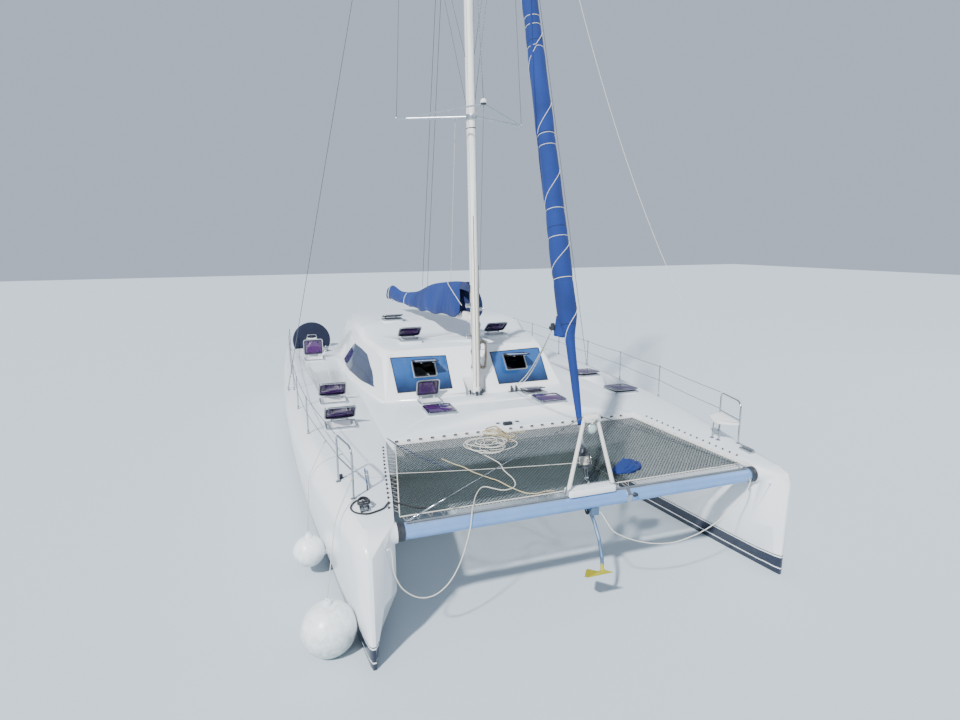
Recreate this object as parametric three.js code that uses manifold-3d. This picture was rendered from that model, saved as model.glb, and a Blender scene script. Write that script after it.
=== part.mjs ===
// Cruising sailing catamaran, 14.15 m long, afloat with her sails stowed.
// Millimetres, +Z up, bow toward -Y, starboard at -X. The origin is amidships on the waterline.
import * as THREE from "three";
import Module from "manifold-3d";
import { mergeVertices } from "three/addons/utils/BufferGeometryUtils.js";

const wasm = await Module();
wasm.setup();

// Clearances between pieces
const SEAT = 0.3;
const PIN_GAP = 0.5;
const LID_GAP = 6;

// Decks and hulls
const DECK_Z = 1730;
const HULL_JOINT_X = 2270;
const STERN_Y = 7075;
const CHAINPLATE = [3660, 100];

// Bridgedeck, with the saloon and cockpit sunk in it
const FOREDECK_Y = -4150;
const BRIDGE_AFT_Y = 6200;
const BRIDGE_BOTTOM_Z = 800;
const SALOON_SOLE_Z = 1050;
const COCKPIT_SOLE_Z = 1150;
const SALOON = { x: 1900, fore: -1150, aft: 2900 };
const COCKPIT = { x: 1950, fore: 3020, aft: 5750 };

// Coachroof shell
const ROOF_WALL = 45;
const PANE_THICKNESS = 12;
const FACE_RUN = 750;
const FACE_RISE = 820;
const ROOF_FRONT_Y = -1950;
const ROOF_FRONT_Z = 1800;
const BULKHEAD_Y = 2930;
const BULKHEAD_THICKNESS = 60;
const DOORWAY = { half: 420, bottom: 1180, top: 2640 };
const DOOR = { half: 470, aft: 2894, thickness: 30, travel: 820, bottom: 1120, top: 2700 };

// Rig
const RAKE = 0.0356;
const MAST_Y = -1870;
const MAST_RAKE_FROM_Z = 1900;
const MAST_TOP_Z = 18700;
const HOUNDS_Z = 17900;
const FORESTAY_FOOT = [-50, -6600, 1705];
const BOOM_PIVOT = [0, -1620, 3280];
const BOOM_LENGTH = 5600;
const BOOM_REST_DEG = 7;
const SPREADER_REACH = 1310;
const SPREADER_SWEEP = 630;

// Crossbeam between the bows
const BEAM_Y = -6700;
const BEAM_Z = 1490;
const BEAM_R = 98;
const BEAM_END_X = 2600;
const BEAM_TRACK_Z = 1600;
const STRIKER = {
  footX: -40, foot: 341, topX: -80, top: 84, topZ: 2640, lampZ: 2490, boxTop: 1680, boxFore: -6775, boxAft: -6590,
};

// Hatches: height of the coaming, thickness of a lid and how far its hinge lies above the coaming
const HATCH_COAMING = 45;
const LID_THICKNESS = 24;
const HATCH_AXIS_UP = LID_GAP + LID_THICKNESS / 2;

// Helm stations on the quarters
const HELM = { x: 2890, footwellFore: 4860, soleZ: 1350, wheelR: 540, wheelY: 4960, wheelZ: 1950 };

// Rope bridle: an eye on the starboard bow, one on the beam's port end, and the tail piled on the net
const ROPE_R = 7;
const BOW_EYE = [-2735, -6890, 1400];
const BEAM_EYE = [2420, -6832, 1490];
const ROPE_PILE = { x: -780, y: -4800, r: 400, height: 140 };
const ROLLER_HALF = 55;

// Underwater gear
const HULL_CENTRE_X = 2960;
const KEEL_Z = -1350;
const RUDDER_STOCK_Y = 6100;
const SHAFT_Z = -720;
const LEG_Y = 4300;

// A solid from any closed geometry, with its shared vertices merged and empty triangles dropped
function solid(geometry) {
  const bare = geometry.clone();
  for (const name of Object.keys(bare.attributes)) {
    if (name !== "position") bare.deleteAttribute(name);
  }
  const merged = mergeVertices(bare, 0.001);
  const index = merged.index.array;
  const kept = [];
  for (let i = 0; i < index.length; i += 3) {
    const [a, b, c] = [index[i], index[i + 1], index[i + 2]];
    if (a !== b && b !== c && c !== a) kept.push(a, b, c);
  }
  const mesh = new wasm.Mesh({
    numProp: 3,
    vertProperties: new Float32Array(merged.attributes.position.array),
    triVerts: Uint32Array.from(kept),
  });
  return new wasm.Manifold(mesh);
}

function join(solids) {
  return solids.reduce((whole, piece) => whole.add(piece));
}

function cut(whole, solids) {
  return solids.reduce((rest, piece) => rest.subtract(piece), whole);
}

function box(x0, x1, y0, y1, z0, z1) {
  const geometry = new THREE.BoxGeometry(x1 - x0, y1 - y0, z1 - z0);
  geometry.translate((x0 + x1) / 2, (y0 + y1) / 2, (z0 + z1) / 2);
  return solid(geometry);
}

// A straight round bar from a to b, its radius changing evenly from ra to rb
function bar(a, b, ra, rb = ra, sides = 6) {
  const from = new THREE.Vector3(...a);
  const to = new THREE.Vector3(...b);
  const run = new THREE.Vector3().subVectors(to, from);
  const geometry = new THREE.CylinderGeometry(rb, ra, run.length(), sides);
  geometry.translate(0, run.length() / 2, 0);
  const turn = new THREE.Quaternion().setFromUnitVectors(new THREE.Vector3(0, 1, 0), run.normalize());
  geometry.applyQuaternion(turn);
  geometry.translate(...a);
  return solid(geometry);
}

// Straight bars through a row of points, with a ball at each bend
function bentBar(points, r, sides = 6) {
  const bars = points.slice(1).map((point, i) => bar(points[i], point, r, r, sides));
  const balls = points.slice(1, -1).map((point) => {
    const ball = new THREE.SphereGeometry(r * 1.02, 6, 4);
    ball.translate(...point);
    return solid(ball);
  });
  return join([...bars, ...balls]);
}

// A plan outline raised from z0 to z1
function plate(outline, z0, z1) {
  const shape = new THREE.Shape(outline.map(([x, y]) => new THREE.Vector2(x, y)));
  const geometry = new THREE.ExtrudeGeometry(shape, { depth: z1 - z0, bevelEnabled: false });
  geometry.translate(0, 0, z0);
  return solid(geometry);
}

// A side outline of [y, z] points, running across the boat from x0 to x1
function slabAcross(outline, x0, x1) {
  const shape = new THREE.Shape(outline.map(([y, z]) => new THREE.Vector2(y, z)));
  const geometry = new THREE.ExtrudeGeometry(shape, { depth: x1 - x0, bevelEnabled: false });
  const toAcross = new THREE.Matrix4().set(0, 0, 1, x0, 1, 0, 0, 0, 0, 1, 0, 0, 0, 0, 0, 1);
  geometry.applyMatrix4(toAcross);
  return solid(geometry);
}

// A rectangle with rounded corners, as plan points
function roundedRectangle(width, length, r, steps = 2) {
  const points = [];
  const corners = [[1, -1, -90], [1, 1, 0], [-1, 1, 90], [-1, -1, 180]];
  for (const [sx, sy, start] of corners) {
    for (let i = 0; i <= steps; i += 1) {
      const angle = THREE.MathUtils.degToRad(start + (90 * i) / steps);
      const x = sx * (width / 2 - r) + r * Math.cos(angle);
      const y = sy * (length / 2 - r) + r * Math.sin(angle);
      points.push([x, y]);
    }
  }
  return points;
}

// A closed skin over rings that all have the same number of points
function loft(rings) {
  const count = rings[0].length;
  const positions = rings.flat(2);
  const index = [];
  for (let k = 0; k < rings.length - 1; k += 1) {
    for (let i = 0; i < count; i += 1) {
      const j = (i + 1) % count;
      const [a, b, c, d] = [k * count + i, k * count + j, (k + 1) * count + i, (k + 1) * count + j];
      index.push(a, b, d, a, d, c);
    }
  }
  for (const [k, flip] of [[0, true], [rings.length - 1, false]]) {
    const middle = positions.length / 3;
    for (let axis = 0; axis < 3; axis += 1) {
      positions.push(rings[k].reduce((sum, point) => sum + point[axis], 0) / count);
    }
    for (let i = 0; i < count; i += 1) {
      const j = (i + 1) % count;
      const pair = flip ? [k * count + j, k * count + i] : [k * count + i, k * count + j];
      index.push(middle, ...pair);
    }
  }
  const geometry = new THREE.BufferGeometry();
  geometry.setAttribute("position", new THREE.BufferAttribute(new Float32Array(positions), 3));
  geometry.setIndex(signedVolume(positions, index) < 0 ? index.reverse() : index);
  return solid(geometry);
}

function signedVolume(positions, index) {
  let volume = 0;
  const corner = (i) => new THREE.Vector3(positions[3 * i], positions[3 * i + 1], positions[3 * i + 2]);
  for (let i = 0; i < index.length; i += 3) {
    volume += corner(index[i]).dot(corner(index[i + 1]).cross(corner(index[i + 2]))) / 6;
  }
  return volume;
}

function turned(piece, degrees, axis, pivot) {
  const turn = new THREE.Matrix4().makeRotationAxis(axis, THREE.MathUtils.degToRad(degrees));
  const there = new THREE.Matrix4().makeTranslation(...pivot);
  const back = new THREE.Matrix4().makeTranslation(-pivot[0], -pivot[1], -pivot[2]);
  return piece.transform(there.multiply(turn).multiply(back).toArray());
}

function mirrored(piece, side) {
  return side > 0 ? piece : piece.mirror([1, 0, 0]);
}

const X_AXIS = new THREE.Vector3(1, 0, 0);
const Z_AXIS = new THREE.Vector3(0, 0, 1);
const SIDES = [["starboard", -1], ["port", 1]];

const FINISHES = {
  gelcoat: { color: "#f1f3f4", roughness: 0.3, metalness: 0 },
  smoked_acrylic: { color: "#1c2746", roughness: 0.12, metalness: 0 },
  hatch_acrylic: { color: "#4a1d55", roughness: 0.15, metalness: 0 },
  anodised_aluminium: { color: "#c3c9cf", roughness: 0.35, metalness: 1 },
  stainless: { color: "#b9bec4", roughness: 0.2, metalness: 1 },
  white_spar: { color: "#eceef0", roughness: 0.35, metalness: 0 },
  sail_cover_cloth: { color: "#1f459a", roughness: 0.85, metalness: 0 },
  wheel_cover_cloth: { color: "#101832", roughness: 0.9, metalness: 0 },
  net_cord: { color: "#3b3f42", roughness: 0.9, metalness: 0 },
  black_plastic: { color: "#1b1d1f", roughness: 0.5, metalness: 0 },
  galvanised_steel: { color: "#4a76a8", roughness: 0.6, metalness: 0.3 },
  upholstery: { color: "#d9d2c3", roughness: 0.9, metalness: 0 },
  fender_vinyl: { color: "#dfe6ee", roughness: 0.45, metalness: 0 },
  white_rope: { color: "#e6e4dc", roughness: 0.9, metalness: 0 },
  antifouling: { color: "#1a2436", roughness: 0.8, metalness: 0 },
  bronze: { color: "#a8803e", roughness: 0.35, metalness: 1 },
};

const group = new THREE.Group();
const materials = {};

function addPart(name, piece, finish) {
  const mesh = piece.getMesh();
  const geometry = new THREE.BufferGeometry();
  geometry.setAttribute("position", new THREE.BufferAttribute(mesh.vertProperties, 3));
  geometry.setIndex(new THREE.BufferAttribute(mesh.triVerts, 1));
  geometry.computeVertexNormals();
  materials[finish] ??= new THREE.MeshStandardMaterial(FINISHES[finish]);
  const part = new THREE.Mesh(geometry, materials[finish]);
  part.name = name;
  group.add(part);
}

// Hatches on the decks: [name, x, y of the hinge, width, length, degrees open at rest], starboard then port
const DECK_HATCHES = [
  ["hatch_hull_fore_starboard", -2860, -2880, 520, 440, 40],
  ["hatch_hull_fore_port", 2900, -2400, 520, 540, 3],
  ["hatch_hull_mid_starboard", -2840, -1240, 520, 440, 44],
  ["hatch_hull_mid_port", 2940, -800, 520, 540, 4],
  ["hatch_hull_aft_starboard", -2940, 3240, 500, 440, 80],
  ["hatch_hull_aft_port", 2940, 3240, 500, 440, 0],
  ["hatch_foredeck_aft_starboard", -1060, -1990, 460, 360, 72],
  ["hatch_foredeck_aft_port", 1120, -1990, 460, 360, 10],
  ["hatch_foredeck_fore_starboard", -1050, -2560, 540, 540, 0],
  ["hatch_foredeck_fore_port", 1180, -2560, 540, 540, 0],
];
// Hatches on the coachroof: [name, x, y of the hinge, width, length, degrees open, height of the flat pad]
const ROOF_HATCHES = [
  ["hatch_roof_fore_starboard", -1090, -430, 480, 380, 35, 2712],
  ["hatch_roof_fore_port", 900, -430, 480, 380, 35, 2712],
  ["hatch_roof_aft_starboard", -1150, 1300, 480, 380, 12, 2945],
];

// One hatch's fixed and moving pieces, hinged on its aft edge at a height of deckZ
function hatch(x, hingeY, width, length, deckZ, sink) {
  const axisZ = deckZ + HATCH_COAMING + HATCH_AXIS_UP;
  const front = hingeY - 26 - length;
  const rim = plate(roundedRectangle(width, length, 60), deckZ - sink, deckZ + HATCH_COAMING)
    .translate([x, front + length / 2, 0]);
  const well = plate(roundedRectangle(width - 80, length - 80, 40), deckZ - 320, deckZ + HATCH_COAMING + 10)
    .translate([x, front + length / 2, 0]);
  const half = 120;
  const lugs = [-1, 1].map((side) => {
    const inner = x + side * (half + PIN_GAP);
    const outer = x + side * (half + 24);
    return box(Math.min(inner, outer), Math.max(inner, outer), hingeY - 16, hingeY + 14, deckZ - sink, axisZ + 12);
  });
  const lid = join([
    plate(roundedRectangle(width + 10, length + 6, 62), axisZ - LID_THICKNESS / 2, axisZ + LID_THICKNESS / 2)
      .translate([x, front + length / 2 - 8, 0]),
    box(x - half + 1, x + half - 1, hingeY - 40, hingeY, axisZ - 6, axisZ + 6),
    bar([x - half, hingeY, axisZ], [x + half, hingeY, axisZ], 11),
  ]);
  return { rim, well, lugs, lid, pivot: [x, hingeY, axisZ] };
}

function openLid(piece, degrees) {
  return turned(piece.lid, -degrees, X_AXIS, piece.pivot);
}

const deckHatches = DECK_HATCHES.map(([name, x, y, width, length, open]) => (
  { name, x, open, ...hatch(x, y, width, length, DECK_Z, 20) }
));
const roofHatches = ROOF_HATCHES.map(([name, x, y, width, length, open, padZ]) => (
  { name, x, open, ...hatch(x, y, width, length, padZ, 50) }
));

// Hull sections, bow to stern, for the port hull. The inner side is plumb, the gunwale outside is a big radius.
// [y, deck inner edge, beam outside, gunwale radius, deck height, waterline inside, waterline outside, draught]
const HULL_STATIONS = [
  [-7030, 2935, 2985, 24, 1400, 2942, 2978, 60],
  [-6950, 2810, 3070, 110, 1540, 2922, 3000, 200],
  [-6700, 2620, 3140, 210, 1620, 2880, 3030, 300],
  [-6100, 2530, 3240, 280, 1655, 2780, 3100, 380],
  [-5000, 2390, 3430, 300, 1695, 2620, 3210, 440],
  [-4150, HULL_JOINT_X, 3530, 300, DECK_Z, 2500, 3310, 490],
  [-3000, HULL_JOINT_X, 3650, 300, DECK_Z, 2430, 3420, 530],
  [-1000, HULL_JOINT_X, 3740, 290, DECK_Z, 2370, 3540, 580],
  [1200, HULL_JOINT_X, 3750, 280, DECK_Z, 2350, 3640, 590],
  [3200, HULL_JOINT_X, 3730, 260, DECK_Z, 2370, 3650, 510],
  [5200, HULL_JOINT_X, 3650, 230, DECK_Z, 2420, 3590, 340],
  [6300, HULL_JOINT_X + 30, 3590, 200, DECK_Z, 2450, 3540, 200],
  [STERN_Y, HULL_JOINT_X + 60, 3540, 180, DECK_Z, 2500, 3480, 60],
];
const GUNWALE_ARC_DEG = [0, 22.5, 45, 67.5, 90];

function hullRing([y, inner, outer, radius, deck, waterInner, waterOuter, draught]) {
  const keel = (waterInner + waterOuter) / 2;
  const bilge = [[0.55, 0.86], [0.9, 0.5]];
  const lowerOuter = bilge.map(([across, down]) => [keel + across * (waterOuter - keel), -down * draught]);
  const lowerInner = bilge.map(([across, down]) => [keel + across * (waterInner - keel), -down * draught]);
  const sheer = deck - radius;
  const gunwale = GUNWALE_ARC_DEG.map((degrees) => {
    const angle = THREE.MathUtils.degToRad(degrees);
    return [outer - radius + radius * Math.cos(angle), sheer + radius * Math.sin(angle)];
  });
  const middle = waterOuter + 0.62 * (outer - waterOuter);
  const tunnel = BRIDGE_BOTTOM_Z - 60;
  return [
    [keel, -draught],
    ...lowerOuter,
    [waterOuter, 0],
    [middle, sheer * 0.5],
    ...gunwale,
    [inner, deck],
    [inner, Math.min(tunnel, deck * 0.6)],
    [inner + 0.75 * (waterInner - inner), deck * 0.18],
    [waterInner, 0],
    ...lowerInner.reverse(),
  ].map(([x, z]) => [x, y, z]);
}

// The widest beam of the port hull at y
function beamAt(y) {
  const k = HULL_STATIONS.findIndex((row) => row[0] > y);
  const [before, after] = [HULL_STATIONS[k - 1], HULL_STATIONS[k]];
  return THREE.MathUtils.mapLinear(y, before[0], after[0], before[2], after[2]);
}

// Sugar-scoop stern: a sloping cut over four steps. [fore y, aft y, tread height]
const STERN_STEPS = [
  [5650, 6050, 1420],
  [6050, 6420, 1110],
  [6420, 6760, 800],
  [6760, 7200, 480],
];

function hull(side) {
  const skin = loft(HULL_STATIONS.map(hullRing));
  const slope = slabAcross([[5450, 1740], [7200, 560], [7200, 1900], [5450, 1900]], 2100, 3900);
  const steps = STERN_STEPS.map(([fore, aft, tread]) => box(2400, 3420, fore, aft + 200, tread, 1900));
  const beamSocket = bar([BEAM_END_X + SEAT, BEAM_Y, BEAM_Z], [2980, BEAM_Y, BEAM_Z], 122, 122, 16);
  const rudderBoss = bar([HULL_CENTRE_X, RUDDER_STOCK_Y, -100], [HULL_CENTRE_X, RUDDER_STOCK_Y, -285], 70, 60, 12);
  const chainplate = box(CHAINPLATE[0] - 8, CHAINPLATE[0] + 8, CHAINPLATE[1] - 60, CHAINPLATE[1] + 60, 1500, 1700);
  const cleatY = -6250;
  const cleat = join([
    box(2850, 2960, cleatY - 45, cleatY + 45, 1600, 1672),
    bar([2905, cleatY - 130, 1698], [2905, cleatY + 130, 1698], 12),
    bar([2905, cleatY - 35, 1660], [2905, cleatY - 35, 1698], 11),
    bar([2905, cleatY + 35, 1660], [2905, cleatY + 35, 1698], 11),
  ]);
  const bowEye = bar([-BOW_EYE[0] + SEAT, BOW_EYE[1], BOW_EYE[2]], [2840, BOW_EYE[1], BOW_EYE[2]], 13);
  const mine = deckHatches.filter((piece) => piece.x * side > HULL_JOINT_X);
  const footwell = box(2330, 3520, HELM.footwellFore, 5700, HELM.soleZ, 1900);
  const shell = cut(skin, [slope, ...steps, footwell]);
  const consoleSide = [
    [HELM.footwellFore - 280, DECK_Z - 20], [HELM.footwellFore - 220, 1960], [HELM.footwellFore - 120, 2040],
    [HELM.footwellFore, 2040], [HELM.footwellFore, DECK_Z - 20],
  ];
  const helmConsole = slabAcross(consoleSide, HELM.x - 150, HELM.x + 150);
  const seatSide = [
    [5330, HELM.soleZ - 10], [5330, 1760], [5620, 1760], [5620, HELM.soleZ - 10],
  ];
  const helmSeat = slabAcross(seatSide, HELM.x - 230, HELM.x + 230);
  const winch = winchDrum([2560, 4150, DECK_Z - 4]);
  const fixed = [beamSocket, rudderBoss, chainplate, cleat, bowEye, helmConsole, helmSeat, winch];
  const whole = mirrored(join([shell, ...fixed]), side);
  const dressed = join([whole, ...mine.map((piece) => piece.rim), ...mine.flatMap((piece) => piece.lugs)]);
  return cut(dressed, mine.map((piece) => piece.well));
}

// A winch: a waisted drum on a flat base, with a self-tailing jaw on top
function winchDrum([x, y, z]) {
  const profile = [
    [0, 0], [85, 0], [85, 22], [56, 60], [60, 104], [78, 112], [78, 142], [40, 150], [0, 150],
  ];
  const geometry = new THREE.LatheGeometry(profile.map(([r, up]) => new THREE.Vector2(r, up)), 12);
  geometry.rotateX(Math.PI / 2);
  geometry.translate(x, y, z);
  return solid(geometry);
}

const hulls = Object.fromEntries(SIDES.map(([name, side]) => [name, hull(side)]));

// Bridgedeck: foredeck, nacelle, saloon and cockpit wells, one moulding between the hulls
const BRIDGE_SIDE = [
  [FOREDECK_Y, DECK_Z], [FOREDECK_Y, 1440], [-3950, 1120], [-3500, 860], [-3000, BRIDGE_BOTTOM_Z],
  [6000, BRIDGE_BOTTOM_Z], [BRIDGE_AFT_Y, 960], [BRIDGE_AFT_Y, DECK_Z],
];
const bridgeX = HULL_JOINT_X - SEAT;
const foredeckHatches = deckHatches.filter((piece) => Math.abs(piece.x) < HULL_JOINT_X);
const bridgeSolid = cut(
  join([
    slabAcross(BRIDGE_SIDE, -bridgeX, bridgeX),
    ...foredeckHatches.map((piece) => piece.rim),
    ...foredeckHatches.flatMap((piece) => piece.lugs),
  ]),
  [
    box(-SALOON.x, SALOON.x, SALOON.fore, SALOON.aft, SALOON_SOLE_Z, 1900),
    box(-COCKPIT.x, COCKPIT.x, COCKPIT.fore, COCKPIT.aft, COCKPIT_SOLE_Z, 1900),
    box(-700, 700, COCKPIT.aft - 10, BRIDGE_AFT_Y + 50, 1500, 1900),
    box(-DOORWAY.half, DOORWAY.half, SALOON.aft - 20, COCKPIT.fore + 20, DOORWAY.bottom, 1900),
    ...foredeckHatches.map((piece) => piece.well),
  ],
);

// Coachroof sections, fore to aft: [y, half width at the base, at the shoulder, shoulder height, roof height]
const ROOF_STATIONS = [
  [ROOF_FRONT_Y, 1960, 1900, 1765, ROOF_FRONT_Z],
  [ROOF_FRONT_Y + FACE_RUN, 2090, 1830, 2330, ROOF_FRONT_Z + FACE_RISE],
  [-700, 2160, 1900, 2420, 2690],
  [250, 2280, 2020, 2450, 2735],
  [650, 2330, 2060, 2600, 2900],
  [1500, 2390, 2100, 2650, 2955],
  [2900, 2400, 2060, 2640, 2960],
  [3600, 2380, 1980, 2580, 2900],
];

function roofRing([y, base, shoulder, shoulderZ, roofZ], lowZ) {
  const drop = roofZ - shoulderZ;
  const half = [
    [base, lowZ],
    [shoulder, shoulderZ],
    [shoulder - 0.1 * drop, shoulderZ + 0.5 * drop],
    [shoulder - 0.45 * drop, shoulderZ + 0.84 * drop],
    [shoulder - 1.1 * drop, roofZ - 0.05 * drop],
    [0.45 * shoulder, roofZ],
  ];
  const other = half.map(([x, z]) => [-x, z]).reverse();
  return [...half, ...other].map(([x, z]) => [x, y, z]);
}

const roofOuter = loft(ROOF_STATIONS.map((row) => roofRing(row, DECK_Z + SEAT)));

// The same section moved inward by the wall, the two front ones straight aft so that the face keeps its slope
function innerStation([y, base, shoulder, shoulderZ, roofZ], i, wall) {
  if (i < 2) return [y + wall * 1.45, base - wall, shoulder - wall, shoulderZ, roofZ];
  const last = i === ROOF_STATIONS.length - 1;
  return [last ? y + 100 : y, base - wall, shoulder - wall, shoulderZ - 0.4 * wall, roofZ - wall];
}

function roofInside(wall, lowZ) {
  return loft(ROOF_STATIONS.map((row, i) => roofRing(innerStation(row, i, wall), lowZ)));
}

const roofInner = roofInside(ROOF_WALL, DECK_Z - 100);

// Front windows in the sloping face: corners as [x, z], inner edge first
const FRONT_WINDOW = [[500, 1885], [1633, 1885], [1660, 2505], [485, 2475]];
const FRONT_PORTLIGHT = [[780, 2130], [1220, 2130], [1220, 2400], [780, 2400]];
// Half-moon side windows: corners as [y, z]
const SIDE_WINDOW = [
  [-1270, 1900], [-320, 1856], [560, 1872], [1120, 1912], [1500, 1990],
  [1141, 2290], [780, 2500], [216, 2444], [-249, 2400], [-846, 2165],
];

function faceY(z) {
  return ROOF_FRONT_Y + ((z - ROOF_FRONT_Z) * FACE_RUN) / FACE_RISE;
}

// A slab that lies in the sloping front face, from the given depth outside it to a depth inside it
function faceSlab(corners, side, outside, inside) {
  const normal = new THREE.Vector3(0, -FACE_RISE, FACE_RUN).normalize();
  const ring = (depth) => corners.map(([x, z]) => (
    [side * x, faceY(z) + normal.y * depth, z + normal.z * depth]
  ));
  return loft([ring(outside), ring(-inside)]);
}

// A convex outline moved inward by the same distance on every edge
function inset(corners, by) {
  const flat = corners.map(([a, b]) => new THREE.Vector2(a, b));
  const turnSign = Math.sign(THREE.ShapeUtils.area(flat));
  const inward = (from, to) => {
    const edge = to.clone().sub(from).normalize();
    return new THREE.Vector2(-edge.y, edge.x).multiplyScalar(turnSign);
  };
  return flat.map((point, i) => {
    const before = inward(flat.at(i - 1), point);
    const after = inward(point, flat[(i + 1) % flat.length]);
    const step = before.clone().add(after).multiplyScalar(by / (1 + before.dot(after)));
    return point.clone().add(step).toArray();
  });
}

const sideWindowHole = (side) => (
  mirrored(slabAcross(SIDE_WINDOW, 1500, 2600), side)
);

const mastRecess = box(-240, 240, -2100, -1705, 1700, 2300);
const mastTrunk = roofOuter.intersect(box(-300, 300, -2000, -1640, DECK_Z + SEAT, 2300));
const roofPads = roofHatches.flatMap((piece) => [piece.rim, ...piece.lugs]);
const coachroof = cut(
  join([
    cut(roofOuter, [roofInner]),
    mastTrunk,
    ...roofPads,
  ]),
  [
    mastRecess,
    ...SIDES.map(([, side]) => faceSlab(FRONT_WINDOW, side, 60, 140)),
    ...SIDES.map(([, side]) => sideWindowHole(side)),
    ...roofHatches.map((piece) => piece.well),
  ],
);

for (const [name] of SIDES) addPart(`hull_${name}`, hulls[name], "gelcoat");
const saloonTable = [
  plate(roundedRectangle(650, 1300, 120), SALOON_SOLE_Z + 690, SALOON_SOLE_Z + 720).translate([-840, 350, 0]),
  bar([-840, 350, SALOON_SOLE_Z - 10], [-840, 350, SALOON_SOLE_Z + 700], 60, 60, 12),
];
addPart("bridgedeck", join([bridgeSolid, ...saloonTable]), "gelcoat");
addPart("coachroof", coachroof, "gelcoat");

// Window panes, set in their openings with a thin bedding gap all round
const skin = roofOuter.subtract(roofInside(PANE_THICKNESS, DECK_Z - 100));
for (const [name, side] of SIDES) {
  const pane = cut(
    faceSlab(inset(FRONT_WINDOW, SEAT), side, 60, 60).intersect(skin),
    [faceSlab(FRONT_PORTLIGHT, side, 60, 80)],
  );
  addPart(`window_front_${name}`, pane, "smoked_acrylic");
  const halfMoon = mirrored(slabAcross(inset(SIDE_WINDOW, SEAT), 1500, 2600), side).intersect(skin);
  addPart(`window_side_${name}`, halfMoon, "smoked_acrylic");
}

// Aft bulkhead of the saloon with its doorway and two lights. The head track of the sliding door is fused to it.
const bulkheadPanel = [[0, -SEAT], [SEAT, 0], [-SEAT, 0]].reduce(
  (panel, [x, z]) => panel.intersect(roofInner.translate([x, 0, z])),
  box(-2400, 2400, BULKHEAD_Y, BULKHEAD_Y + BULKHEAD_THICKNESS, DECK_Z + SEAT, 3000),
);
const doorTrack = box(-520, DOOR.half + DOOR.travel + 40, 2850, BULKHEAD_Y + 2, DOOR.top + PIN_GAP, DOOR.top + 40);
addPart("aft_bulkhead", cut(bulkheadPanel.add(doorTrack), [
  box(-DOORWAY.half, DOORWAY.half, BULKHEAD_Y - 1, BULKHEAD_Y + 100, 1700, DOORWAY.top),
  box(-1750, -620, 2800, 3100, 1980, 2480),
  box(620, 1750, 2800, 3100, 1980, 2480),
]), "gelcoat");
addPart(
  "saloon_door",
  box(-DOOR.half, DOOR.half, DOOR.aft - DOOR.thickness, DOOR.aft, DOOR.bottom, DOOR.top),
  "smoked_acrylic",
);

// Furniture seen through the glass and from the cockpit
const settee = [
  [-SALOON.x + 20, -1300, -1000, 1600, 430], [-SALOON.x + 20, -1720, -1000, 1600, 780],
  [-1320, -500, -1000, -550, 430],
];
addPart("saloon_settee", join(settee.map(([x0, x1, y0, y1, up]) => (
  box(x0, x1, y0, y1, SALOON_SOLE_Z + SEAT, SALOON_SOLE_Z + up)
))), "upholstery");
addPart("galley_counter", join([
  box(1250, SALOON.x - 20, -1000, 2300, SALOON_SOLE_Z + SEAT, SALOON_SOLE_Z + 900),
]), "gelcoat");
addPart("cockpit_bench", join([
  box(1350, COCKPIT.x - 20, 3150, 5500, COCKPIT_SOLE_Z + SEAT, COCKPIT_SOLE_Z + 430),
  box(1800, COCKPIT.x - 20, 3150, 5500, COCKPIT_SOLE_Z + SEAT, COCKPIT_SOLE_Z + 760),
]), "upholstery");
addPart("cockpit_table", join([
  plate(roundedRectangle(800, 1500, 100), COCKPIT_SOLE_Z + 700, COCKPIT_SOLE_Z + 730).translate([850, 4300, 0]),
  bar([850, 4300, COCKPIT_SOLE_Z + SEAT], [850, 4300, COCKPIT_SOLE_Z + 710], 60, 60, 12),
]), "gelcoat");

// Lids, each turned to the angle it stands at
for (const piece of [...deckHatches, ...roofHatches]) {
  addPart(piece.name, openLid(piece, piece.open), "hatch_acrylic");
}

// Steering wheels under round cloth covers, on shafts from the consoles
for (const [name, side] of SIDES) {
  const rim = HELM.wheelR;
  const profile = [[0, -30], [rim - 60, -26], [rim - 12, -20], [rim, 0], [rim - 12, 20], [rim - 60, 26], [0, 30]];
  const cover = new THREE.LatheGeometry(profile.map(([r, up]) => new THREE.Vector2(r, up)), 22);
  cover.translate(side * HELM.x, HELM.wheelY, HELM.wheelZ);
  const hub = bar(
    [side * HELM.x, HELM.footwellFore + PIN_GAP, HELM.wheelZ],
    [side * HELM.x, HELM.wheelY, HELM.wheelZ],
    38, 38, 12,
  );
  addPart(`wheel_${name}`, solid(cover).add(hub), "wheel_cover_cloth");
}

// Crossbeam: a round tube with a flat track along its top and collars at the hulls
addPart("crossbeam", join([
  bar([-BEAM_END_X, BEAM_Y, BEAM_Z], [BEAM_END_X, BEAM_Y, BEAM_Z], BEAM_R, BEAM_R, 20),
  box(-2480, 2480, BEAM_Y - 36, BEAM_Y + 36, BEAM_Z + 80, BEAM_TRACK_Z),
  ...SIDES.map(([, side]) => bar(
    [side * (BEAM_END_X - 90), BEAM_Y, BEAM_Z], [side * BEAM_END_X, BEAM_Y, BEAM_Z], 112, 112, 20,
  )),
  bar([BEAM_EYE[0], BEAM_Y, BEAM_EYE[2]], [BEAM_EYE[0], BEAM_EYE[1] + SEAT, BEAM_EYE[2]], 13),
]), "anodised_aluminium");

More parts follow.
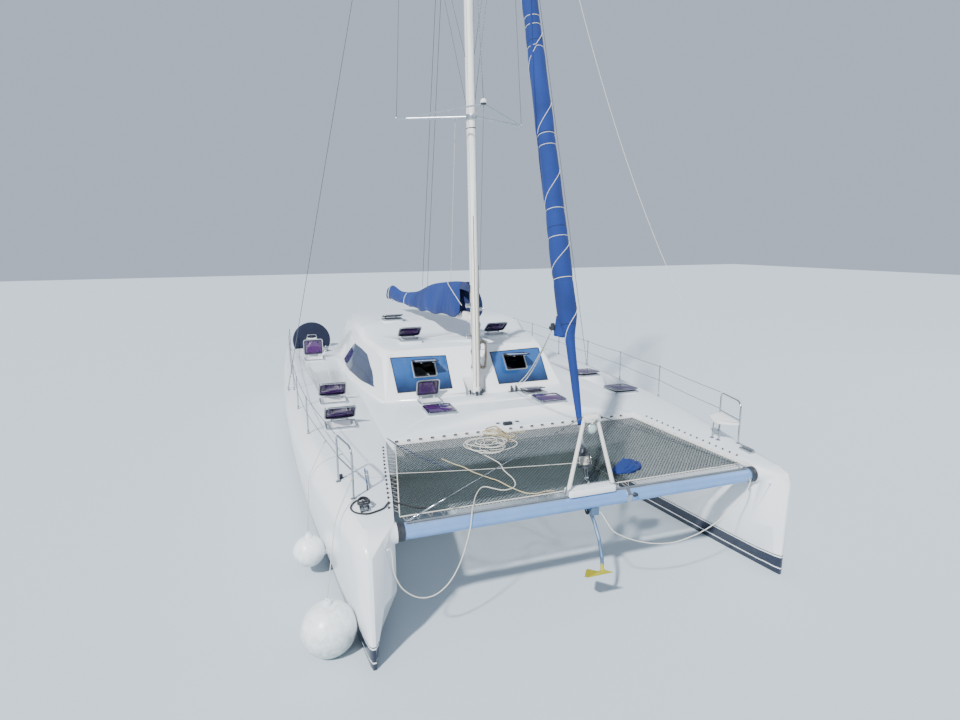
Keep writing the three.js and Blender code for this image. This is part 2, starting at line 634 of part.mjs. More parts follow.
// A-frame striker: a low base box between two raked legs on foot plates, a top plate with a lamp hung under it,
// and a stay to each beam end
addPart("beam_striker", join([
  box(
    STRIKER.footX - STRIKER.foot, STRIKER.footX + STRIKER.foot, STRIKER.boxFore, STRIKER.boxAft,
    BEAM_TRACK_Z + SEAT, STRIKER.boxTop,
  ),
  box(STRIKER.topX - 110, STRIKER.topX + 110, BEAM_Y - 62, BEAM_Y + 62, STRIKER.topZ - 30, STRIKER.topZ + 25),
  bar([STRIKER.topX, BEAM_Y - 60, STRIKER.lampZ], [STRIKER.topX, BEAM_Y - 20, STRIKER.lampZ], 62, 62, 14),
  box(STRIKER.topX - 8, STRIKER.topX + 8, BEAM_Y - 52, BEAM_Y - 36, STRIKER.lampZ, STRIKER.topZ),
  ...SIDES.flatMap(([, side]) => {
    const footX = STRIKER.footX + side * STRIKER.foot;
    const topX = STRIKER.topX + side * STRIKER.top;
    return [
      bar([footX, BEAM_Y, BEAM_TRACK_Z + 12], [topX, BEAM_Y, STRIKER.topZ], 28, 24, 10),
      box(footX - 45, footX + 45, BEAM_Y - 45, BEAM_Y + 45, BEAM_TRACK_Z + SEAT, BEAM_TRACK_Z + 16),
      bar([STRIKER.topX + side * 90, BEAM_Y, STRIKER.topZ + 10], [side * 2450, BEAM_Y, BEAM_TRACK_Z + 22], 7, 7, 6),
      box(
        Math.min(side * 2425, side * 2475), Math.max(side * 2425, side * 2475),
        BEAM_Y - 25, BEAM_Y + 25, BEAM_TRACK_Z + SEAT, BEAM_TRACK_Z + 30,
      ),
    ];
  }),
]), "white_spar");

// Trampoline net: one sheet held clear of the hulls by lacing. Corners to port: [half width, y, height]
const NET_AFT = [2160, -4300, 1690];
const NET_FORE = [2525, -6480, 1592];
const NET_HALF_THICKNESS = 6;
const LACINGS = 5;
const netAt = (t) => NET_AFT.map((value, k) => THREE.MathUtils.lerp(value, NET_FORE[k], t));
const netRing = ([x, y, z]) => [[-x, -1], [x, -1], [x, 1], [-x, 1]].map(([across, up]) => (
  [across, y, z + up * NET_HALF_THICKNESS]
));
const lacings = [];
for (let i = 0; i < LACINGS; i += 1) {
  const [inner, y, z] = netAt(0.04 + (0.92 * i) / (LACINGS - 1));
  for (const side of [-1, 1]) {
    const across = side * (150 + (i * 1900) / (LACINGS - 1));
    const atBeam = side * (520 + (i * 1760) / (LACINGS - 1));
    lacings.push(bar([side * (inner - 20), y, z], [side * (inner + 200), y, z], 6, 6, 4));
    lacings.push(bar([across, -4320, NET_AFT[2]], [across, FOREDECK_Y - SEAT, NET_AFT[2]], 6, 6, 4));
    lacings.push(bar([atBeam, -6470, NET_FORE[2]], [atBeam, BEAM_Y, BEAM_Z], 6, 6, 4));
  }
}
const hullSkins = SIDES.map(([name, side]) => hulls[name].translate([-side * SEAT, 0, 0]));
const beamKeepOut = bar([-2500, BEAM_Y, BEAM_Z], [2500, BEAM_Y, BEAM_Z], BEAM_R + SEAT, BEAM_R + SEAT, 20);
addPart("trampoline", cut(
  join([loft([netRing(NET_AFT), netRing(NET_FORE)]), ...lacings]),
  [...hullSkins, beamKeepOut],
), "net_cord");

// Windlass sunk under its deck plate at the front of the foredeck, with its chain hood and two foot switches
addPart("windlass", join([
  box(-340, 100, -4125, -3900, DECK_Z + SEAT, DECK_Z + 12),
  box(-250, -90, -4112, -4030, DECK_Z + 6, DECK_Z + 65),
  box(-330, -268, -3972, -3910, DECK_Z + 6, DECK_Z + 24),
  box(24, 86, -3985, -3923, DECK_Z + 6, DECK_Z + 24),
]), "black_plastic");

// Bow roller under the beam with the anchor hanging from it
const shank = [[0, -6640, 1290], [0, -6760, 1180], [0, -6880, 1020], [0, -6960, 820], [0, -6985, 640]];
const fluke = loft([
  [[-15, -7005, 660], [15, -7005, 660], [15, -6975, 650], [-15, -6975, 650]],
  [[-190, -6960, 560], [190, -6960, 560], [190, -6940, 552], [-190, -6940, 552]],
  [[-150, -6800, 470], [150, -6800, 470], [150, -6790, 462], [-150, -6790, 462]],
  [[-12, -6600, 440], [12, -6600, 440], [12, -6600, 432], [-12, -6600, 432]],
]);
const beamClearance = bar([-400, BEAM_Y, BEAM_Z], [400, BEAM_Y, BEAM_Z], BEAM_R + SEAT, BEAM_R + SEAT, 20);
addPart("anchor", join([
  cut(box(-ROLLER_HALF, ROLLER_HALF, -6760, -6560, 1300, 1440), [beamClearance]),
  bar([-60, -6640, 1320], [60, -6640, 1320], 45, 45, 12),
  bentBar(shank, 24),
  fluke,
]), "galvanised_steel");

// Pulpits: bent tubes on the bows. The port one carries a seat.
const PULPIT_AFT = [3121, -5379];
const PULPIT_FORE = [2993, -5965];
const PULPIT_RAIL_Z = 2030;
for (const [name, side] of SIDES) {
  const deckCut = hulls[name].translate([0, 0, SEAT]);
  const at = ([x, y, z]) => [side * x, y, z];
  const frame = [
    bentBar([
      [...PULPIT_AFT, 1600], [...PULPIT_AFT, 2290], [3112, -5420, 2330], [3010, -5887, 2330],
      [...PULPIT_FORE, 2270], [...PULPIT_FORE, 1560],
    ].map(at), 14),
    bar(at([...PULPIT_AFT, PULPIT_RAIL_Z]), at([...PULPIT_FORE, PULPIT_RAIL_Z]), 11),
  ];
  const seatOutline = [[3135, -5372], [3006, -5975], [2940, -6000], [2690, -5840], [2690, -5700], [2820, -5480]];
  const seat = plate(seatOutline, 1970, 2000);
  const seatLegs = [[2780, -5640], [2800, -5760]].map(([x, y]) => bar([x, y, 1980], [x - 15, y + 10, 1600], 10));
  const pieces = side > 0 ? [...frame, seat, ...seatLegs] : frame;
  addPart(`pulpit_${name}`, join(pieces).subtract(deckCut), "stainless");
}

// Guardrails: stanchions joined by two lifelines. [y, inset from the widest beam]
const STANCHIONS = [[-3300, 213], [-1700, 200], [-150, 204], [1500, 190], [3300, 180], [4700, 170]];
const STANCHION_HEIGHT = 620;
for (const [name, side] of SIDES) {
  const deckCut = hulls[name].translate([0, 0, SEAT]);
  const posts = STANCHIONS.map(([y, inset]) => [side * (beamAt(y) - inset), y]);
  const first = [side * (PULPIT_AFT[0] + 6), PULPIT_AFT[1] + 15];
  const lines = [0.52, 0.97].flatMap((share) => {
    const points = [first, ...posts].map(([x, y]) => [x, y, DECK_Z + share * STANCHION_HEIGHT]);
    return points.slice(1).map((point, i) => bar(points[i], point, 5, 5, 6));
  });
  const stanchions = posts.flatMap(([x, y]) => [
    bar([x, y, DECK_Z - 60], [x, y, DECK_Z + STANCHION_HEIGHT], 13, 13, 8),
    bar([x, y, DECK_Z - 60], [x, y, DECK_Z + 40], 26, 26, 8),
  ]);
  const pulpitKeepOut = bar(
    [side * PULPIT_AFT[0], PULPIT_AFT[1], 1600],
    [side * PULPIT_AFT[0], PULPIT_AFT[1], 2500],
    14.6, 14.6, 8,
  );
  addPart(`guardrail_${name}`, cut(join([...stanchions, ...lines]), [deckCut, pulpitKeepOut]), "stainless");
}

// Mast: an oval section raked slightly aft. [height, half width, half length]
const MAST_SECTIONS = [
  [DECK_Z + 20, 82, 118], [3000, 82, 118], [14000, 82, 118], [HOUNDS_Z, 72, 100], [MAST_TOP_Z, 56, 76],
];

function mastY(z) {
  return MAST_Y + RAKE * (z - MAST_RAKE_FROM_Z);
}

function mastRing(z, halfWidth, halfLength, grow, sides = 16) {
  return Array.from({ length: sides }, (_, i) => {
    const angle = (2 * Math.PI * i) / sides;
    return [(halfWidth + grow) * Math.cos(angle), mastY(z) + (halfLength + grow) * Math.sin(angle), z];
  });
}

const pinZ = BOOM_PIVOT[2];
const gooseneck = join([
  box(-28, 28, mastY(pinZ) + 90, BOOM_PIVOT[1] + 26, pinZ + 50, pinZ + 66),
  box(-28, 28, mastY(pinZ) + 90, BOOM_PIVOT[1] + 26, pinZ - 66, pinZ - 50),
  bar([0, BOOM_PIVOT[1], pinZ - 60], [0, BOOM_PIVOT[1], pinZ + 60], 10, 10, 16),
]);
addPart("mast", join([
  loft(MAST_SECTIONS.map((row) => mastRing(...row, 0))),
  plate(roundedRectangle(210, 280, 50), DECK_Z + SEAT, DECK_Z + 26).translate([0, mastY(DECK_Z), 0]),
  gooseneck,
  box(-105, 105, mastY(HOUNDS_Z) - 115, mastY(HOUNDS_Z) + 60, HOUNDS_Z - 20, HOUNDS_Z + 30),
  box(-40, 40, mastY(MAST_TOP_Z) - 130, mastY(MAST_TOP_Z) + 130, MAST_TOP_Z - 20, MAST_TOP_Z + 25),
]), "white_spar");

// Spreaders: [name, height, reach, sweep aft, reach of the forward strut, height their wires rise to]
const SPREADERS = [
  ["spreaders_lower", 7130, SPREADER_REACH, SPREADER_SWEEP, 750],
  ["spreaders_upper", 12600, 1000, 480, 0],
];
const tips = SPREADERS.map(([, z, reach, sweep]) => [reach, mastY(z) + sweep, z + 20]);
SPREADERS.forEach(([name, z, , , strut], level) => {
  const collarCut = loft([mastRing(z - 70, 82, 118, SEAT + 0.2), mastRing(z + 70, 82, 118, SEAT + 0.2)]);
  const collar = loft([mastRing(z - 45, 82, 118, 26), mastRing(z + 45, 82, 118, 26)]);
  const nextTip = tips[level + 1] ?? [74, mastY(HOUNDS_Z - 300), HOUNDS_Z - 300];
  const arms = SIDES.flatMap(([, side]) => {
    const at = ([x, y, up]) => [side * x, y, up];
    const tip = tips[level];
    const run = new THREE.Vector3(...nextTip).sub(new THREE.Vector3(...tip));
    const stop = run.length() - 26;
    const end = run.clone().setLength(stop).add(new THREE.Vector3(...tip)).toArray();
    const pieces = [bar(at([60, mastY(z), z]), at(tip), 34, 20, 8), bar(at(tip), at(end), 5, 5, 6)];
    if (strut > 0) pieces.push(bar(at([0, mastY(z) - strut, z + 90]), at(tip), 15, 15, 8));
    return pieces;
  });
  const forward = strut > 0 ? [bar([0, mastY(z) - 90, z], [0, mastY(z) - strut, z + 90], 24, 18, 8)] : [];
  addPart(name, join([collar, ...arms, ...forward]).subtract(collarCut), "anodised_aluminium");
});

// Cap shrouds from the chainplates to the hounds, with a bottle screw at the foot
for (const [name, side] of SIDES) {
  const foot = new THREE.Vector3(side * CHAINPLATE[0], CHAINPLATE[1], 1703);
  const top = new THREE.Vector3(side * 111, mastY(HOUNDS_Z), HOUNDS_Z - 8);
  const run = top.clone().sub(foot);
  const screwTop = foot.clone().add(run.clone().setLength(380)).toArray();
  addPart(`shroud_${name}`, join([
    bar(foot.toArray(), screwTop, 15, 15, 8),
    bar(foot.toArray(), top.toArray(), 6, 6, 6),
  ]), "stainless");
}

// Forestay with the furled headsail rolled on it. [height, radius of the roll]
const ROLL = [
  [2450, 32], [2900, 52], [3300, 60], [3560, 72], [3720, 112], [3860, 134],
  [4700, 140], [6500, 126], [9500, 108], [13000, 84], [16600, 52],
];
const stayFoot = new THREE.Vector3(...FORESTAY_FOOT);
const stayTop = new THREE.Vector3(0, mastY(HOUNDS_Z) - 126.8, HOUNDS_Z);
const stayRun = stayTop.clone().sub(stayFoot);
const stayUp = stayRun.clone().normalize();
const stayAcross = new THREE.Vector3().crossVectors(stayUp, X_AXIS).normalize();

function onStay(z) {
  return stayFoot.clone().addScaledVector(stayRun, (z - FORESTAY_FOOT[2]) / stayRun.z);
}

function stayRing(z, r, sides = 12) {
  return Array.from({ length: sides }, (_, i) => {
    const angle = (2 * Math.PI * i) / sides;
    return onStay(z)
      .addScaledVector(X_AXIS, r * Math.cos(angle))
      .addScaledVector(stayAcross, r * Math.sin(angle))
      .toArray();
  });
}

const DRUM_TOP_Z = 2140;
addPart("headsail", join([
  loft(ROLL.map(([z, r]) => stayRing(z, r))),
  loft([stayRing(DRUM_TOP_Z + SEAT, 22, 8), stayRing(16700, 18, 8), stayRing(HOUNDS_Z, 12, 8)]),
]), "sail_cover_cloth");
addPart("furler_drum", join([
  loft([[FORESTAY_FOOT[2] + 8, 16], [1900, 16]].map(([z, r]) => stayRing(z, r, 8))),
  loft([[1890, 30], [1900, 96], [1915, 96], [1925, 62], [2040, 62], [2050, 96], [2065, 96], [2075, 40],
    [DRUM_TOP_Z, 30]].map(([z, r]) => stayRing(z, r, 16))),
  box(
    FORESTAY_FOOT[0] - 14, FORESTAY_FOOT[0] + 14, FORESTAY_FOOT[1] - 40, FORESTAY_FOOT[1] + 10,
    STRIKER.boxTop + SEAT, STRIKER.boxTop + 60,
  ),
]), "black_plastic");

// Boom and the stowed sail in its cover, both swung to the angle of rest
const boomEye = bar(
  [0, BOOM_PIVOT[1], pinZ - 50 + PIN_GAP], [0, BOOM_PIVOT[1], pinZ + 50 - PIN_GAP], 26, 26, 16,
);
const eyeBore = bar([0, BOOM_PIVOT[1], pinZ - 80], [0, BOOM_PIVOT[1], pinZ + 80], 10.8, 10.8, 16);
const boomAt = (along) => BOOM_PIVOT[1] + along;
const boomSection = roundedRectangle(130, 190, 40, 2);

function boomRing(along, grow) {
  return boomSection.map(([x, up]) => [x + Math.sign(x) * grow, boomAt(along), pinZ + up + Math.sign(up) * grow]);
}

const boom = join([
  loft([boomRing(95, 0), boomRing(BOOM_LENGTH, 0)]),
  box(-20, 20, boomAt(5), boomAt(110), pinZ - 45, pinZ + 45),
  boomEye,
]).subtract(eyeBore);
addPart("boom", turned(boom, BOOM_REST_DEG, Z_AXIS, BOOM_PIVOT), "white_spar");

// Sail cover: [distance along the boom, top height, half width]
const COVER = [
  [125, 3940, 120], [420, 3985, 165], [1200, 3935, 185], [2200, 3815, 185],
  [3150, 3590, 165], [4600, 3490, 150], [5200, 3590, 135], [5590, 3530, 100],
];
const coverRings = COVER.map(([along, top, half]) => {
  const low = pinZ - 80;
  const tall = top - low;
  const side = [[0.72, 0], [0.95, 0.2], [0.86, 0.5], [0.55, 0.82], [0.22, 0.97]];
  const right = side.map(([out, up]) => [out * half, low + up * tall]);
  const left = right.map(([x, z]) => [-x, z]).reverse();
  return [...right, [0, top], ...left].map(([x, z]) => [x, boomAt(along), z]);
});
const boomKeepOut = loft([boomRing(60, SEAT), boomRing(BOOM_LENGTH + 100, SEAT)])
  .add(box(-65 - SEAT, 65 + SEAT, boomAt(60), boomAt(BOOM_LENGTH + 100), pinZ - 200, pinZ));
const cover = loft(coverRings).subtract(boomKeepOut);
addPart("sail_cover", turned(cover, BOOM_REST_DEG, Z_AXIS, BOOM_PIVOT), "sail_cover_cloth");

// A streamlined section in plan, nose toward the bow, its quarter chord at y
function foil(x, y, z, chord, thickness) {
  const outline = [[0, 0], [0.06, 0.36], [0.2, 0.5], [0.45, 0.46], [0.75, 0.24], [1, 0.03]];
  const right = outline.map(([along, out]) => [x + out * thickness, y + (along - 0.25) * chord, z]);
  const left = outline.slice(1).map(([along, out]) => [x - out * thickness, y + (along - 0.25) * chord, z]).reverse();
  return [...right, ...left];
}

// Keels, saildrive legs, propellers and rudders
for (const [name, side] of SIDES) {
  const centre = side * HULL_CENTRE_X;
  const hullBelow = hulls[name].translate([0, 0, -SEAT]);
  const keel = loft([
    foil(centre, -150, -380, 2700, 300), foil(centre, -100, -900, 2300, 260), foil(centre, -40, KEEL_Z, 2050, 210),
  ]);
  addPart(`keel_${name}`, keel.subtract(hullBelow), "antifouling");
  const pod = new THREE.LatheGeometry(
    [[0, 0], [34, 12], [58, 60], [66, 140], [62, 250], [52, 300], [0, 300]].map(([r, up]) => new THREE.Vector2(r, up)),
    14,
  );
  pod.translate(centre, LEG_Y - 160, SHAFT_Z);
  const leg = loft([foil(centre, LEG_Y - 110, -330, 300, 90), foil(centre, LEG_Y - 110, SHAFT_Z, 240, 70)]);
  addPart(`saildrive_${name}`, join([leg.subtract(hullBelow), solid(pod)]), "antifouling");
  const hubFront = LEG_Y + 140 + PIN_GAP;
  const blade = loft([
    [[-28, 0, 30], [28, 60, 30], [28, 68, 30], [-28, 8, 30]],
    [[-52, 10, 120], [52, 52, 120], [52, 58, 120], [-52, 16, 120]],
    [[-20, 26, 208], [20, 38, 208], [20, 42, 208], [-20, 30, 208]],
  ]);
  const blades = [0, 120, 240].map((degrees) => (
    turned(blade, degrees, new THREE.Vector3(0, 1, 0), [0, 0, 0]).translate([centre, hubFront + 14, SHAFT_Z])
  ));
  const hub = bar([centre, hubFront, SHAFT_Z], [centre, hubFront + 130, SHAFT_Z], 46, 26, 14);
  addPart(`propeller_${name}`, join([hub, ...blades]), "bronze");
  const rudder = loft([
    foil(centre, RUDDER_STOCK_Y, -350, 600, 78), foil(centre, RUDDER_STOCK_Y, -800, 560, 64),
    foil(centre, RUDDER_STOCK_Y, -1270, 420, 44),
  ]);
  const stock = bar([centre, RUDDER_STOCK_Y, -285 - PIN_GAP], [centre, RUDDER_STOCK_Y, -420], 32, 32, 12);
  addPart(`rudder_${name}`, rudder.add(stock), "antifouling");
}

// Ball fenders hung over the starboard side on lanyards, one from the pulpit and one from the lower lifeline.
// [name, centre, radius, where the lanyard is made fast, where it leaves the gunwale, rail: foot, top, radius]
const FENDERS = [
  ["fender_forward", [-3415.8, -6500, 290], 330, [-2993, -5965, 1950], [-3260, -6290, 1560],
    [[-2993, -5965, 1600], [-2993, -5965, 2270], 15.6]],
  ["fender_aft", [-3549.5, -4720, 380], 228, [-3218.7, -4700, 2048.8], [-3490, -4720, 1520],
    [[-3127, -5364, 2052.4], [-3419.1, -3200, 2052.4], 6.2]],
];
for (const [name, centre, r, fast, edge, rail] of FENDERS) {
  const ball = new THREE.SphereGeometry(r, 16, 10);
  ball.rotateX(Math.PI / 2);
  ball.translate(...centre);
  const eye = [centre[0], centre[1], centre[2] + r + 30];
  const hung = join([
    solid(ball),
    bar([centre[0], centre[1], centre[2] + r - 20], eye, 34, 22, 10),
    bentBar([eye, edge, fast], 6, 6),
  ]);
  const railKeepOut = bar(...rail.slice(0, 2), rail[2], rail[2], 8);
  addPart(name, cut(hung, [hulls.starboard.translate([-SEAT, 0, SEAT]), railKeepOut]), "fender_vinyl");
}

// Rope bridle. Points of the free stretches, from the eye on; both rest on what they cross.
const STARBOARD_ROUTE = [
  BOW_EYE, [-2705, -6892, 1392], [-2690, -6895, 1300], [-2680, -6898, 1120], [-2610, -6900, 920],
  [-2500, -6897, 790], [-2380, -6890, 715], [-2250, -6880, 695], [-2120, -6868, 735], [-1985, -6855, 850],
  [-1865, -6842, 1050], [-1775, -6830, 1300], [-1725, -6816, 1480], [-1700, -6785, 1576], [-1680, -6735, 1618],
  [-1655, -6670, 1618], [-1600, -6550, 1614], [-1500, -6330, 1616], [-1370, -6140, 1624], [-1290, -6115, 1625],
  [-1215, -6185, 1622], [-1110, -6275, 1618], [-980, -6270, 1618], [-890, -6180, 1622], [-850, -6000, 1630],
  [-870, -5700, 1643], [-850, -5450, 1655], [-800, -5160, 1668],
];
const PORT_ROUTE = [
  BEAM_EYE, [2415, -6862, 1482], [2360, -6900, 1420], [2270, -6920, 1330], [2145, -6930, 1215],
  [1972, -6930, 1070], [1778, -6930, 955], [1567, -6930, 872], [1388, -6930, 830], [1146, -6930, 800],
  [889, -6930, 825], [667, -6930, 881], [432, -6925, 974], [215, -6900, 1095], [150, -6850, 1185],
  [115, -6790, 1270], [88, -6750, 1322], [ROLLER_HALF - 5, -6742, 1345],
];

function rope(route, steps) {
  const section = new THREE.Shape(Array.from({ length: 8 }, (_, i) => (
    new THREE.Vector2(ROPE_R * Math.cos((Math.PI * i) / 4), ROPE_R * Math.sin((Math.PI * i) / 4))
  )));
  const path = new THREE.CatmullRomCurve3(route.map((point) => new THREE.Vector3(...point)), false, "centripetal");
  return solid(new THREE.ExtrudeGeometry(section, { steps, extrudePath: path, bevelEnabled: false }));
}

function ropePile(grow) {
  const profile = [[0, 0], [-10, 0], [0, 30], [-70, 100], [-250, ROPE_PILE.height]]
    .map(([inward, up], i) => new THREE.Vector2(i === 0 ? 0 : ROPE_PILE.r + grow + inward, up));
  const geometry = new THREE.LatheGeometry([...profile, new THREE.Vector2(0, ROPE_PILE.height)], 18);
  geometry.rotateX(Math.PI / 2);
  const slope = (NET_AFT[2] - NET_FORE[2]) / (NET_AFT[1] - NET_FORE[1]);
  geometry.rotateX(Math.atan(slope));
  const netZ = NET_AFT[2] + slope * (ROPE_PILE.y - NET_AFT[1]);
  geometry.translate(ROPE_PILE.x, ROPE_PILE.y, netZ + NET_HALF_THICKNESS + SEAT);
  return solid(geometry);
}

// Each rope's ends are cut square to what they are made fast to
const [bowX, bowY, bowZ] = BOW_EYE;
const [beamX, beamY, beamZ] = BEAM_EYE;
const bowEnd = box(bowX - 50, bowX, bowY - 30, bowY + 30, bowZ - 30, bowZ + 30);
const beamEnd = box(beamX - 30, beamX + 30, beamY, beamY + 50, beamZ - 30, beamZ + 30);
const rollerEnd = box(20, ROLLER_HALF + SEAT, -6790, -6700, 1300, 1400);
addPart("bridle_starboard", cut(rope(STARBOARD_ROUTE, 70), [bowEnd, ropePile(SEAT)]), "white_rope");
addPart("bridle_port", cut(rope(PORT_ROUTE, 48), [beamEnd, rollerEnd]), "white_rope");
addPart("rope_pile", ropePile(0), "white_rope");

export default group;
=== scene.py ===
# A cruising sailing catamaran afloat at her mooring with both sails stowed, seen from above the bows.
# Metres, +Z up, bow toward -Y, starboard at -X, the waterline at z = 0.
import random
from math import atan2, copysign, cos, exp, hypot, pi, radians, sin, sqrt

import bmesh
import bpy
from mathutils import Matrix, Vector, noise
from mathutils.bvhtree import BVHTree


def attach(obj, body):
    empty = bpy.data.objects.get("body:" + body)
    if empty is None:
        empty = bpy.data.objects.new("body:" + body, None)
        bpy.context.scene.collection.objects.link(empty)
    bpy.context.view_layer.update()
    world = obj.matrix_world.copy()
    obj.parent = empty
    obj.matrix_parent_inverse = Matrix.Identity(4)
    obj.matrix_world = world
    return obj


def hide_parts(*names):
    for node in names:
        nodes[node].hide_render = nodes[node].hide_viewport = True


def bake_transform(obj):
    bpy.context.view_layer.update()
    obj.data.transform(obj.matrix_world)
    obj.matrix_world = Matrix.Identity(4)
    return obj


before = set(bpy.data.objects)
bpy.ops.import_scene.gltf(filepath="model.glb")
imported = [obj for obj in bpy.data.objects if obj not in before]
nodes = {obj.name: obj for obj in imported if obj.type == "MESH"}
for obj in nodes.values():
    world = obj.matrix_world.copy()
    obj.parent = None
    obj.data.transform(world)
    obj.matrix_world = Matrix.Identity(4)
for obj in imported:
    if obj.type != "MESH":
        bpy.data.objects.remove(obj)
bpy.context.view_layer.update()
bpy.ops.object.select_all(action="DESELECT")

# Studio. A matt pale floor lies at the waterline, under a soft overcast dome, a broad key lamp like a
# low morning sun over the starboard bow and a weak fill from port. The camera stands where the photograph
# was taken, looking down over the bows.
FLOOR_SIZE = 160.0
FLOOR_PALE = "#C2CED6"
DOME_WHITE = "#D6E5FA"
CAMERA_PLACE = (-3.6893, -12.9842, 4.8291)
CAMERA_RIGHT = (0.94630438, -0.32320349, -0.00689312)
CAMERA_UP = (0.07108147, 0.18722332, 0.97974224)
PHOTO_WIDTH_PX = 960
FOCAL_LENGTH_PX = 585.49


def linear(hex_colour):
    """An sRGB hex colour as linear RGBA."""
    channels = [int(hex_colour[i:i + 2], 16) / 255 for i in (1, 3, 5)]
    return (*[c / 12.92 if c <= 0.04045 else ((c + 0.055) / 1.055) ** 2.4 for c in channels], 1.0)


def add_node(tree, kind, settings=None, links=None):
    """A shader node of this kind, its properties or socket values set and its inputs linked to outputs."""
    node = tree.nodes.new("ShaderNode" + kind)
    for key, value in (settings or {}).items():
        if isinstance(key, str) and hasattr(node, key):
            setattr(node, key, value)
        else:
            node.inputs[key].default_value = value
    for socket, source in (links or {}).items():
        tree.links.new(source, node.inputs[socket])
    return node


def feed(shader, socket, source):
    """Links a node's output to a socket of the shader."""
    shader.id_data.links.new(source, shader.inputs[socket])


def surface(name, settings):
    """A new material whose Principled shader holds these values. Returns it, its node tree and its shader."""
    material = bpy.data.materials.new(name)
    material.use_nodes = True
    tree = material.node_tree
    shader = tree.nodes["Principled BSDF"]
    for socket, value in settings.items():
        shader.inputs[socket].default_value = value
    return material, tree, shader


bpy.ops.mesh.primitive_grid_add(x_subdivisions=8, y_subdivisions=8, size=FLOOR_SIZE)
floor = bpy.context.object
floor.name = "studio_floor"
floor_paint, tree, shader = surface("matt_floor_paint", {"Base Color": linear(FLOOR_PALE), "Roughness": 0.85})
floor.data.materials.append(floor_paint)

world = bpy.data.worlds.new("overcast_dome")
world.use_nodes = True
world.node_tree.nodes["Background"].inputs["Color"].default_value = linear(DOME_WHITE)
world.node_tree.nodes["Background"].inputs["Strength"].default_value = 0.74
bpy.context.scene.world = world

# lamp, kind, place, watts or strength, size, aimed at
LAMPS = [
    ("key_sun", "SUN", (-16.0, -15.0, 22.0), 6.4, 0.05, (0.0, 0.0, 1.0)),
    ("port_fill", "AREA", (22.0, -10.0, 14.0), 900.0, 12.0, (0.0, -2.0, 1.0)),
]
for name, kind, place, power, size, aim in LAMPS:
    lamp_data = bpy.data.lights.new(name, kind)
    lamp_data.energy = power
    if kind == "SUN":
        lamp_data.angle = size
    else:
        lamp_data.size = size
    lamp = bpy.data.objects.new(name, lamp_data)
    bpy.context.scene.collection.objects.link(lamp)
    lamp.location = place
    lamp.rotation_euler = (Vector(aim) - Vector(place)).to_track_quat("-Z", "Y").to_euler()

camera_data = bpy.data.cameras.new("photo_camera")
camera_data.sensor_fit = "HORIZONTAL"
camera_data.sensor_width = 36.0
camera_data.lens = FOCAL_LENGTH_PX * camera_data.sensor_width / PHOTO_WIDTH_PX
camera_data.clip_end = 400.0
camera = bpy.data.objects.new("photo_camera", camera_data)
bpy.context.scene.collection.objects.link(camera)
right, up = Vector(CAMERA_RIGHT), Vector(CAMERA_UP)
camera.matrix_world = (
    Matrix.Translation(CAMERA_PLACE) @ Matrix((right, up, right.cross(up))).transposed().to_4x4()
)
bpy.context.scene.camera = camera

# Rope bridle. Two legs of 14 mm laid polyester hang from the bows: the starboard one comes over the beam
# and its tail lies in a loose pile on the net, the port one goes to the anchor roller. Each is one rope
# along its free route, and the pile is wound by a loop whose turns wander as a thrown rope does.
ROPE_DIAMETER = 0.014
ROPE_WHITE = "#DEDBD0"
ROPE_SHADE = "#9B978A"
LAY_LENGTH = 0.045
NET_SLOPE = (1.69 - 1.592) / (-4.3 + 6.48)
PILE_PLACE = (-0.78, -4.8)
PILE_TURNS = 7
PILE_POINTS_PER_TURN = 16
PILE_RADIUS = 0.26
PILE_LAYER = 0.0165
STARBOARD_ROUTE = [
    (-2.735, -6.89, 1.4), (-2.705, -6.892, 1.392), (-2.69, -6.895, 1.3), (-2.68, -6.898, 1.12),
    (-2.61, -6.9, 0.92), (-2.5, -6.897, 0.79), (-2.38, -6.89, 0.715), (-2.25, -6.88, 0.695),
    (-2.12, -6.868, 0.735), (-1.985, -6.855, 0.85), (-1.865, -6.842, 1.05), (-1.775, -6.83, 1.3),
    (-1.725, -6.816, 1.48), (-1.7, -6.785, 1.576), (-1.68, -6.735, 1.618), (-1.655, -6.67, 1.618),
    (-1.6, -6.55, 1.614), (-1.5, -6.33, 1.616), (-1.37, -6.14, 1.624), (-1.29, -6.115, 1.625),
    (-1.215, -6.185, 1.622), (-1.11, -6.275, 1.618), (-0.98, -6.27, 1.618), (-0.89, -6.18, 1.622),
    (-0.85, -6.0, 1.63), (-0.87, -5.7, 1.643), (-0.85, -5.45, 1.655), (-0.8, -5.2, 1.667),
]
PORT_ROUTE = [
    (2.42, -6.832, 1.49), (2.415, -6.862, 1.482), (2.36, -6.9, 1.42), (2.27, -6.92, 1.33),
    (2.145, -6.93, 1.215), (1.972, -6.93, 1.07), (1.778, -6.93, 0.955), (1.567, -6.93, 0.872),
    (1.388, -6.93, 0.83), (1.146, -6.93, 0.8), (0.889, -6.93, 0.825), (0.667, -6.93, 0.881),
    (0.432, -6.925, 0.974), (0.215, -6.9, 1.095), (0.15, -6.85, 1.185), (0.115, -6.79, 1.27),
    (0.088, -6.75, 1.322), (0.0553, -6.742, 1.345),
]

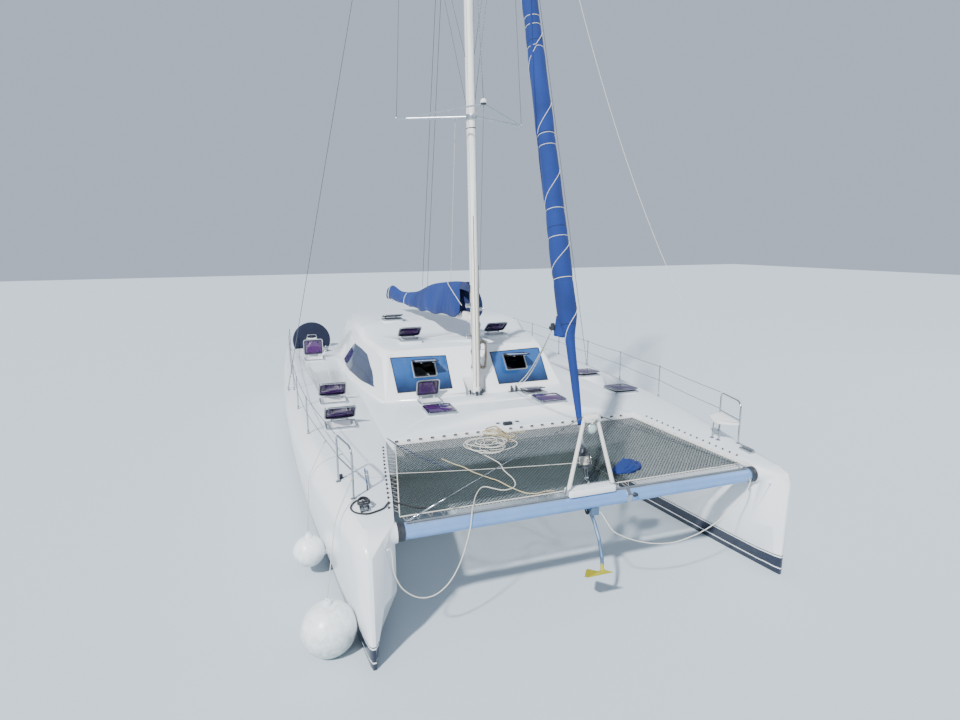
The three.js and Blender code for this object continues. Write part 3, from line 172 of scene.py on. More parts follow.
# polyester rope, three laid strands: off-white, matt, with a soft shadow line in each strand's groove
rope_white, tree, shader = surface("laid_polyester_rope", {"Roughness": 0.9, "Sheen Weight": 0.2})
uv = add_node(tree, "TexCoord")
split = add_node(tree, "SeparateXYZ", links={"Vector": uv.outputs["UV"]})
turns = add_node(tree, "Math", {"operation": "MULTIPLY_ADD", 1: 3.0},
    {0: split.outputs["Y"], 2: split.outputs["X"]})
strand = add_node(tree, "Math", {"operation": "FRACT"}, {0: turns.outputs[0]})
ridge = add_node(tree, "Math", {"operation": "PINGPONG", 1: 0.5}, {0: strand.outputs[0]})
tone = add_node(tree, "ValToRGB", links={"Fac": ridge.outputs[0]})
tone.color_ramp.elements[0].color = linear(ROPE_SHADE)
tone.color_ramp.elements[1].position = 0.2
tone.color_ramp.elements[1].color = linear(ROPE_WHITE)
bump = add_node(tree, "Bump", {"Strength": 0.6, "Distance": 0.004}, {"Height": ridge.outputs[0]})
feed(shader, "Base Color", tone.outputs["Color"])
feed(shader, "Normal", bump.outputs["Normal"])


def smooth_points(route, spacing):
    """Evenly spaced points along a smooth curve through the route."""
    points = [Vector(p) for p in route]
    padded = [2 * points[0] - points[1], *points, 2 * points[-1] - points[-2]]
    fine = []
    for a, b, c, d in zip(padded, padded[1:], padded[2:], padded[3:]):
        for step in range(24):
            t = step / 24
            fine.append(0.5 * (2 * b + (c - a) * t + (2 * a - 5 * b + 4 * c - d) * t * t
                               + (3 * b - a - 3 * c + d) * t ** 3))
    fine.append(points[-1])
    spaced, carried = [fine[0]], 0.0
    for before, after in zip(fine, fine[1:]):
        step = (after - before).length
        while carried + step >= spacing:
            before = before.lerp(after, (spacing - carried) / step)
            spaced.append(before.copy())
            step = (after - before).length
            carried = 0.0
        carried += step
    if (fine[-1] - spaced[-1]).length > 0.3 * spacing:
        spaced.append(fine[-1])
    else:
        spaced[-1] = fine[-1]
    return spaced


def made(name, mesh):
    """A new object in the scene that holds this bmesh."""
    data = bpy.data.meshes.new(name)
    mesh.to_mesh(data)
    mesh.free()
    piece = bpy.data.objects.new(name, data)
    bpy.context.scene.collection.objects.link(piece)
    return piece


def tube(name, points, radius, sides=10, lay=LAY_LENGTH):
    """A round closed tube along the points, with a UV map that runs round it and along its length."""
    mesh = bmesh.new()
    layer = mesh.loops.layers.uv.new("UVMap")
    along = (points[1] - points[0]).normalized()
    across = along.orthogonal().normalized()
    rings, runs, run = [], [], 0.0
    for i, point in enumerate(points):
        ahead = (points[min(i + 1, len(points) - 1)] - points[max(i - 1, 0)]).normalized()
        across = (across - ahead * across.dot(ahead)).normalized()
        other = ahead.cross(across)
        radius_here = radius[i] if isinstance(radius, list) else radius
        rings.append([
            mesh.verts.new(point + radius_here * (cos(a) * across + sin(a) * other))
            for a in [2 * pi * k / sides for k in range(sides)]
        ])
        run += (point - points[i - 1]).length if i else 0.0
        runs.append(run)
    for i in range(len(points) - 1):
        for k in range(sides):
            n = (k + 1) % sides
            face = mesh.faces.new((rings[i][k], rings[i][n], rings[i + 1][n], rings[i + 1][k]))
            face.smooth = True
            places = [(k, i), (k + 1, i), (k + 1, i + 1), (k, i + 1)]
            for loop, (around, ring) in zip(face.loops, places):
                loop[layer].uv = (around / sides * 3, runs[ring] / lay)
    mesh.faces.new(list(reversed(rings[0])))
    mesh.faces.new(rings[-1])
    return made(name, mesh)


def dress(piece, material, body="root"):
    """Gives a finished piece its material and the body it rides on."""
    piece.data.materials.clear()
    piece.data.materials.append(material)
    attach(piece, body)
    return piece


def path_length(points):
    return sum((b - a).length for a, b in zip(points, points[1:]))


random.seed(7)
pile_route = []
for i in range(PILE_TURNS * PILE_POINTS_PER_TURN):
    turn = i / PILE_POINTS_PER_TURN
    angle = -pi / 2 - 2 * pi * turn
    radius = PILE_RADIUS - 0.012 * turn + 0.065 * sin(2.3 * turn + 0.6) + 0.035 * sin(3 * angle + 1.9 * turn)
    drift = Vector((0.09 * sin(1.7 * turn), 0.05 * cos(1.3 * turn) - 0.05))
    x = PILE_PLACE[0] + drift.x + radius * 1.15 * cos(angle)
    y = PILE_PLACE[1] + drift.y + radius * sin(angle)
    layer = 1.685 + (y - PILE_PLACE[1]) * NET_SLOPE + PILE_LAYER * turn
    pile_route.append((x, y, layer))
starboard_rope = smooth_points(STARBOARD_ROUTE[:-1] + pile_route[2:], 0.02)
for name, points, exit_point, solids in (
    ("bridle_rope_starboard", starboard_rope, STARBOARD_ROUTE[0], ["bridle_starboard", "rope_pile"]),
    ("bridle_rope_port", smooth_points(PORT_ROUTE, 0.02), PORT_ROUTE[0], ["bridle_port"]),
):
    rope = dress(tube(name, points, ROPE_DIAMETER / 2), rope_white)
    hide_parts(*solids)

# Hulls, bridgedeck and coachroof. Glass-fibre mouldings in white gelcoat, polished on the topsides and
# moulded with a fine non-skid grain on the decks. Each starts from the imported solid: its faces are merged
# back to the panels of the mould, then the edges are rounded as a mould leaves them.
GELCOAT_WHITE = "#F2F4F5"
DECK_GREY_BLUE = "#DCE4EA"
BOOT_NAVY = "#141C33"
ANTIFOULING_NAVY = "#1A2436"
BOOT_STRIPE = [(0.085, GELCOAT_WHITE), (0.102, BOOT_NAVY), (0.262, GELCOAT_WHITE), (0.284, BOOT_NAVY),
               (0.3, GELCOAT_WHITE)]
MOULD_EDGE_RADIUS = 0.014
GRAIN_SPACING = 0.016
STRIPE_LOW, STRIPE_HIGH = -0.1, 0.4


def panel_copy(node, name, radius, shortest=0.09, crease=32, smooth=34):
    """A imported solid's copy with its flat panels merged, its long sharp edges rounded and the rest smooth."""
    piece = nodes[node].copy()
    piece.data = nodes[node].data.copy()
    piece.name = name
    piece.parent = None
    for key in list(piece.keys()):
        del piece[key]
    bpy.context.scene.collection.objects.link(piece)
    bpy.ops.object.select_all(action="DESELECT")
    piece.select_set(True)
    bpy.context.view_layer.objects.active = piece
    bpy.ops.object.mode_set(mode="EDIT")
    bpy.ops.mesh.select_all(action="SELECT")
    bpy.ops.mesh.remove_doubles(threshold=0.00005)
    bpy.ops.mesh.dissolve_limited(angle_limit=radians(0.6))
    bpy.ops.object.mode_set(mode="OBJECT")
    if radius:
        shape = bmesh.new()
        shape.from_mesh(piece.data)
        weight = shape.edges.layers.float.new("bevel_weight_edge")
        for edge in shape.edges:
            if edge.is_manifold and edge.calc_length() > shortest:
                edge[weight] = 1.0 if edge.calc_face_angle() > radians(crease) else 0.0
        shape.to_mesh(piece.data)
        shape.free()
        rounding = piece.modifiers.new("rounding", "BEVEL")
        rounding.limit_method = "WEIGHT"
        rounding.width = radius
        rounding.segments = 3
        rounding.use_clamp_overlap = True
        rounding.harden_normals = False
        bpy.ops.object.modifier_apply(modifier="rounding")
    bpy.ops.object.shade_smooth_by_angle(angle=radians(smooth))
    piece.select_set(False)
    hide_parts(node)
    return piece


def gelcoat(name, striped):
    """White gelcoat, with the painted boot stripe where asked and non-skid grain on what faces up."""
    material, tree, shader = surface(name, {"Coat Weight": 0.35, "Coat Roughness": 0.08})
    place = add_node(tree, "TexCoord").outputs["Object"]
    height = add_node(tree, "SeparateXYZ", links={"Vector": place})
    normal = add_node(tree, "NewGeometry").outputs["Normal"]
    facing = add_node(tree, "SeparateXYZ", links={"Vector": normal})
    flat = add_node(tree, "MapRange", {"From Min": 0.94, "From Max": 0.985}, {"Value": facing.outputs["Z"]})
    above = add_node(tree, "Math", {"operation": "GREATER_THAN", 1: 1.0}, {0: height.outputs["Z"]})
    deck = add_node(tree, "Math", {"operation": "MULTIPLY"}, {0: flat.outputs[0], 1: above.outputs[0]})
    haze = add_node(tree, "TexNoise", {"Scale": 1.3, "Detail": 3.0}, {"Vector": place})
    white = add_node(tree, "Mix", {"data_type": "RGBA", 6: linear(GELCOAT_WHITE), 7: linear("#E6E9EC")},
        {"Factor": haze.outputs["Fac"]})
    topside = white.outputs[2]
    if striped:
        share = add_node(tree, "MapRange", {"From Min": STRIPE_LOW, "From Max": STRIPE_HIGH},
                         {"Value": height.outputs["Z"]})
        bands = add_node(tree, "ValToRGB", links={"Fac": share.outputs[0]})
        bands.color_ramp.interpolation = "CONSTANT"
        bands.color_ramp.elements[0].color = linear(ANTIFOULING_NAVY)
        bands.color_ramp.elements.remove(bands.color_ramp.elements[1])
        for z, colour in BOOT_STRIPE:
            stop = bands.color_ramp.elements.new((z - STRIPE_LOW) / (STRIPE_HIGH - STRIPE_LOW))
            stop.color = linear(colour)
        low = add_node(tree, "Math", {"operation": "LESS_THAN", 1: 0.3}, {0: height.outputs["Z"]})
        painted = add_node(tree, "Mix", {"data_type": "RGBA"}, {"Factor": low.outputs[0]})
        tree.links.new(topside, painted.inputs[6])
        tree.links.new(bands.outputs["Color"], painted.inputs[7])
        topside = painted.outputs[2]
    colour = add_node(tree, "Mix", {"data_type": "RGBA"}, {"Factor": deck.outputs[0]})
    tree.links.new(topside, colour.inputs[6])
    colour.inputs[7].default_value = linear(DECK_GREY_BLUE)
    feed(shader, "Base Color", colour.outputs[2])
    rough = add_node(tree, "MapRange", {"To Min": 0.22, "To Max": 0.62}, {"Value": deck.outputs[0]})
    feed(shader, "Roughness", rough.outputs[0])
    grain = add_node(tree, "TexVoronoi", {"Scale": 1 / GRAIN_SPACING}, {"Vector": place})
    grip = add_node(tree, "Math", {"operation": "MULTIPLY"},
        {0: grain.outputs["Distance"], 1: deck.outputs[0]})
    bump = add_node(tree, "Bump", {"Strength": 0.35, "Distance": 0.002}, {"Height": grip.outputs[0]})
    feed(shader, "Normal", bump.outputs["Normal"])
    return material


hull_gelcoat = gelcoat("gelcoat_with_boot_stripe", True)
deck_gelcoat = gelcoat("gelcoat_moulded", False)
for side in ("starboard", "port"):
    dress(panel_copy(f"hull_{side}", f"hull_moulding_{side}", MOULD_EDGE_RADIUS), hull_gelcoat)
dress(panel_copy("bridgedeck", "bridgedeck_moulding", MOULD_EDGE_RADIUS), deck_gelcoat)
dress(panel_copy("coachroof", "coachroof_moulding", 0.03, 0.2, 24, 38), deck_gelcoat)
dress(panel_copy("aft_bulkhead", "bulkhead_moulding", 0.006), deck_gelcoat)

# Saloon windows. Smoked acrylic panes are bedded in black sealant, flush with the coachroof. Each front pane
# has a portlight in an aluminium frame, whose lid stands open on its top hinge.
SMOKE_DEEP = "#0B1636"
SKY_REFLECTION_BLUE = "#2C5892"
SEALANT_BLACK = "#17181C"
ALUMINIUM = "#C9CED3"
ALUMINIUM_DULL = "#9EA5AC"
FACE_FOOT = (-1.95, 1.8)
FACE_UP = Vector((0.0, 0.75, 0.82)).normalized()
FACE_OUT = Vector((0.0, -FACE_UP.z, FACE_UP.y))
FRONT_WINDOW = [(0.5, 1.885), (1.633, 1.885), (1.66, 2.505), (0.485, 2.475)]
PORTLIGHT = [(0.78, 2.13), (1.22, 2.13), (1.22, 2.4), (0.78, 2.4)]
PORTLIGHT_OPEN_DEG = 52
BEAD_WIDTH = 0.016
SIDES = (("starboard", -1), ("port", 1))

# smoked cast acrylic: glossy navy, with a painted sky reflection in steel blue, mostly on the front panes and
# stronger higher up
smoked_acrylic, tree, shader = surface("smoked_acrylic_painted_sky_reflection", {"Coat Weight": 0.6, "Coat Roughness": 0.03})
place = add_node(tree, "TexCoord").outputs["Object"]
height = add_node(tree, "SeparateXYZ", links={"Vector": place})
rise = add_node(tree, "MapRange", {"From Min": 1.86, "From Max": 2.22}, {"Value": height.outputs["Z"]})
cloudy = add_node(tree, "TexNoise", {"Scale": 2.2, "Detail": 2.0, "Distortion": 0.8}, {"Vector": place})
shift = add_node(tree, "Math", {"operation": "MULTIPLY_ADD", 1: 0.5},
    {0: cloudy.outputs["Fac"], 2: rise.outputs[0]})
lift = add_node(tree, "Math", {"operation": "SUBTRACT", 1: 0.25}, {0: shift.outputs[0]})
fore = add_node(tree, "MapRange", {"From Min": -0.9, "From Max": -1.2, "To Min": 0.12},
    {"Value": height.outputs["Y"]})
sky_reflection_share = add_node(tree, "Math", {"operation": "MULTIPLY"}, {0: lift.outputs[0], 1: fore.outputs[0]})
# painted sky reflection: steel blue mixed over the navy by height, soft noise and how far forward the pane
# stands
tint = add_node(tree, "Mix", {"data_type": "RGBA", "clamp_factor": True, 6: linear(SMOKE_DEEP),
        7: linear(SKY_REFLECTION_BLUE)}, {"Factor": sky_reflection_share.outputs[0]})
feed(shader, "Base Color", tint.outputs[2])
smear = add_node(tree, "MapRange", {"To Min": 0.04, "To Max": 0.16}, {"Value": cloudy.outputs["Fac"]})
feed(shader, "Roughness", smear.outputs[0])


def mottled(name, light, dark, settings, patch=0.25, grain=0.004, relief=0.0003, rough=(0.3, 0.45)):
    """A finish whose colour drifts between two hexes. Its patches, grain and relief are in metres."""
    material, tree, shader = surface(name, settings)
    place = add_node(tree, "TexCoord").outputs["Object"]
    drift = add_node(tree, "TexNoise", {"Scale": 1 / patch, "Detail": 4.0, "Roughness": 0.6},
        {"Vector": place})
    colour = add_node(tree, "Mix", {"data_type": "RGBA", 6: linear(light), 7: linear(dark)},
        {"Factor": drift.outputs["Fac"]})
    feed(shader, "Base Color", colour.outputs[2])
    dullness = add_node(tree, "MapRange", {"To Min": rough[0], "To Max": rough[1]},
        {"Value": drift.outputs["Fac"]})
    feed(shader, "Roughness", dullness.outputs[0])
    speck = add_node(tree, "TexNoise", {"Scale": 1 / grain, "Detail": 2.0}, {"Vector": place})
    bump = add_node(tree, "Bump", {"Strength": 0.5, "Distance": relief}, {"Height": speck.outputs["Fac"]})
    feed(shader, "Normal", bump.outputs["Normal"])
    return material


# sealant and gaskets: black rubbery polymer, matt, greying where it weathers
black_sealant = mottled("black_polymer_sealant", SEALANT_BLACK, "#26282D", {}, 0.08, 0.003, 0.0003,
    (0.55, 0.75))
# satin anodised aluminium extrusion: pale silver with a soft sheen and faint hand marks
satin_aluminium = mottled("satin_anodised_aluminium", ALUMINIUM, ALUMINIUM_DULL, {"Metallic": 0.9}, 0.15,
    0.002, 0.0001, (0.28, 0.42))
# polished stainless tube: bright, lightly tea-stained near the deck
polished_stainless = mottled("polished_stainless_steel", "#D2D5D8", "#A9ABAD", {"Metallic": 1.0}, 0.3,
    0.003, 0.0001, (0.12, 0.26))


def at(x, y, z):
    """A place at this point."""
    return Matrix.Translation((x, y, z))


def turned(degrees, axis):
    """A turn about an axis."""
    return Matrix.Rotation(radians(degrees), 4, axis)


def ellipse(half_width, half_length, count):
    """Points round an ellipse."""
    angles = [2 * pi * k / count for k in range(count)]
    return [(half_width * cos(a), half_length * sin(a)) for a in angles]


def ring_profile(radius, wire, count):
    """The profile of a ring of round wire."""
    return [(radius + x, y) for x, y in ellipse(wire, wire, count)]


def both_ways(half):
    """A profile the same above and below its middle, from its lower half with heights given as depths."""
    return [(r, -depth) for r, depth in half] + [(r, depth) for r, depth in reversed(half) if depth]


def outline_face(name, corners, corner_radius=0.0, segments=5):
    """A flat face with these corners in its own XY plane, the corners rounded. It stays in edit mode."""
    bpy.ops.mesh.primitive_circle_add(vertices=len(corners), radius=1, fill_type="NGON")
    piece = bpy.context.object
    piece.name = piece.data.name = name
    area = sum(a[0] * b[1] - a[1] * b[0] for a, b in zip(corners, [*corners[1:], corners[0]]))
    ordered = corners if area > 0 else list(reversed(corners))
    ring = [piece.data.vertices[k] for k in piece.data.polygons[0].vertices]
    if piece.data.polygons[0].normal.z < 0:
        ring.reverse()
    for vertex, corner in zip(ring, ordered):
        vertex.co = (corner[0], corner[1], 0)
    bpy.ops.object.mode_set(mode="EDIT")
    bpy.ops.mesh.select_all(action="SELECT")
    if corner_radius:
        bpy.ops.mesh.bevel(offset=corner_radius, segments=segments, affect="VERTICES")
        bpy.ops.mesh.select_all(action="SELECT")
    return piece


def placed(piece, place, edge=0.0, smooth=35):
    """Ends a piece: back to object mode, its edges rounded, its place put into its mesh."""
    if bpy.context.mode != "OBJECT":
        bpy.ops.object.mode_set(mode="OBJECT")
    if edge:
        rounding = piece.modifiers.new("rounding", "BEVEL")
        rounding.width = edge
        rounding.segments = 2
        rounding.angle_limit = radians(40)
        rounding.use_clamp_overlap = True
        bpy.ops.object.modifier_apply(modifier="rounding")
    bpy.ops.object.shade_smooth_by_angle(angle=radians(smooth))
    if place is not None:
        piece.data.transform(place)
        if place.determinant() < 0:
            piece.data.flip_normals()
    piece.select_set(False)
    return piece


def slab(name, corners, low, high, place=None, corner_radius=0.0, edge=0.002):
    """A plate of this outline between two heights, with rounded corners and edges."""
    piece = outline_face(name, corners, corner_radius)
    bpy.ops.transform.translate(value=(0, 0, low))
    bpy.ops.mesh.extrude_region_move(TRANSFORM_OT_translate={"value": (0, 0, high - low)})
    bpy.ops.mesh.select_all(action="SELECT")
    bpy.ops.mesh.normals_make_consistent(inside=False)
    return placed(piece, place, edge)


def frame_ring(name, corners, width, low, high, place=None, corner_radius=0.0, edge=0.002):
    """A flat frame that follows the outline inward by its width, between two heights."""
    piece = outline_face(name, corners, corner_radius)
    bpy.ops.transform.translate(value=(0, 0, low))
    bpy.ops.mesh.inset(thickness=width)
    bpy.ops.mesh.delete(type="FACE")
    bpy.ops.mesh.select_all(action="SELECT")
    bpy.ops.mesh.extrude_region_move(TRANSFORM_OT_translate={"value": (0, 0, high - low)})
    bpy.ops.mesh.select_all(action="SELECT")
    bpy.ops.mesh.normals_make_consistent(inside=False)
    return placed(piece, place, edge)


def block(name, size, place, edge=0.003):
    """A box of this size about its place, its edges rounded."""
    bpy.ops.mesh.primitive_cube_add(size=1)
    piece = bpy.context.object
    piece.name = piece.data.name = name
    piece.data.transform(Matrix.Diagonal((*size, 1)))
    return placed(piece, place, edge)


def spun(name, profile, place, sides=24, smooth=35):
    """A turned piece: a profile of (radius, height) points spun about its own Z axis."""
    bpy.ops.mesh.primitive_circle_add(vertices=len(profile), radius=1, fill_type="NOTHING")
    piece = bpy.context.object
    piece.name = piece.data.name = name
    for vertex, (radius, height) in zip(piece.data.vertices, profile):
        vertex.co = (radius, 0, height)
    bpy.ops.object.mode_set(mode="EDIT")
    bpy.ops.mesh.select_all(action="SELECT")
    bpy.ops.mesh.spin(steps=sides, angle=2 * pi, center=(0, 0, 0), axis=(0, 0, 1))
    bpy.ops.mesh.select_all(action="SELECT")
    bpy.ops.mesh.remove_doubles(threshold=0.00002)
    bpy.ops.mesh.dissolve_degenerate(threshold=0.00001)
    bpy.ops.mesh.select_all(action="SELECT")
    bpy.ops.mesh.normals_make_consistent(inside=False)
    return placed(piece, place, 0.0, smooth)


def along(start, end, roll=(0, 0, 1)):
    """A place whose Z axis runs from start to end, with its origin at the start."""
    axis = (Vector(end) - Vector(start)).normalized()
    side = Vector(roll).cross(axis)
    side = side.normalized() if side.length > 0.01 else axis.orthogonal().normalized()
    return Matrix.Translation(start) @ Matrix((side, axis.cross(side), axis)).transposed().to_4x4()


def joined(name, parts):
    """Several meshes made one piece."""
    bpy.ops.object.select_all(action="DESELECT")
    for part in parts:
        part.select_set(True)
    bpy.context.view_layer.objects.active = parts[0]
    bpy.ops.object.join()
    piece = bpy.context.object
    piece.name = piece.data.name = name
    piece.select_set(False)
    return piece


def bed_on_skin(piece, face, pane, corners):
    """Lays a flat ring, drawn on the face's plane, on the curved pane behind it."""
    centre = Vector((sum(x for x, s in corners) / 4, sum(s for x, s in corners) / 4, 0))
    out = (face.to_3x3() @ Vector((0, 0, 1))).normalized()
    skin = BVHTree.FromPolygons([v.co for v in pane.data.vertices],
        [tuple(p.vertices) for p in pane.data.polygons])
    for vertex in piece.data.vertices:
        flat = Vector((vertex.co.x, vertex.co.y, 0))
        inside = flat + (centre - flat).normalized() * 0.022
        spot = skin.ray_cast(face @ inside + out * 0.1, -out, 0.3)[0]
        depth = (spot - face @ inside).dot(out) if spot else 0.0
        vertex.co = face @ Vector((vertex.co.x, vertex.co.y, vertex.co.z + depth))
    if face.determinant() < 0:
        piece.data.flip_normals()
    piece.data.update()


for side, sign in SIDES:
    dress(panel_copy(f"window_front_{side}", f"window_pane_front_{side}", 0.002, 0.05), smoked_acrylic)
    dress(panel_copy(f"window_side_{side}", f"window_pane_side_{side}", 0.0, 0.05), smoked_acrylic)
    face = at(0, FACE_FOOT[0], FACE_FOOT[1]) @ Matrix(
        (Vector((1, 0, 0)), FACE_UP, FACE_OUT)).transposed().to_4x4()
    on_face = [(sign * x, (z - FACE_FOOT[1]) / FACE_UP.z) for x, z in FRONT_WINDOW]
    hole = [(sign * x, (z - FACE_FOOT[1]) / FACE_UP.z) for x, z in PORTLIGHT]
    dense = [tuple(Vector(a).lerp(Vector(b), j / 16)) for a, b in zip(on_face, [*on_face[1:], on_face[0]])
        for j in range(16)]
    bead = frame_ring(f"window_bead_{side}", dense, BEAD_WIDTH, 0.0005, 0.005, None, 0.0, 0.0)
    bed_on_skin(bead, face, nodes[f"window_front_{side}"], on_face)
    dress(bead, black_sealant)
    rim = frame_ring(f"portlight_frame_{side}", [(x + sign * dx, s + ds) for (x, s), (dx, ds) in zip(
        hole, [(-0.028, -0.028), (0.028, -0.028), (0.028, 0.028), (-0.028, 0.028)])],
        0.03, -0.012, 0.016, face, 0.055, 0.003)
    dress(rim, satin_aluminium)
    top = max(s for x, s in hole) + 0.02
    middle = sum(x for x, s in hole) / 4
    hinge = face @ at(middle, top, 0.024) @ turned(-PORTLIGHT_OPEN_DEG, "X")
    half, drop = 0.245, max(s for x, s in hole) - min(s for x, s in hole) + 0.045
    outline = [(-half, -drop), (half, -drop), (half, -0.006), (-half, -0.006)]
    lid = frame_ring(f"portlight_lid_frame_{side}", outline, 0.03, -0.006, 0.012, hinge, 0.05, 0.002)
    dress(lid, black_sealant)
    pane = slab(f"portlight_lid_pane_{side}",
        [(x * 0.9, -drop / 2 + (y + drop / 2) * 0.86) for x, y in outline], -0.002, 0.007, hinge, 0.03, 0.001)
    dress(pane, smoked_acrylic)
    pins = [spun("pin", both_ways([(0, 0.03), (0.009, 0.03)]),
            along(face @ Vector((middle + k * 0.14 - 0.03, top, 0.018)),
                face @ Vector((middle + k * 0.14 + 0.03, top, 0.018))) @ at(0, 0, 0.03), 12)
        for k in (-1, 1)]
    latches = [block("latch", (0.03, 0.014, 0.028), hinge @ at(k * 0.12, -drop + 0.03, -0.014), 0.003)
               for k in (-1, 1)]
    dress(joined(f"portlight_hinge_{side}", pins + latches), satin_aluminium)

# Deck hatches. Each lid is a purple-tinted acrylic plate in a bevelled aluminium frame, hinged on its aft
# edge over a moulded coaming with an aluminium flange. A black seal and two cam levers are under its fore
# edge.
ACRYLIC_PURPLE = "#6B2A74"
ACRYLIC_INDIGO = "#2B2360"
LID_EDGE_BLACK = "#141430"
COAMING_HEIGHT = 0.045
AXIS_ABOVE_DECK = 0.063
LEVER_INSET = 0.042
DECK_Z = 1.73
# hatch, x, y of the hinge, width, length, degrees open, height of its deck
HATCHES = [
    ("hull_fore_starboard", -2.86, -2.88, 0.52, 0.44, 40, DECK_Z),
    ("hull_fore_port", 2.9, -2.4, 0.52, 0.54, 3, DECK_Z),
    ("hull_mid_starboard", -2.84, -1.24, 0.52, 0.44, 44, DECK_Z),
    ("hull_mid_port", 2.94, -0.8, 0.52, 0.54, 4, DECK_Z),
    ("hull_aft_starboard", -2.94, 3.24, 0.5, 0.44, 80, DECK_Z),
    ("hull_aft_port", 2.94, 3.24, 0.5, 0.44, 0, DECK_Z),
    ("foredeck_aft_starboard", -1.06, -1.99, 0.46, 0.36, 72, DECK_Z),
    ("foredeck_aft_port", 1.12, -1.99, 0.46, 0.36, 10, DECK_Z),
    ("foredeck_fore_starboard", -1.05, -2.56, 0.54, 0.54, 0, DECK_Z),
    ("foredeck_fore_port", 1.18, -2.56, 0.54, 0.54, 0, DECK_Z),
    ("roof_fore_starboard", -1.09, -0.43, 0.48, 0.38, 35, 2.712),
    ("roof_fore_port", 0.9, -0.43, 0.48, 0.38, 35, 2.712),
    ("roof_aft_starboard", -1.15, 1.3, 0.48, 0.38, 12, 2.945),
]

# tinted acrylic: clear purple plastic that glows where light comes through, indigo in its thicker parts
tinted_acrylic, tree, shader = surface("purple_tinted_acrylic", {
    "Roughness": 0.06, "IOR": 1.49, "Coat Weight": 0.5, "Coat Roughness": 0.03, "Transmission Weight": 0.45})
place = add_node(tree, "TexCoord").outputs["Object"]
cloudy = add_node(tree, "TexNoise", {"Scale": 3.0, "Detail": 2.0}, {"Vector": place})
tint = add_node(tree, "Mix", {"data_type": "RGBA", 6: linear(ACRYLIC_PURPLE), 7: linear(ACRYLIC_INDIGO)},
    {"Factor": cloudy.outputs["Fac"]})
feed(shader, "Base Color", tint.outputs[2])
# the lid's painted border: glossy blue-black acrylic
black_acrylic = mottled("blue_black_acrylic_border", LID_EDGE_BLACK, "#1D1D3C", {"Coat Weight": 0.4}, 0.3,
    0.01, 0.0001, (0.08, 0.16))
# white nylon: screw caps and hinge bushes
white_nylon = mottled("white_nylon", "#F1F1EC", "#DDDDD6", {}, 0.05, 0.003, 0.0002, (0.35, 0.5))


def rectangle(width, length, centre_y=0.0):
    return [(-width / 2, centre_y - length / 2), (width / 2, centre_y - length / 2),
            (width / 2, centre_y + length / 2), (-width / 2, centre_y + length / 2)]


for name, x, hinge_y, width, length, open_deg, deck_z in HATCHES:
    body = f"lid_{name}"
    pivot = Vector((x, hinge_y, deck_z + AXIS_ABOVE_DECK))
    well = at(x, hinge_y - 0.026 - length / 2, deck_z + COAMING_HEIGHT)
    flange = frame_ring(f"hatch_flange_{name}", rectangle(width + 0.006, length + 0.006), 0.03, -0.03,
        0.0012, well, 0.06, 0.0015)
    dress(flange, satin_aluminium)
    lid = Matrix.Translation(pivot) @ turned(-open_deg, "X")
    middle_y = -0.034 - length / 2
    border = frame_ring(f"lid_border_{name}", rectangle(width + 0.01, length + 0.006, middle_y), 0.046, 0.0,
        0.012, lid, 0.062, 0.002)
    dress(border, black_acrylic, body)
    under = frame_ring(f"lid_frame_{name}", rectangle(width + 0.008, length + 0.004, middle_y), 0.024,
        -0.011, 0.0002, lid, 0.061, 0.002)
    dress(under, satin_aluminium, body=body)
    pane = slab(f"lid_pane_{name}", rectangle(width - 0.082, length - 0.086, middle_y), 0.0006, 0.0112, lid,
        0.022, 0.001)
    dress(pane, tinted_acrylic, body)
    for piece in (border, under, pane):
        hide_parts(f"hatch_{name}")
    seal = frame_ring(f"lid_seal_{name}", rectangle(width - 0.036, length - 0.04, middle_y), 0.018, -0.0125,
        0.0002, lid, 0.045, 0.002)
    dress(seal, black_sealant, body=body)
    knuckle = spun("knuckle", both_ways([(0, 0.117), (0.0095, 0.117), (0.011, 0.113)]),
                   lid @ turned(90, "Y"), 16)
    leaf = block("leaf", (0.232, 0.044, 0.008), lid @ at(0, -0.022, 0.0), 0.002)
    levers = []
    for k in (-1, 1):
        grip = at(k * width * 0.25, LEVER_INSET - length, -0.011)
        levers.append(spun("boss", [(0, -0.02), (0.013, -0.02), (0.015, -0.016), (0.015, 0.0115),
                    (0, 0.0115)], lid @ grip, 14))
        levers.append(block("lever", (0.018, 0.062, 0.009), lid @ grip @ at(0, 0.026, -0.018), 0.003))
    dress(joined(f"lid_hinge_{name}", [knuckle, leaf]), satin_aluminium, body=body)
    dress(joined(f"lid_levers_{name}", levers), black_sealant, body=body)
    caps = []
    for k, (dx, dy) in enumerate([(-1, -1), (1, -1), (1, 1), (-1, 1), (0, -1), (0, 1), (-1, 0), (1, 0)]):
        spot = (dx * (width / 2 - 0.016 - 0.01 * (dx * dy != 0)), middle_y
            + dy * (length / 2 - 0.018 - 0.01 * (dx * dy != 0)), 0.0)
        caps.append(spun("cap", [(0, 0.0114), (0.0055, 0.0114), (0.0055, 0.013), (0.003, 0.0142),
                    (0, 0.0142)], lid @ Matrix.Translation(spot), 10))
    dress(joined(f"lid_caps_{name}", caps), white_nylon, body=body)
    if open_deg:
        bushes = [spun("bush", [(0, 0), (0.0135, 0), (0.0135, 0.004), (0.01, 0.006), (0, 0.006)],
                       at(x + k * 0.1455, hinge_y, pivot.z) @ turned(k * 90, "Y"), 12)
                  for k in (-1, 1)]
        dress(joined(f"hatch_bushes_{name}", bushes), satin_aluminium)

# Trampoline. Knotless polyester net, its cords on the bias, is sewn to a white border rope and laced to black
# buttons along both hull decks, to the foredeck edge and round the crossbeam.
NET_AFT = (2.16, -4.3, 1.69)
NET_FORE = (2.535, -6.545, 1.589)
NET_CORD = 0.0098
NET_SPACING = 0.038
NET_GREEN_GREY = "#4C5856"
NET_DARK = "#262E2E"
BORDER_ROPE = 0.016
BUTTONS_A_SIDE = 16
LACED_FORE, LACED_AFT = -6.42, -4.36
LACE_RADIUS = 0.0028
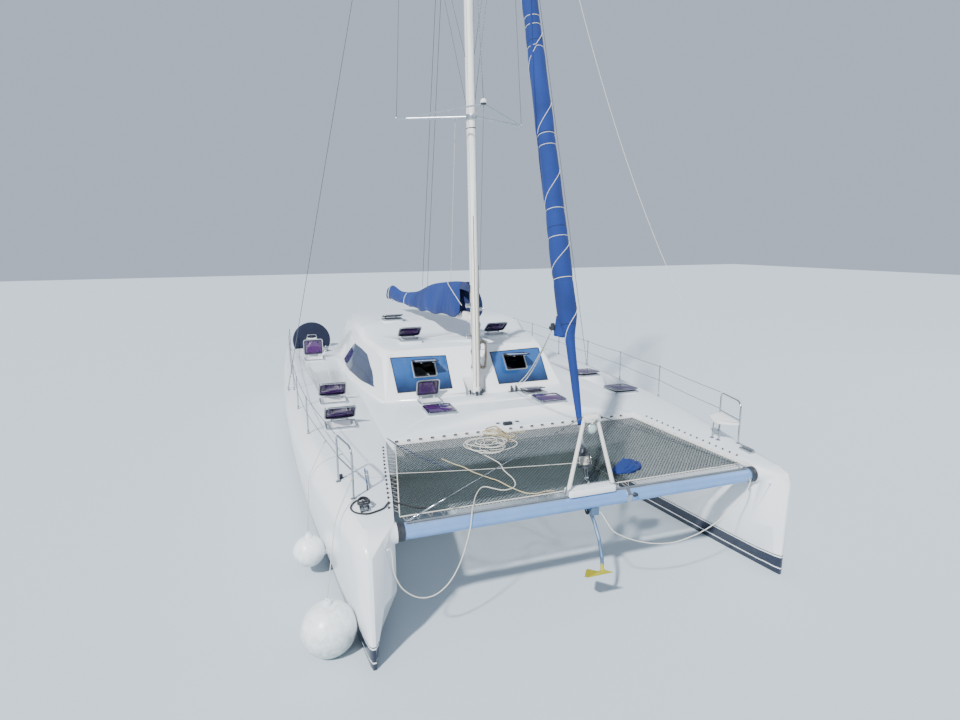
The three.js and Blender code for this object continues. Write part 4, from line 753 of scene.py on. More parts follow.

# net cord: matt grey-green polyester, shifting in broad random patches to a darker grey
net_cord, tree, shader = surface("weathered_polyester_net", {"Roughness": 0.95})
place = add_node(tree, "TexCoord").outputs["Object"]
fade = add_node(tree, "TexNoise", {"Scale": 1.6, "Detail": 5.0}, {"Vector": place})
tone = add_node(tree, "Mix", {"data_type": "RGBA", 6: linear(NET_GREEN_GREY), 7: linear(NET_DARK)},
    {"Factor": fade.outputs["Fac"]})
feed(shader, "Base Color", tone.outputs[2])
twist = add_node(tree, "TexWave", {"Scale": 55.0, "bands_direction": "DIAGONAL"}, {"Vector": place})
bump = add_node(tree, "Bump", {"Strength": 0.5, "Distance": 0.001}, {"Height": twist.outputs["Fac"]})
feed(shader, "Normal", bump.outputs["Normal"])

hull_skins = {side: BVHTree.FromPolygons([v.co for v in nodes[f"hull_{side}"].data.vertices],
        [tuple(p.vertices) for p in nodes[f"hull_{side}"].data.polygons]) for side in ("starboard", "port")}


def deck_height(side, x, y):
    spot = hull_skins[side].ray_cast(Vector((x, y, 4.0)), Vector((0, 0, -1)))[0]
    return spot.z if spot else 1.7


def net_z(y):
    return NET_AFT[2] + (y - NET_AFT[1]) * NET_SLOPE


def net_half(y):
    share = (y - NET_AFT[1]) / (NET_FORE[1] - NET_AFT[1])
    return NET_AFT[0] + share * (NET_FORE[0] - NET_AFT[0])


def strand_ends(offset, slant):
    """Where the bias line x = offset + slant * y crosses the net's edges, or None."""
    fore, aft = NET_FORE[1], NET_AFT[1]
    flare = (NET_FORE[0] - NET_AFT[0]) / (fore - aft)
    low, high = fore, aft
    for sign in (-1, 1):
        slope = sign * slant - flare
        limit = NET_AFT[0] - flare * aft - sign * offset
        if slope > 0:
            high = min(high, limit / slope)
        else:
            low = max(low, limit / slope)
    return (low, high) if high - low > 0.01 else None


net_mesh = bmesh.new()
reach = NET_FORE[0] + 7.0
step = NET_SPACING * sqrt(2)
for slant, rise in ((1, 0.0016), (-1, -0.0016)):
    for k in range(int(-2 * reach / step), int(2 * reach / step)):
        ends = strand_ends(k * step, slant)
        if not ends:
            continue
        low, high = ends
        a = Vector((k * step + slant * low, low, net_z(low) + rise))
        b = Vector((k * step + slant * high, high, net_z(high) + rise))
        axis = (b - a).normalized()
        across = Vector((0, 0, 1)).cross(axis).normalized()
        up = axis.cross(across)
        rings = [[net_mesh.verts.new(end + NET_CORD / 2 * (cos(t) * across + sin(t) * up))
                  for t in [pi / 3 * j for j in range(6)]] for end in (a, b)]
        for j in range(6):
            net_mesh.faces.new(
                (rings[0][j], rings[0][(j + 1) % 6], rings[1][(j + 1) % 6], rings[1][j])).smooth = True
        net_mesh.faces.new(list(reversed(rings[0])))
        net_mesh.faces.new(rings[1])
net = dress(made("trampoline_net", net_mesh), net_cord)
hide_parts("trampoline")


def edge_rope(name, corners, radius, closed=True):
    points = []
    for a, b in zip(corners, [*corners[1:], corners[0]] if closed else corners[1:]):
        points += [Vector(a).lerp(Vector(b), j / 24) for j in range(24)]
    points.append(Vector(corners[0] if closed else corners[-1]))
    return tube(name, points, radius, 8, 0.06)


border = [(side * (edge[0] - 0.012), edge[1] + inward * 0.012, edge[2] + 0.008)
    for side, edge, inward in ((-1, NET_AFT, -1), (1, NET_AFT, -1), (1, NET_FORE, 1), (-1, NET_FORE, 1))]
border_rope = dress(edge_rope("net_border_rope", border, BORDER_ROPE / 2), rope_white)

HULL_INNER = [(-6.95, 2.81), (-6.7, 2.62), (-6.1, 2.53), (-5.0, 2.39), (-4.15, 2.27)]


def inner_edge(y):
    for (ya, xa), (yb, xb) in zip(HULL_INNER, HULL_INNER[1:]):
        if ya <= y <= yb:
            return xa + (xb - xa) * (y - ya) / (yb - ya)
    return HULL_INNER[-1][1]


lacing_routes, buttons = [], []
for sign in (-1, 1):
    route = []
    side = "port" if sign > 0 else "starboard"
    for k in range(BUTTONS_A_SIDE):
        y = LACED_FORE + (k + 0.5) * (LACED_AFT - LACED_FORE) / BUTTONS_A_SIDE
        deck_edge = inner_edge(y)
        deck = deck_height(side, sign * (deck_edge + 0.06), y)
        half_step = 0.5 * (LACED_AFT - LACED_FORE) / BUTTONS_A_SIDE
        button = Vector((sign * (deck_edge + 0.052), y, deck + 0.008))
        buttons.append(button)
        route += [(sign * (net_half(y - half_step) - 0.012), y - half_step, net_z(y - half_step) + 0.004),
            (sign * (deck_edge - 0.008), y - 0.1 * half_step, deck - 0.03),
            (sign * (deck_edge + 0.02), y, deck + 0.006),
            (sign * (deck_edge + 0.066), y + 0.008, deck + 0.01),
            (sign * (deck_edge + 0.02), y + 0.016, deck + 0.006),
            (sign * (deck_edge - 0.008), y + 0.016 + 0.1 * half_step, deck - 0.03)]
    lacing_routes.append(route)
aft_route = []
for k in range(44):
    x = -2.1 + 4.2 * k / 43
    aft_route.append((x, -4.312, NET_AFT[2] + 0.004) if k % 2 else (x, -4.163, NET_AFT[2] + 0.012))
lacing_routes.append(aft_route)
for sign in (-1, 1):
    route = []
    for k in range(16):
        x = sign * (0.1 + 2.33 * k / 15)
        route += [(x, NET_FORE[1] + 0.012, NET_FORE[2] + 0.004), (x + sign * 0.03, -6.5985, 1.56),
            (x + sign * 0.06, NET_FORE[1] + 0.012, NET_FORE[2] + 0.004)]
    lacing_routes.append(route)
laces = [tube("lace", [Vector(p) for p in route], LACE_RADIUS, 6) for route in lacing_routes]
dress(joined("net_lacing", laces), rope_white)
hardware = []
for place in buttons:
    hardware.append(spun("button", [(0, -0.012), (0.013, -0.012), (0.013, -0.006), (0.008, -0.002),
                (0.008, 0.006), (0.014, 0.009), (0.012, 0.015), (0, 0.017)], Matrix.Translation(place), 14))
for k in range(22):
    x = -2.1 + 4.2 * (2 * k) / 43
    hardware.append(block("pad", (0.052, 0.012, 0.03), at(x, -4.156, NET_AFT[2] + 0.012), 0.004))
dress(joined("net_buttons", hardware), black_sealant)


# Crossbeam. A fluted tube of silver anodised aluminium joins the bows, with a black cast collar bolted on
# at each hull, a T-track along its top, a clamp with a black knob, and a welded eye for the bridle's port
# leg.
BEAM_Y, BEAM_Z, BEAM_RADIUS = -6.7, 1.49, 0.098
BEAM_END = 2.6
COLLAR_START = 2.51
FLUTES = 30
FLUTE_DEPTH = 0.0028
CLAMP_X = (0.457, 0.519)
BOLT = [(0, 0), (0.0075, 0), (0.0075, 0.004), (0.0055, 0.0062), (0, 0.0066)]

# silver anodised extrusion: satin metal tinted blue as a painted sky reflection, with fine lengthwise die lines
# and dull weathered patches
beam_aluminium = mottled("silver_extrusion_painted_sky_blue", "#9CBFEC", "#6E9DDA", {"Metallic": 0.45}, 0.35,
    0.003, 0.0002, (0.24, 0.4))
# cast fittings: black-coated cast aluminium, slightly orange-peeled and dusty
cast_black = mottled("black_coated_casting", "#2A2E35", "#43484F", {"Metallic": 0.3}, 0.06, 0.004, 0.0004,
    (0.35, 0.55))


def repeated(name, piece, places):
    """One piece made of copies of a small one, one at each place."""
    shape = bmesh.new()
    for place in places:
        one = piece.data.copy()
        one.transform(place)
        shape.from_mesh(one)
        bpy.data.meshes.remove(one)
    shape.to_mesh(piece.data)
    shape.free()
    piece.name = piece.data.name = name
    return piece


beam_place = along((-BEAM_END, BEAM_Y, BEAM_Z), (BEAM_END, BEAM_Y, BEAM_Z))
fluted = []
for k in range(FLUTES):
    for share, depth in ((0.0, 0.0), (0.62, 0.0), (0.72, FLUTE_DEPTH), (0.9, FLUTE_DEPTH)):
        angle = 2 * pi * (k + share) / FLUTES
        fluted.append(((BEAM_RADIUS - depth) * cos(angle), (BEAM_RADIUS - depth) * sin(angle)))
beam = dress(slab("crossbeam_tube", fluted, 0.0, 2 * BEAM_END, beam_place, 0.0, 0.0), beam_aluminium)
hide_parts("crossbeam")
track_outline = [(-0.034, 0.092), (0.034, 0.092), (0.034, 0.099), (0.01, 0.1), (0.01, 0.104),
    (0.017, 0.105), (0.017, 0.11), (-0.017, 0.11), (-0.017, 0.105), (-0.01, 0.104), (-0.01, 0.1),
    (-0.034, 0.099)]
track = slab("beam_track", track_outline, 0.12, 2 * BEAM_END - 0.12, beam_place, 0.0, 0.0)
track_bolts = repeated("track_bolts", spun("bolt", BOLT, None, 6), [
    at(-2.4 + 0.2 * k, BEAM_Y + side * 0.025, BEAM_Z + 0.099) @ Matrix.Scale(0.7, 4)
    for k in range(25) for side in (-1, 1)])
dress(joined("crossbeam_track", [track, track_bolts]), satin_aluminium)
collar_profile = [(0.0955, 0), (0.109, 0), (0.112, 0.003), (0.112, 0.03), (0.1085, 0.034), (0.1085, 0.056),
                  (0.112, 0.06), (0.112, 0.087), (0.109, 0.09), (0.0955, 0.09)]
for side, sign in SIDES:
    collar_place = along((sign * COLLAR_START, BEAM_Y, BEAM_Z), (sign * BEAM_END, BEAM_Y, BEAM_Z))
    collar = spun("collar", collar_profile, collar_place, 48)
    heads = repeated("heads", spun("bolt", BOLT, None, 6), [
        collar_place @ turned(30 + 45 * k, "Z") @ at(0.1075, 0, 0.045)
        @ turned(90, "Y") for k in range(8)])
    dress(joined(f"beam_collar_{side}", [collar, heads]), cast_black)
clamp_place = along((CLAMP_X[0], BEAM_Y, BEAM_Z), (CLAMP_X[1], BEAM_Y, BEAM_Z))
clamp_width = CLAMP_X[1] - CLAMP_X[0]
band = spun("band", [(0.0965, 0), (0.103, 0), (0.105, 0.002), (0.105, clamp_width - 0.002),
        (0.103, clamp_width), (0.0965, clamp_width)], clamp_place, 48)
lug = block("lug", (clamp_width, 0.03, 0.04), at(sum(CLAMP_X) / 2, BEAM_Y - 0.104, BEAM_Z + 0.03), 0.006)
dress(joined("beam_clamp_band", [band, lug]), polished_stainless)
knob_place = along((CLAMP_X[1] + 0.045, BEAM_Y - 0.092, BEAM_Z + 0.03),
    (CLAMP_X[1] + 0.045, BEAM_Y - 0.16, BEAM_Z + 0.056))
knob = spun("beam_clamp_knob", [(0, 0), (0.03, 0), (0.033, 0.006), (0.03, 0.014), (0.017, 0.022),
        (0.014, 0.036), (0.022, 0.042), (0.024, 0.052), (0.018, 0.06), (0, 0.062)], knob_place, 20)
dress(knob, cast_black)
eye_stem = spun("stem", [(0, 0), (0.018, 0), (0.018, 0.006), (0.0095, 0.012), (0.0095, 0.038), (0, 0.04)],
                along((2.42, BEAM_Y - 0.094, BEAM_Z), (2.42, BEAM_Y - 0.14, BEAM_Z)), 16)
eye_ring = spun("ring", ring_profile(0.017, 0.0055, 8),
                at(2.42, BEAM_Y - 0.148, BEAM_Z - 0.002) @ turned(90, "Y"), 20)
dress(joined("beam_eye_bolt", [eye_stem, eye_ring]), polished_stainless)

# Striker. Two white-coated tubes make an A-frame on the beam over a moulded locker box. A plate joins their
# tops, a round lamp hangs under it, and a wire stay with a bottle screw runs down to each end of the beam.
STRIKER_FOOT, STRIKER_TOP = 0.341, 0.084
STRIKER_FOOT_X, STRIKER_TOP_X = -0.04, -0.08
STRIKER_BOX_TOP, STRIKER_FOOT_Z, STRIKER_PLATE_Z = 1.68, 1.616, 2.64
STAY_TOP = (0.09, -6.7, 2.65)
STAY_END = (2.45, -6.7, 1.622)
LENS_GREEN = "#BFD8C8"

# white two-part paint on tube: gloss gone soft, cream where it has yellowed
white_coating = mottled("white_painted_tube", "#F2EFE6", "#DDD8CA", {"Coat Weight": 0.15}, 0.22, 0.005,
    0.0002, (0.3, 0.45))
# lamp lens: pale green pressed glass over a white reflector
lens_glass = mottled("pale_green_lamp_glass", LENS_GREEN, "#9FBFAE", {"Coat Weight": 0.8, "IOR": 1.5}, 0.03,
    0.008, 0.001, (0.08, 0.18))
# rigging wire: 1x19 stainless strand, its lay drawn coarse so that it shows
rigging_wire, tree, shader = surface("stainless_rigging_wire",
    {"Metallic": 0.5, "Roughness": 0.3, "Base Color": linear("#5E656D")})
wire_uv = add_node(tree, "TexCoord").outputs["UV"]
wire_split = add_node(tree, "SeparateXYZ", links={"Vector": wire_uv})
wire_turns = add_node(tree, "Math", {"operation": "MULTIPLY_ADD", 1: 4.0},
    {0: wire_split.outputs["Y"], 2: wire_split.outputs["X"]})
wire_ridge = add_node(tree, "Math", {"operation": "PINGPONG", 1: 0.5}, {0: wire_turns.outputs[0]})
wire_tone = add_node(tree, "MapRange", {"To Min": 0.22, "To Max": 0.45}, {"Value": wire_ridge.outputs[0]})
feed(shader, "Roughness", wire_tone.outputs[0])
wire_bump = add_node(tree, "Bump", {"Strength": 0.5, "Distance": 0.002}, {"Height": wire_ridge.outputs[0]})
feed(shader, "Normal", wire_bump.outputs["Normal"])


def between(start, end, share):
    return Vector(start).lerp(Vector(end), share)


def straight(start, end, steps):
    """Evenly spaced points from start to end."""
    return [between(start, end, j / steps) for j in range(steps + 1)]


def bottle_screw(name, start, end, barrel):
    """A rigging screw from its jaw at the start to the wire's terminal at the end."""
    run = (Vector(end) - Vector(start)).length
    profile = [(0.0, 0.0), (0.5, 0.0), (0.5, 0.14), (0.8, 0.16), (1.0, 0.19), (1.0, 0.24), (0.84, 0.26),
        (0.84, 0.62), (1.0, 0.64), (1.0, 0.69), (0.8, 0.72), (0.5, 0.74), (0.5, 0.84), (0.66, 0.85),
        (0.6, 0.99), (0.0, 1.0)]
    screw = spun("screw", [(r * barrel, s * run) for r, s in profile], along(start, end), 16)
    place = along(start, end)
    cheeks = [block("cheek", (0.4 * barrel, 1.7 * barrel, 4.2 * barrel),
                    place @ at(k * barrel * 0.9, 0, 0.4 * barrel), 0.002) for k in (-1, 1)]
    pin = spun("pin", [(0, -1.6 * barrel), (0.42 * barrel, -1.6 * barrel), (0.42 * barrel, 1.6 * barrel),
            (0, 1.6 * barrel)], place @ at(0, 0, -0.8 * barrel) @ turned(90, "Y"), 12)
    return joined(name, [screw, *cheeks, pin])


box = slab("striker_locker_box", [(-0.34, -0.092), (0.34, -0.092), (0.34, 0.092), (-0.34, 0.092)], 1.601,
    STRIKER_BOX_TOP - 0.004, at(STRIKER_FOOT_X, -6.6825, 0), 0.03, 0.008)
lid_line = slab("striker_box_lid", [(-0.326, -0.078), (0.326, -0.078), (0.326, 0.078), (-0.326, 0.078)],
    STRIKER_BOX_TOP - 0.006, STRIKER_BOX_TOP + 0.004, at(STRIKER_FOOT_X, -6.6825, 0), 0.026, 0.003)
dress(joined("striker_box", [box, lid_line]), deck_gelcoat)
legs = []
for sign in (-1, 1):
    foot = (STRIKER_FOOT_X + sign * STRIKER_FOOT, BEAM_Y, STRIKER_FOOT_Z - 0.006)
    head = (STRIKER_TOP_X + sign * STRIKER_TOP, BEAM_Y, STRIKER_PLATE_Z + 0.005)
    legs.append(tube("leg", straight(foot, head, 10), [0.028 - 0.0004 * j for j in range(11)], 28))
plate = slab("plate", [(-0.108, -0.06), (0.108, -0.06), (0.108, 0.06), (-0.108, 0.06)], 2.612, 2.663,
             at(STRIKER_TOP_X, BEAM_Y, 0), 0.04, 0.004)
hanger = block("hanger", (0.016, 0.014, 0.15), at(STRIKER_TOP_X, BEAM_Y - 0.044, 2.565), 0.003)
striker = dress(joined("striker_frame", [*legs, plate, hanger]), white_coating)
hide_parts("beam_striker")
fittings = []
for sign in (-1, 1):
    foot = (STRIKER_FOOT_X + sign * STRIKER_FOOT, BEAM_Y, STRIKER_FOOT_Z)
    head = (STRIKER_TOP_X + sign * STRIKER_TOP, BEAM_Y, STRIKER_PLATE_Z - 0.026)
    fittings.append(spun("socket", [(0.0275, 0), (0.046, 0), (0.046, 0.008), (0.038, 0.014), (0.038, 0.09),
                (0.034, 0.096), (0.0275, 0.096)], along(foot, head), 28))
    fittings.append(spun("weld", [(0.0235, -0.052), (0.029, -0.05), (0.03, -0.044), (0.024, -0.04)],
                         along(head, (head[0] + head[0] - foot[0], BEAM_Y, head[2] + head[2] - foot[2])), 24))
fittings.append(repeated("bolts", spun("bolt", BOLT, None, 6), [
    at(STRIKER_TOP_X + x, BEAM_Y + y, 2.6625) for x in (-0.085, 0.085) for y in (-0.04, 0.04)]))
fittings.append(repeated("bolts", spun("bolt", BOLT, None, 6),
        [at(STRIKER_FOOT_X + x, BEAM_Y + y, STRIKER_BOX_TOP + 0.003) for x in (-0.28, -0.15, 0.15, 0.28)
            for y in (-0.045, 0.082)]))
dress(joined("striker_sockets", fittings), satin_aluminium)
lamp_place = along((STRIKER_TOP_X, BEAM_Y - 0.022, 2.49), (STRIKER_TOP_X, BEAM_Y - 0.072, 2.49))
lamp_body = spun("striker_lamp_body", [(0, 0), (0.044, 0), (0.058, 0.006), (0.063, 0.014), (0.064, 0.028),
        (0.06, 0.033), (0.053, 0.033), (0.051, 0.024), (0, 0.022)], lamp_place, 36)
dress(lamp_body, satin_aluminium)
lens = spun("striker_lamp_lens", [(0, 0.02), (0.052, 0.024), (0.051, 0.03), (0.04, 0.036), (0.022, 0.04),
        (0, 0.0412)], lamp_place, 36)
dress(lens, lens_glass)
# side, where its bottle screw starts and ends as shares of the stay, its barrel's radius
STAY_SCREWS = [("starboard", -1, 0.8, 0.985, 0.0125), ("port", 1, 0.925, 0.985, 0.012)]
for side, sign, near, far, barrel in STAY_SCREWS:
    top = (STRIKER_TOP_X + sign * STAY_TOP[0], STAY_TOP[1], STAY_TOP[2])
    end = (sign * STAY_END[0], STAY_END[1], STAY_END[2])
    wire = tube(f"striker_stay_{side}", [between(top, end, near * j / 12) for j in range(13)], 0.0054, 10,
        0.03)
    dress(wire, rigging_wire)
    screw = bottle_screw("screw", between(top, end, far), between(top, end, near), barrel)
    pad = block("pad", (0.056, 0.05, 0.008), at(sign * 2.45, BEAM_Y, 1.6035), 0.002)
    fin = block("fin", (0.04, 0.01, 0.03), at(sign * 2.45, BEAM_Y, 1.618), 0.003)
    shackle = spun("shackle", both_ways([(0, 0.012), (0.007, 0.012)]),
                   at(STRIKER_TOP_X + sign * 0.098, BEAM_Y, 2.6475) @ turned(90, "X"), 14)
    dress(joined(f"striker_stay_screw_{side}", [screw, pad, fin, shackle]), polished_stainless)

# Furled headsail. The sail is rolled round an aluminium foil on the forestay, its royal-blue canvas edge
# strip outermost, and white cord is lashed round it. Below it is the furling drum on its link plates, wound
# with line.
STAY_FOOT = Vector((-0.05, -6.6, 1.705))
STAY_HEAD = Vector((0.0, -1.427, 17.9))
STAY_PER_HEIGHT = (STAY_HEAD - STAY_FOOT).length / (STAY_HEAD.z - STAY_FOOT.z)
# height, radius of the roll
ROLL = [(2.42, 0.026), (2.5, 0.038), (2.9, 0.053), (3.3, 0.061), (3.56, 0.072), (3.72, 0.108),
    (3.86, 0.132), (4.3, 0.14), (4.7, 0.14), (6.5, 0.126), (9.5, 0.108), (13.0, 0.084), (16.4, 0.054),
    (16.62, 0.026)]
CANVAS_BLUE, CANVAS_NAVY = "#143C8C", "#0B1E50"
CANVAS_THREAD = 0.006
LASHING_CORD = 0.0095
# height, turns wound so far: two close values of height are a level turn
LASHING = [(3.5, 0.0), (4.3, 0.85), (4.32, 1.85), (4.84, 2.5), (4.86, 3.5), (5.22, 3.9), (5.24, 4.9),
    (6.08, 5.75), (6.1, 6.75), (6.24, 7.0), (6.27, 8.0), (7.45, 9.2), (7.47, 10.2), (7.75, 10.5),
    (7.77, 11.5), (7.88, 11.7), (7.9, 12.7), (9.2, 14.0), (9.22, 15.0), (10.8, 16.4), (10.82, 17.4),
    (12.5, 18.9), (12.52, 19.9), (14.2, 21.4), (14.22, 22.4), (15.8, 23.8), (15.82, 24.8)]
CINCHED_AT = [low[0] for low, high in zip(LASHING, LASHING[1:]) if high[0] - low[0] < 0.04]
stay_place = along(STAY_FOOT, STAY_HEAD)


def woven(name, light, dark, thread, panel=0.0, patch=0.9, crease=0.006, space="UV"):
    """Canvas on the UV map in metres, or in Object space: plain weave drawn coarse, sun-faded patches and
    small creases, with a sewn seam at the end of each panel where a panel length is given."""
    material, tree, shader = surface(name, {"Roughness": 0.88, "Sheen Weight": 0.05, "Sheen Roughness": 0.45})
    coords = add_node(tree, "TexCoord")
    fade = add_node(tree, "TexNoise", {"Scale": 1 / patch, "Detail": 5.0, "Distortion": 0.5},
        {"Vector": coords.outputs["Object"]})
    colour = add_node(tree, "Mix", {"data_type": "RGBA", 6: linear(light), 7: linear(dark)},
        {"Factor": fade.outputs["Fac"]})
    top = colour.outputs[2]
    if panel:
        split = add_node(tree, "SeparateXYZ", links={"Vector": coords.outputs["UV"]})
        run = add_node(tree, "Math", {"operation": "MULTIPLY", 1: 1 / panel}, {0: split.outputs["Y"]})
        part = add_node(tree, "Math", {"operation": "FRACT"}, {0: run.outputs[0]})
        seam = add_node(tree, "Math", {"operation": "LESS_THAN", 1: 0.014 / panel}, {0: part.outputs[0]})
        sewn = add_node(tree, "Mix", {"data_type": "RGBA", 7: linear(dark)},
            {"Factor": seam.outputs[0], 6: top})
        top = sewn.outputs[2]
    feed(shader, "Base Color", top)
    warp = add_node(tree, "TexWave", {"Scale": 0.314 / thread, "bands_direction": "X"},
        {"Vector": coords.outputs[space]})
    weft = add_node(tree, "TexWave", {"Scale": 0.314 / thread, "bands_direction": "Y"},
        {"Vector": coords.outputs[space]})
    weave = add_node(tree, "Math", {"operation": "MAXIMUM"}, {0: warp.outputs["Fac"], 1: weft.outputs["Fac"]})
    folds = add_node(tree, "TexNoise", {"Scale": 8.0, "Detail": 3.0, "Distortion": 1.4},
        {"Vector": coords.outputs["Object"]})
    soft = add_node(tree, "Bump", {"Strength": 0.7, "Distance": crease}, {"Height": folds.outputs["Fac"]})
    fine = add_node(tree, "Bump", {"Strength": 0.3, "Distance": 0.0008},
        {"Height": weave.outputs[0], "Normal": soft.outputs["Normal"]})
    feed(shader, "Normal", fine.outputs["Normal"])
    return material


royal_canvas = woven("royal_blue_acrylic_canvas", CANVAS_BLUE, CANVAS_NAVY, CANVAS_THREAD, 1.35)


def eased(table, x):
    """A smooth curve through a table of (place, value)."""
    k = max(0, min(len(table) - 2, sum(1 for row in table if row[0] <= x) - 1))
    slopes = []
    for j in (k, k + 1):
        before, after = table[max(j - 1, 0)], table[min(j + 1, len(table) - 1)]
        slopes.append((after[1] - before[1]) / (after[0] - before[0]))
    (x0, y0), (x1, y1) = table[k], table[k + 1]
    span = x1 - x0
    t = max(0.0, min(1.0, (x - x0) / span))
    return ((2 * t ** 3 - 3 * t ** 2 + 1) * y0 + (t ** 3 - 2 * t ** 2 + t) * span * slopes[0]
            + (3 * t ** 2 - 2 * t ** 3) * y1 + (t ** 3 - t ** 2) * span * slopes[1])


def cloth(name, rows, thickness=0.003, offset=-1.0):
    """A sheet through rows of points, its UV map in metres, with a thickness. Also returns its flat area."""
    mesh = bmesh.new()
    layer = mesh.loops.layers.uv.new("UVMap")
    grid = [[mesh.verts.new(p) for p in row] for row in rows]
    middle = len(rows[0]) // 2
    down, across = [0.0], []
    for a, b in zip(rows, rows[1:]):
        down.append(down[-1] + (b[middle] - a[middle]).length)
    for row in rows:
        run = [0.0]
        for a, b in zip(row, row[1:]):
            run.append(run[-1] + (b - a).length)
        across.append([r - run[middle] for r in run])
    for i in range(len(rows) - 1):
        for k in range(len(rows[0]) - 1):
            corners = [(i, k), (i, k + 1), (i + 1, k + 1), (i + 1, k)]
            face = mesh.faces.new([grid[a][b] for a, b in corners])
            face.smooth = True
            for loop, (a, b) in zip(face.loops, corners):
                loop[layer].uv = (across[a][b], down[a])
    area = sum(face.calc_area() for face in mesh.faces)
    piece = made(name, mesh)
    if thickness:
        bpy.context.view_layer.objects.active = piece
        wall = piece.modifiers.new("wall", "SOLIDIFY")
        wall.thickness = thickness
        wall.offset = offset
        bpy.ops.object.modifier_apply(modifier="wall")
    return piece, area


def on_stay(z, radius=0.0, turn=0.0):
    """A point by the forestay at this height. Turns run from starboard by the bow to port."""
    angle = 2 * pi * turn
    return stay_place @ Vector((radius * cos(angle), radius * sin(angle),
            (z - STAY_FOOT.z) * STAY_PER_HEIGHT))


def roll_radius(z, turn):
    """How far the roll's skin stands from the stay, with its spiral step, creases and cinched turns."""
    wound = (turn - 0.48 - 0.12 * (z - 2.42)) % 1.0
    angle = 2 * pi * turn
    crease = noise.noise(Vector((1.6 * cos(angle), 1.6 * sin(angle), 1.9 * z))) * 0.055
    crease += 0.016 * sin(2 * pi * (2 * turn + 1.15 * z)) + 0.01 * sin(2 * pi * (3 * turn - 2.3 * z))
    cinch = sum(exp(-((z - level) / 0.045) ** 2) for level in CINCHED_AT) * 0.06
    return eased(ROLL, z) * (0.955 + 0.075 * wound + crease - cinch)


roll_rows = []
for i in range(221):
    z = ROLL[0][0] + (ROLL[-1][0] - ROLL[0][0]) * i / 220
    start = 0.48 + 0.12 * (z - 2.42)
    row = []
    for k in range(45):
        turn = start + 0.9999 * k / 42
        lap = 0.075 * eased(ROLL, z) if k > 42 else 0.0
        row.append(on_stay(z, roll_radius(z, turn) + lap, turn))
    roll_rows.append(row)
headsail, roll_area = cloth("furled_headsail", roll_rows, 0.006)
dress(headsail, royal_canvas)
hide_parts("headsail")

lashing_points = []
for (z0, turn0), (z1, turn1) in zip(LASHING, LASHING[1:]):
    steps = max(8, int(28 * (turn1 - turn0)))
    for j in range(steps):
        z, turn = z0 + (z1 - z0) * j / steps, turn0 + (turn1 - turn0) * j / steps
        lashing_points.append(on_stay(z, roll_radius(z, turn) + LASHING_CORD * 0.3, turn))
lashing = dress(tube("headsail_lashing", lashing_points, LASHING_CORD / 2, 6), rope_white)

foil_points = [on_stay(z) for z in (2.146, 2.3, 6.0, 11.0, 16.7, 16.72, 17.895)]
foil = tube("headsail_foil", foil_points, [0.021, 0.021, 0.02, 0.019, 0.018, 0.012, 0.012], 20)
dress(foil, satin_aluminium)


def on_axis(profile):
    """A profile given by (radius, height) made one of (radius, length along the stay)."""
    return [(r, (z - STAY_FOOT.z) * STAY_PER_HEIGHT) for r, z in profile]


swivel = spun("swivel",
    on_axis([(0.02, 16.76), (0.036, 16.765), (0.04, 16.78), (0.04, 16.815), (0.03, 16.825), (0.03, 16.85),
            (0.04, 16.86), (0.04, 16.895), (0.034, 16.905), (0.02, 16.905)]), stay_place, 28)
drum = spun("drum",
    on_axis([(0.0, 1.892), (0.07, 1.892), (0.094, 1.897), (0.096, 1.902), (0.096, 1.912), (0.092, 1.916),
            (0.04, 1.92), (0.034, 1.93), (0.034, 2.036), (0.04, 2.044), (0.092, 2.048), (0.096, 2.052),
            (0.096, 2.062), (0.092, 2.067), (0.064, 2.072), (0.06, 2.08), (0.052, 2.11), (0.036, 2.136),
            (0.03, 2.14), (0.0, 2.14)]), stay_place, 36)
cage = [tube("post", [on_stay(z, 0.088, k / 6 + 0.08) for z in (1.912, 1.98, 2.052)], 0.0055, 8)
    for k in range(6)]
gear = dress(joined("furling_drum", [drum, swivel]), cast_black)
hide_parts("furler_drum")
dress(joined("furling_drum_cage", cage), polished_stainless)
line_points = []
for j in range(14 * 20 + 1):
    z = 1.925 + 0.112 * j / 280
    line_points.append(on_stay(z, 0.054 + 0.006 * sin(0.9 * j / 20 + 0.4), j / 20))
line_points += [on_stay(2.036 - 0.09 * j / 120, 0.066, j / 20) for j in range(121)]
dress(tube("furling_line_turns", line_points, 0.0046, 6), rope_white)
link_middle = (1.822 - STAY_FOOT.z) * STAY_PER_HEIGHT
links = [block("link", (0.006, 0.038, 0.165), stay_place @ at(k * 0.019, 0, link_middle), 0.002)
    for k in (-1, 1)]
links += [spun("pin", both_ways([(0, 0.028), (0.008, 0.028)]),
               stay_place @ at(0, 0, link_middle + k * 0.066) @ turned(90, "Y"), 12)
          for k in (-1, 1)]
links.append(block("toggle", (0.028, 0.08, 0.05), at(STAY_FOOT.x, STAY_FOOT.y - 0.01, 1.711), 0.005))
dress(joined("forestay_link_plates", links), polished_stainless)

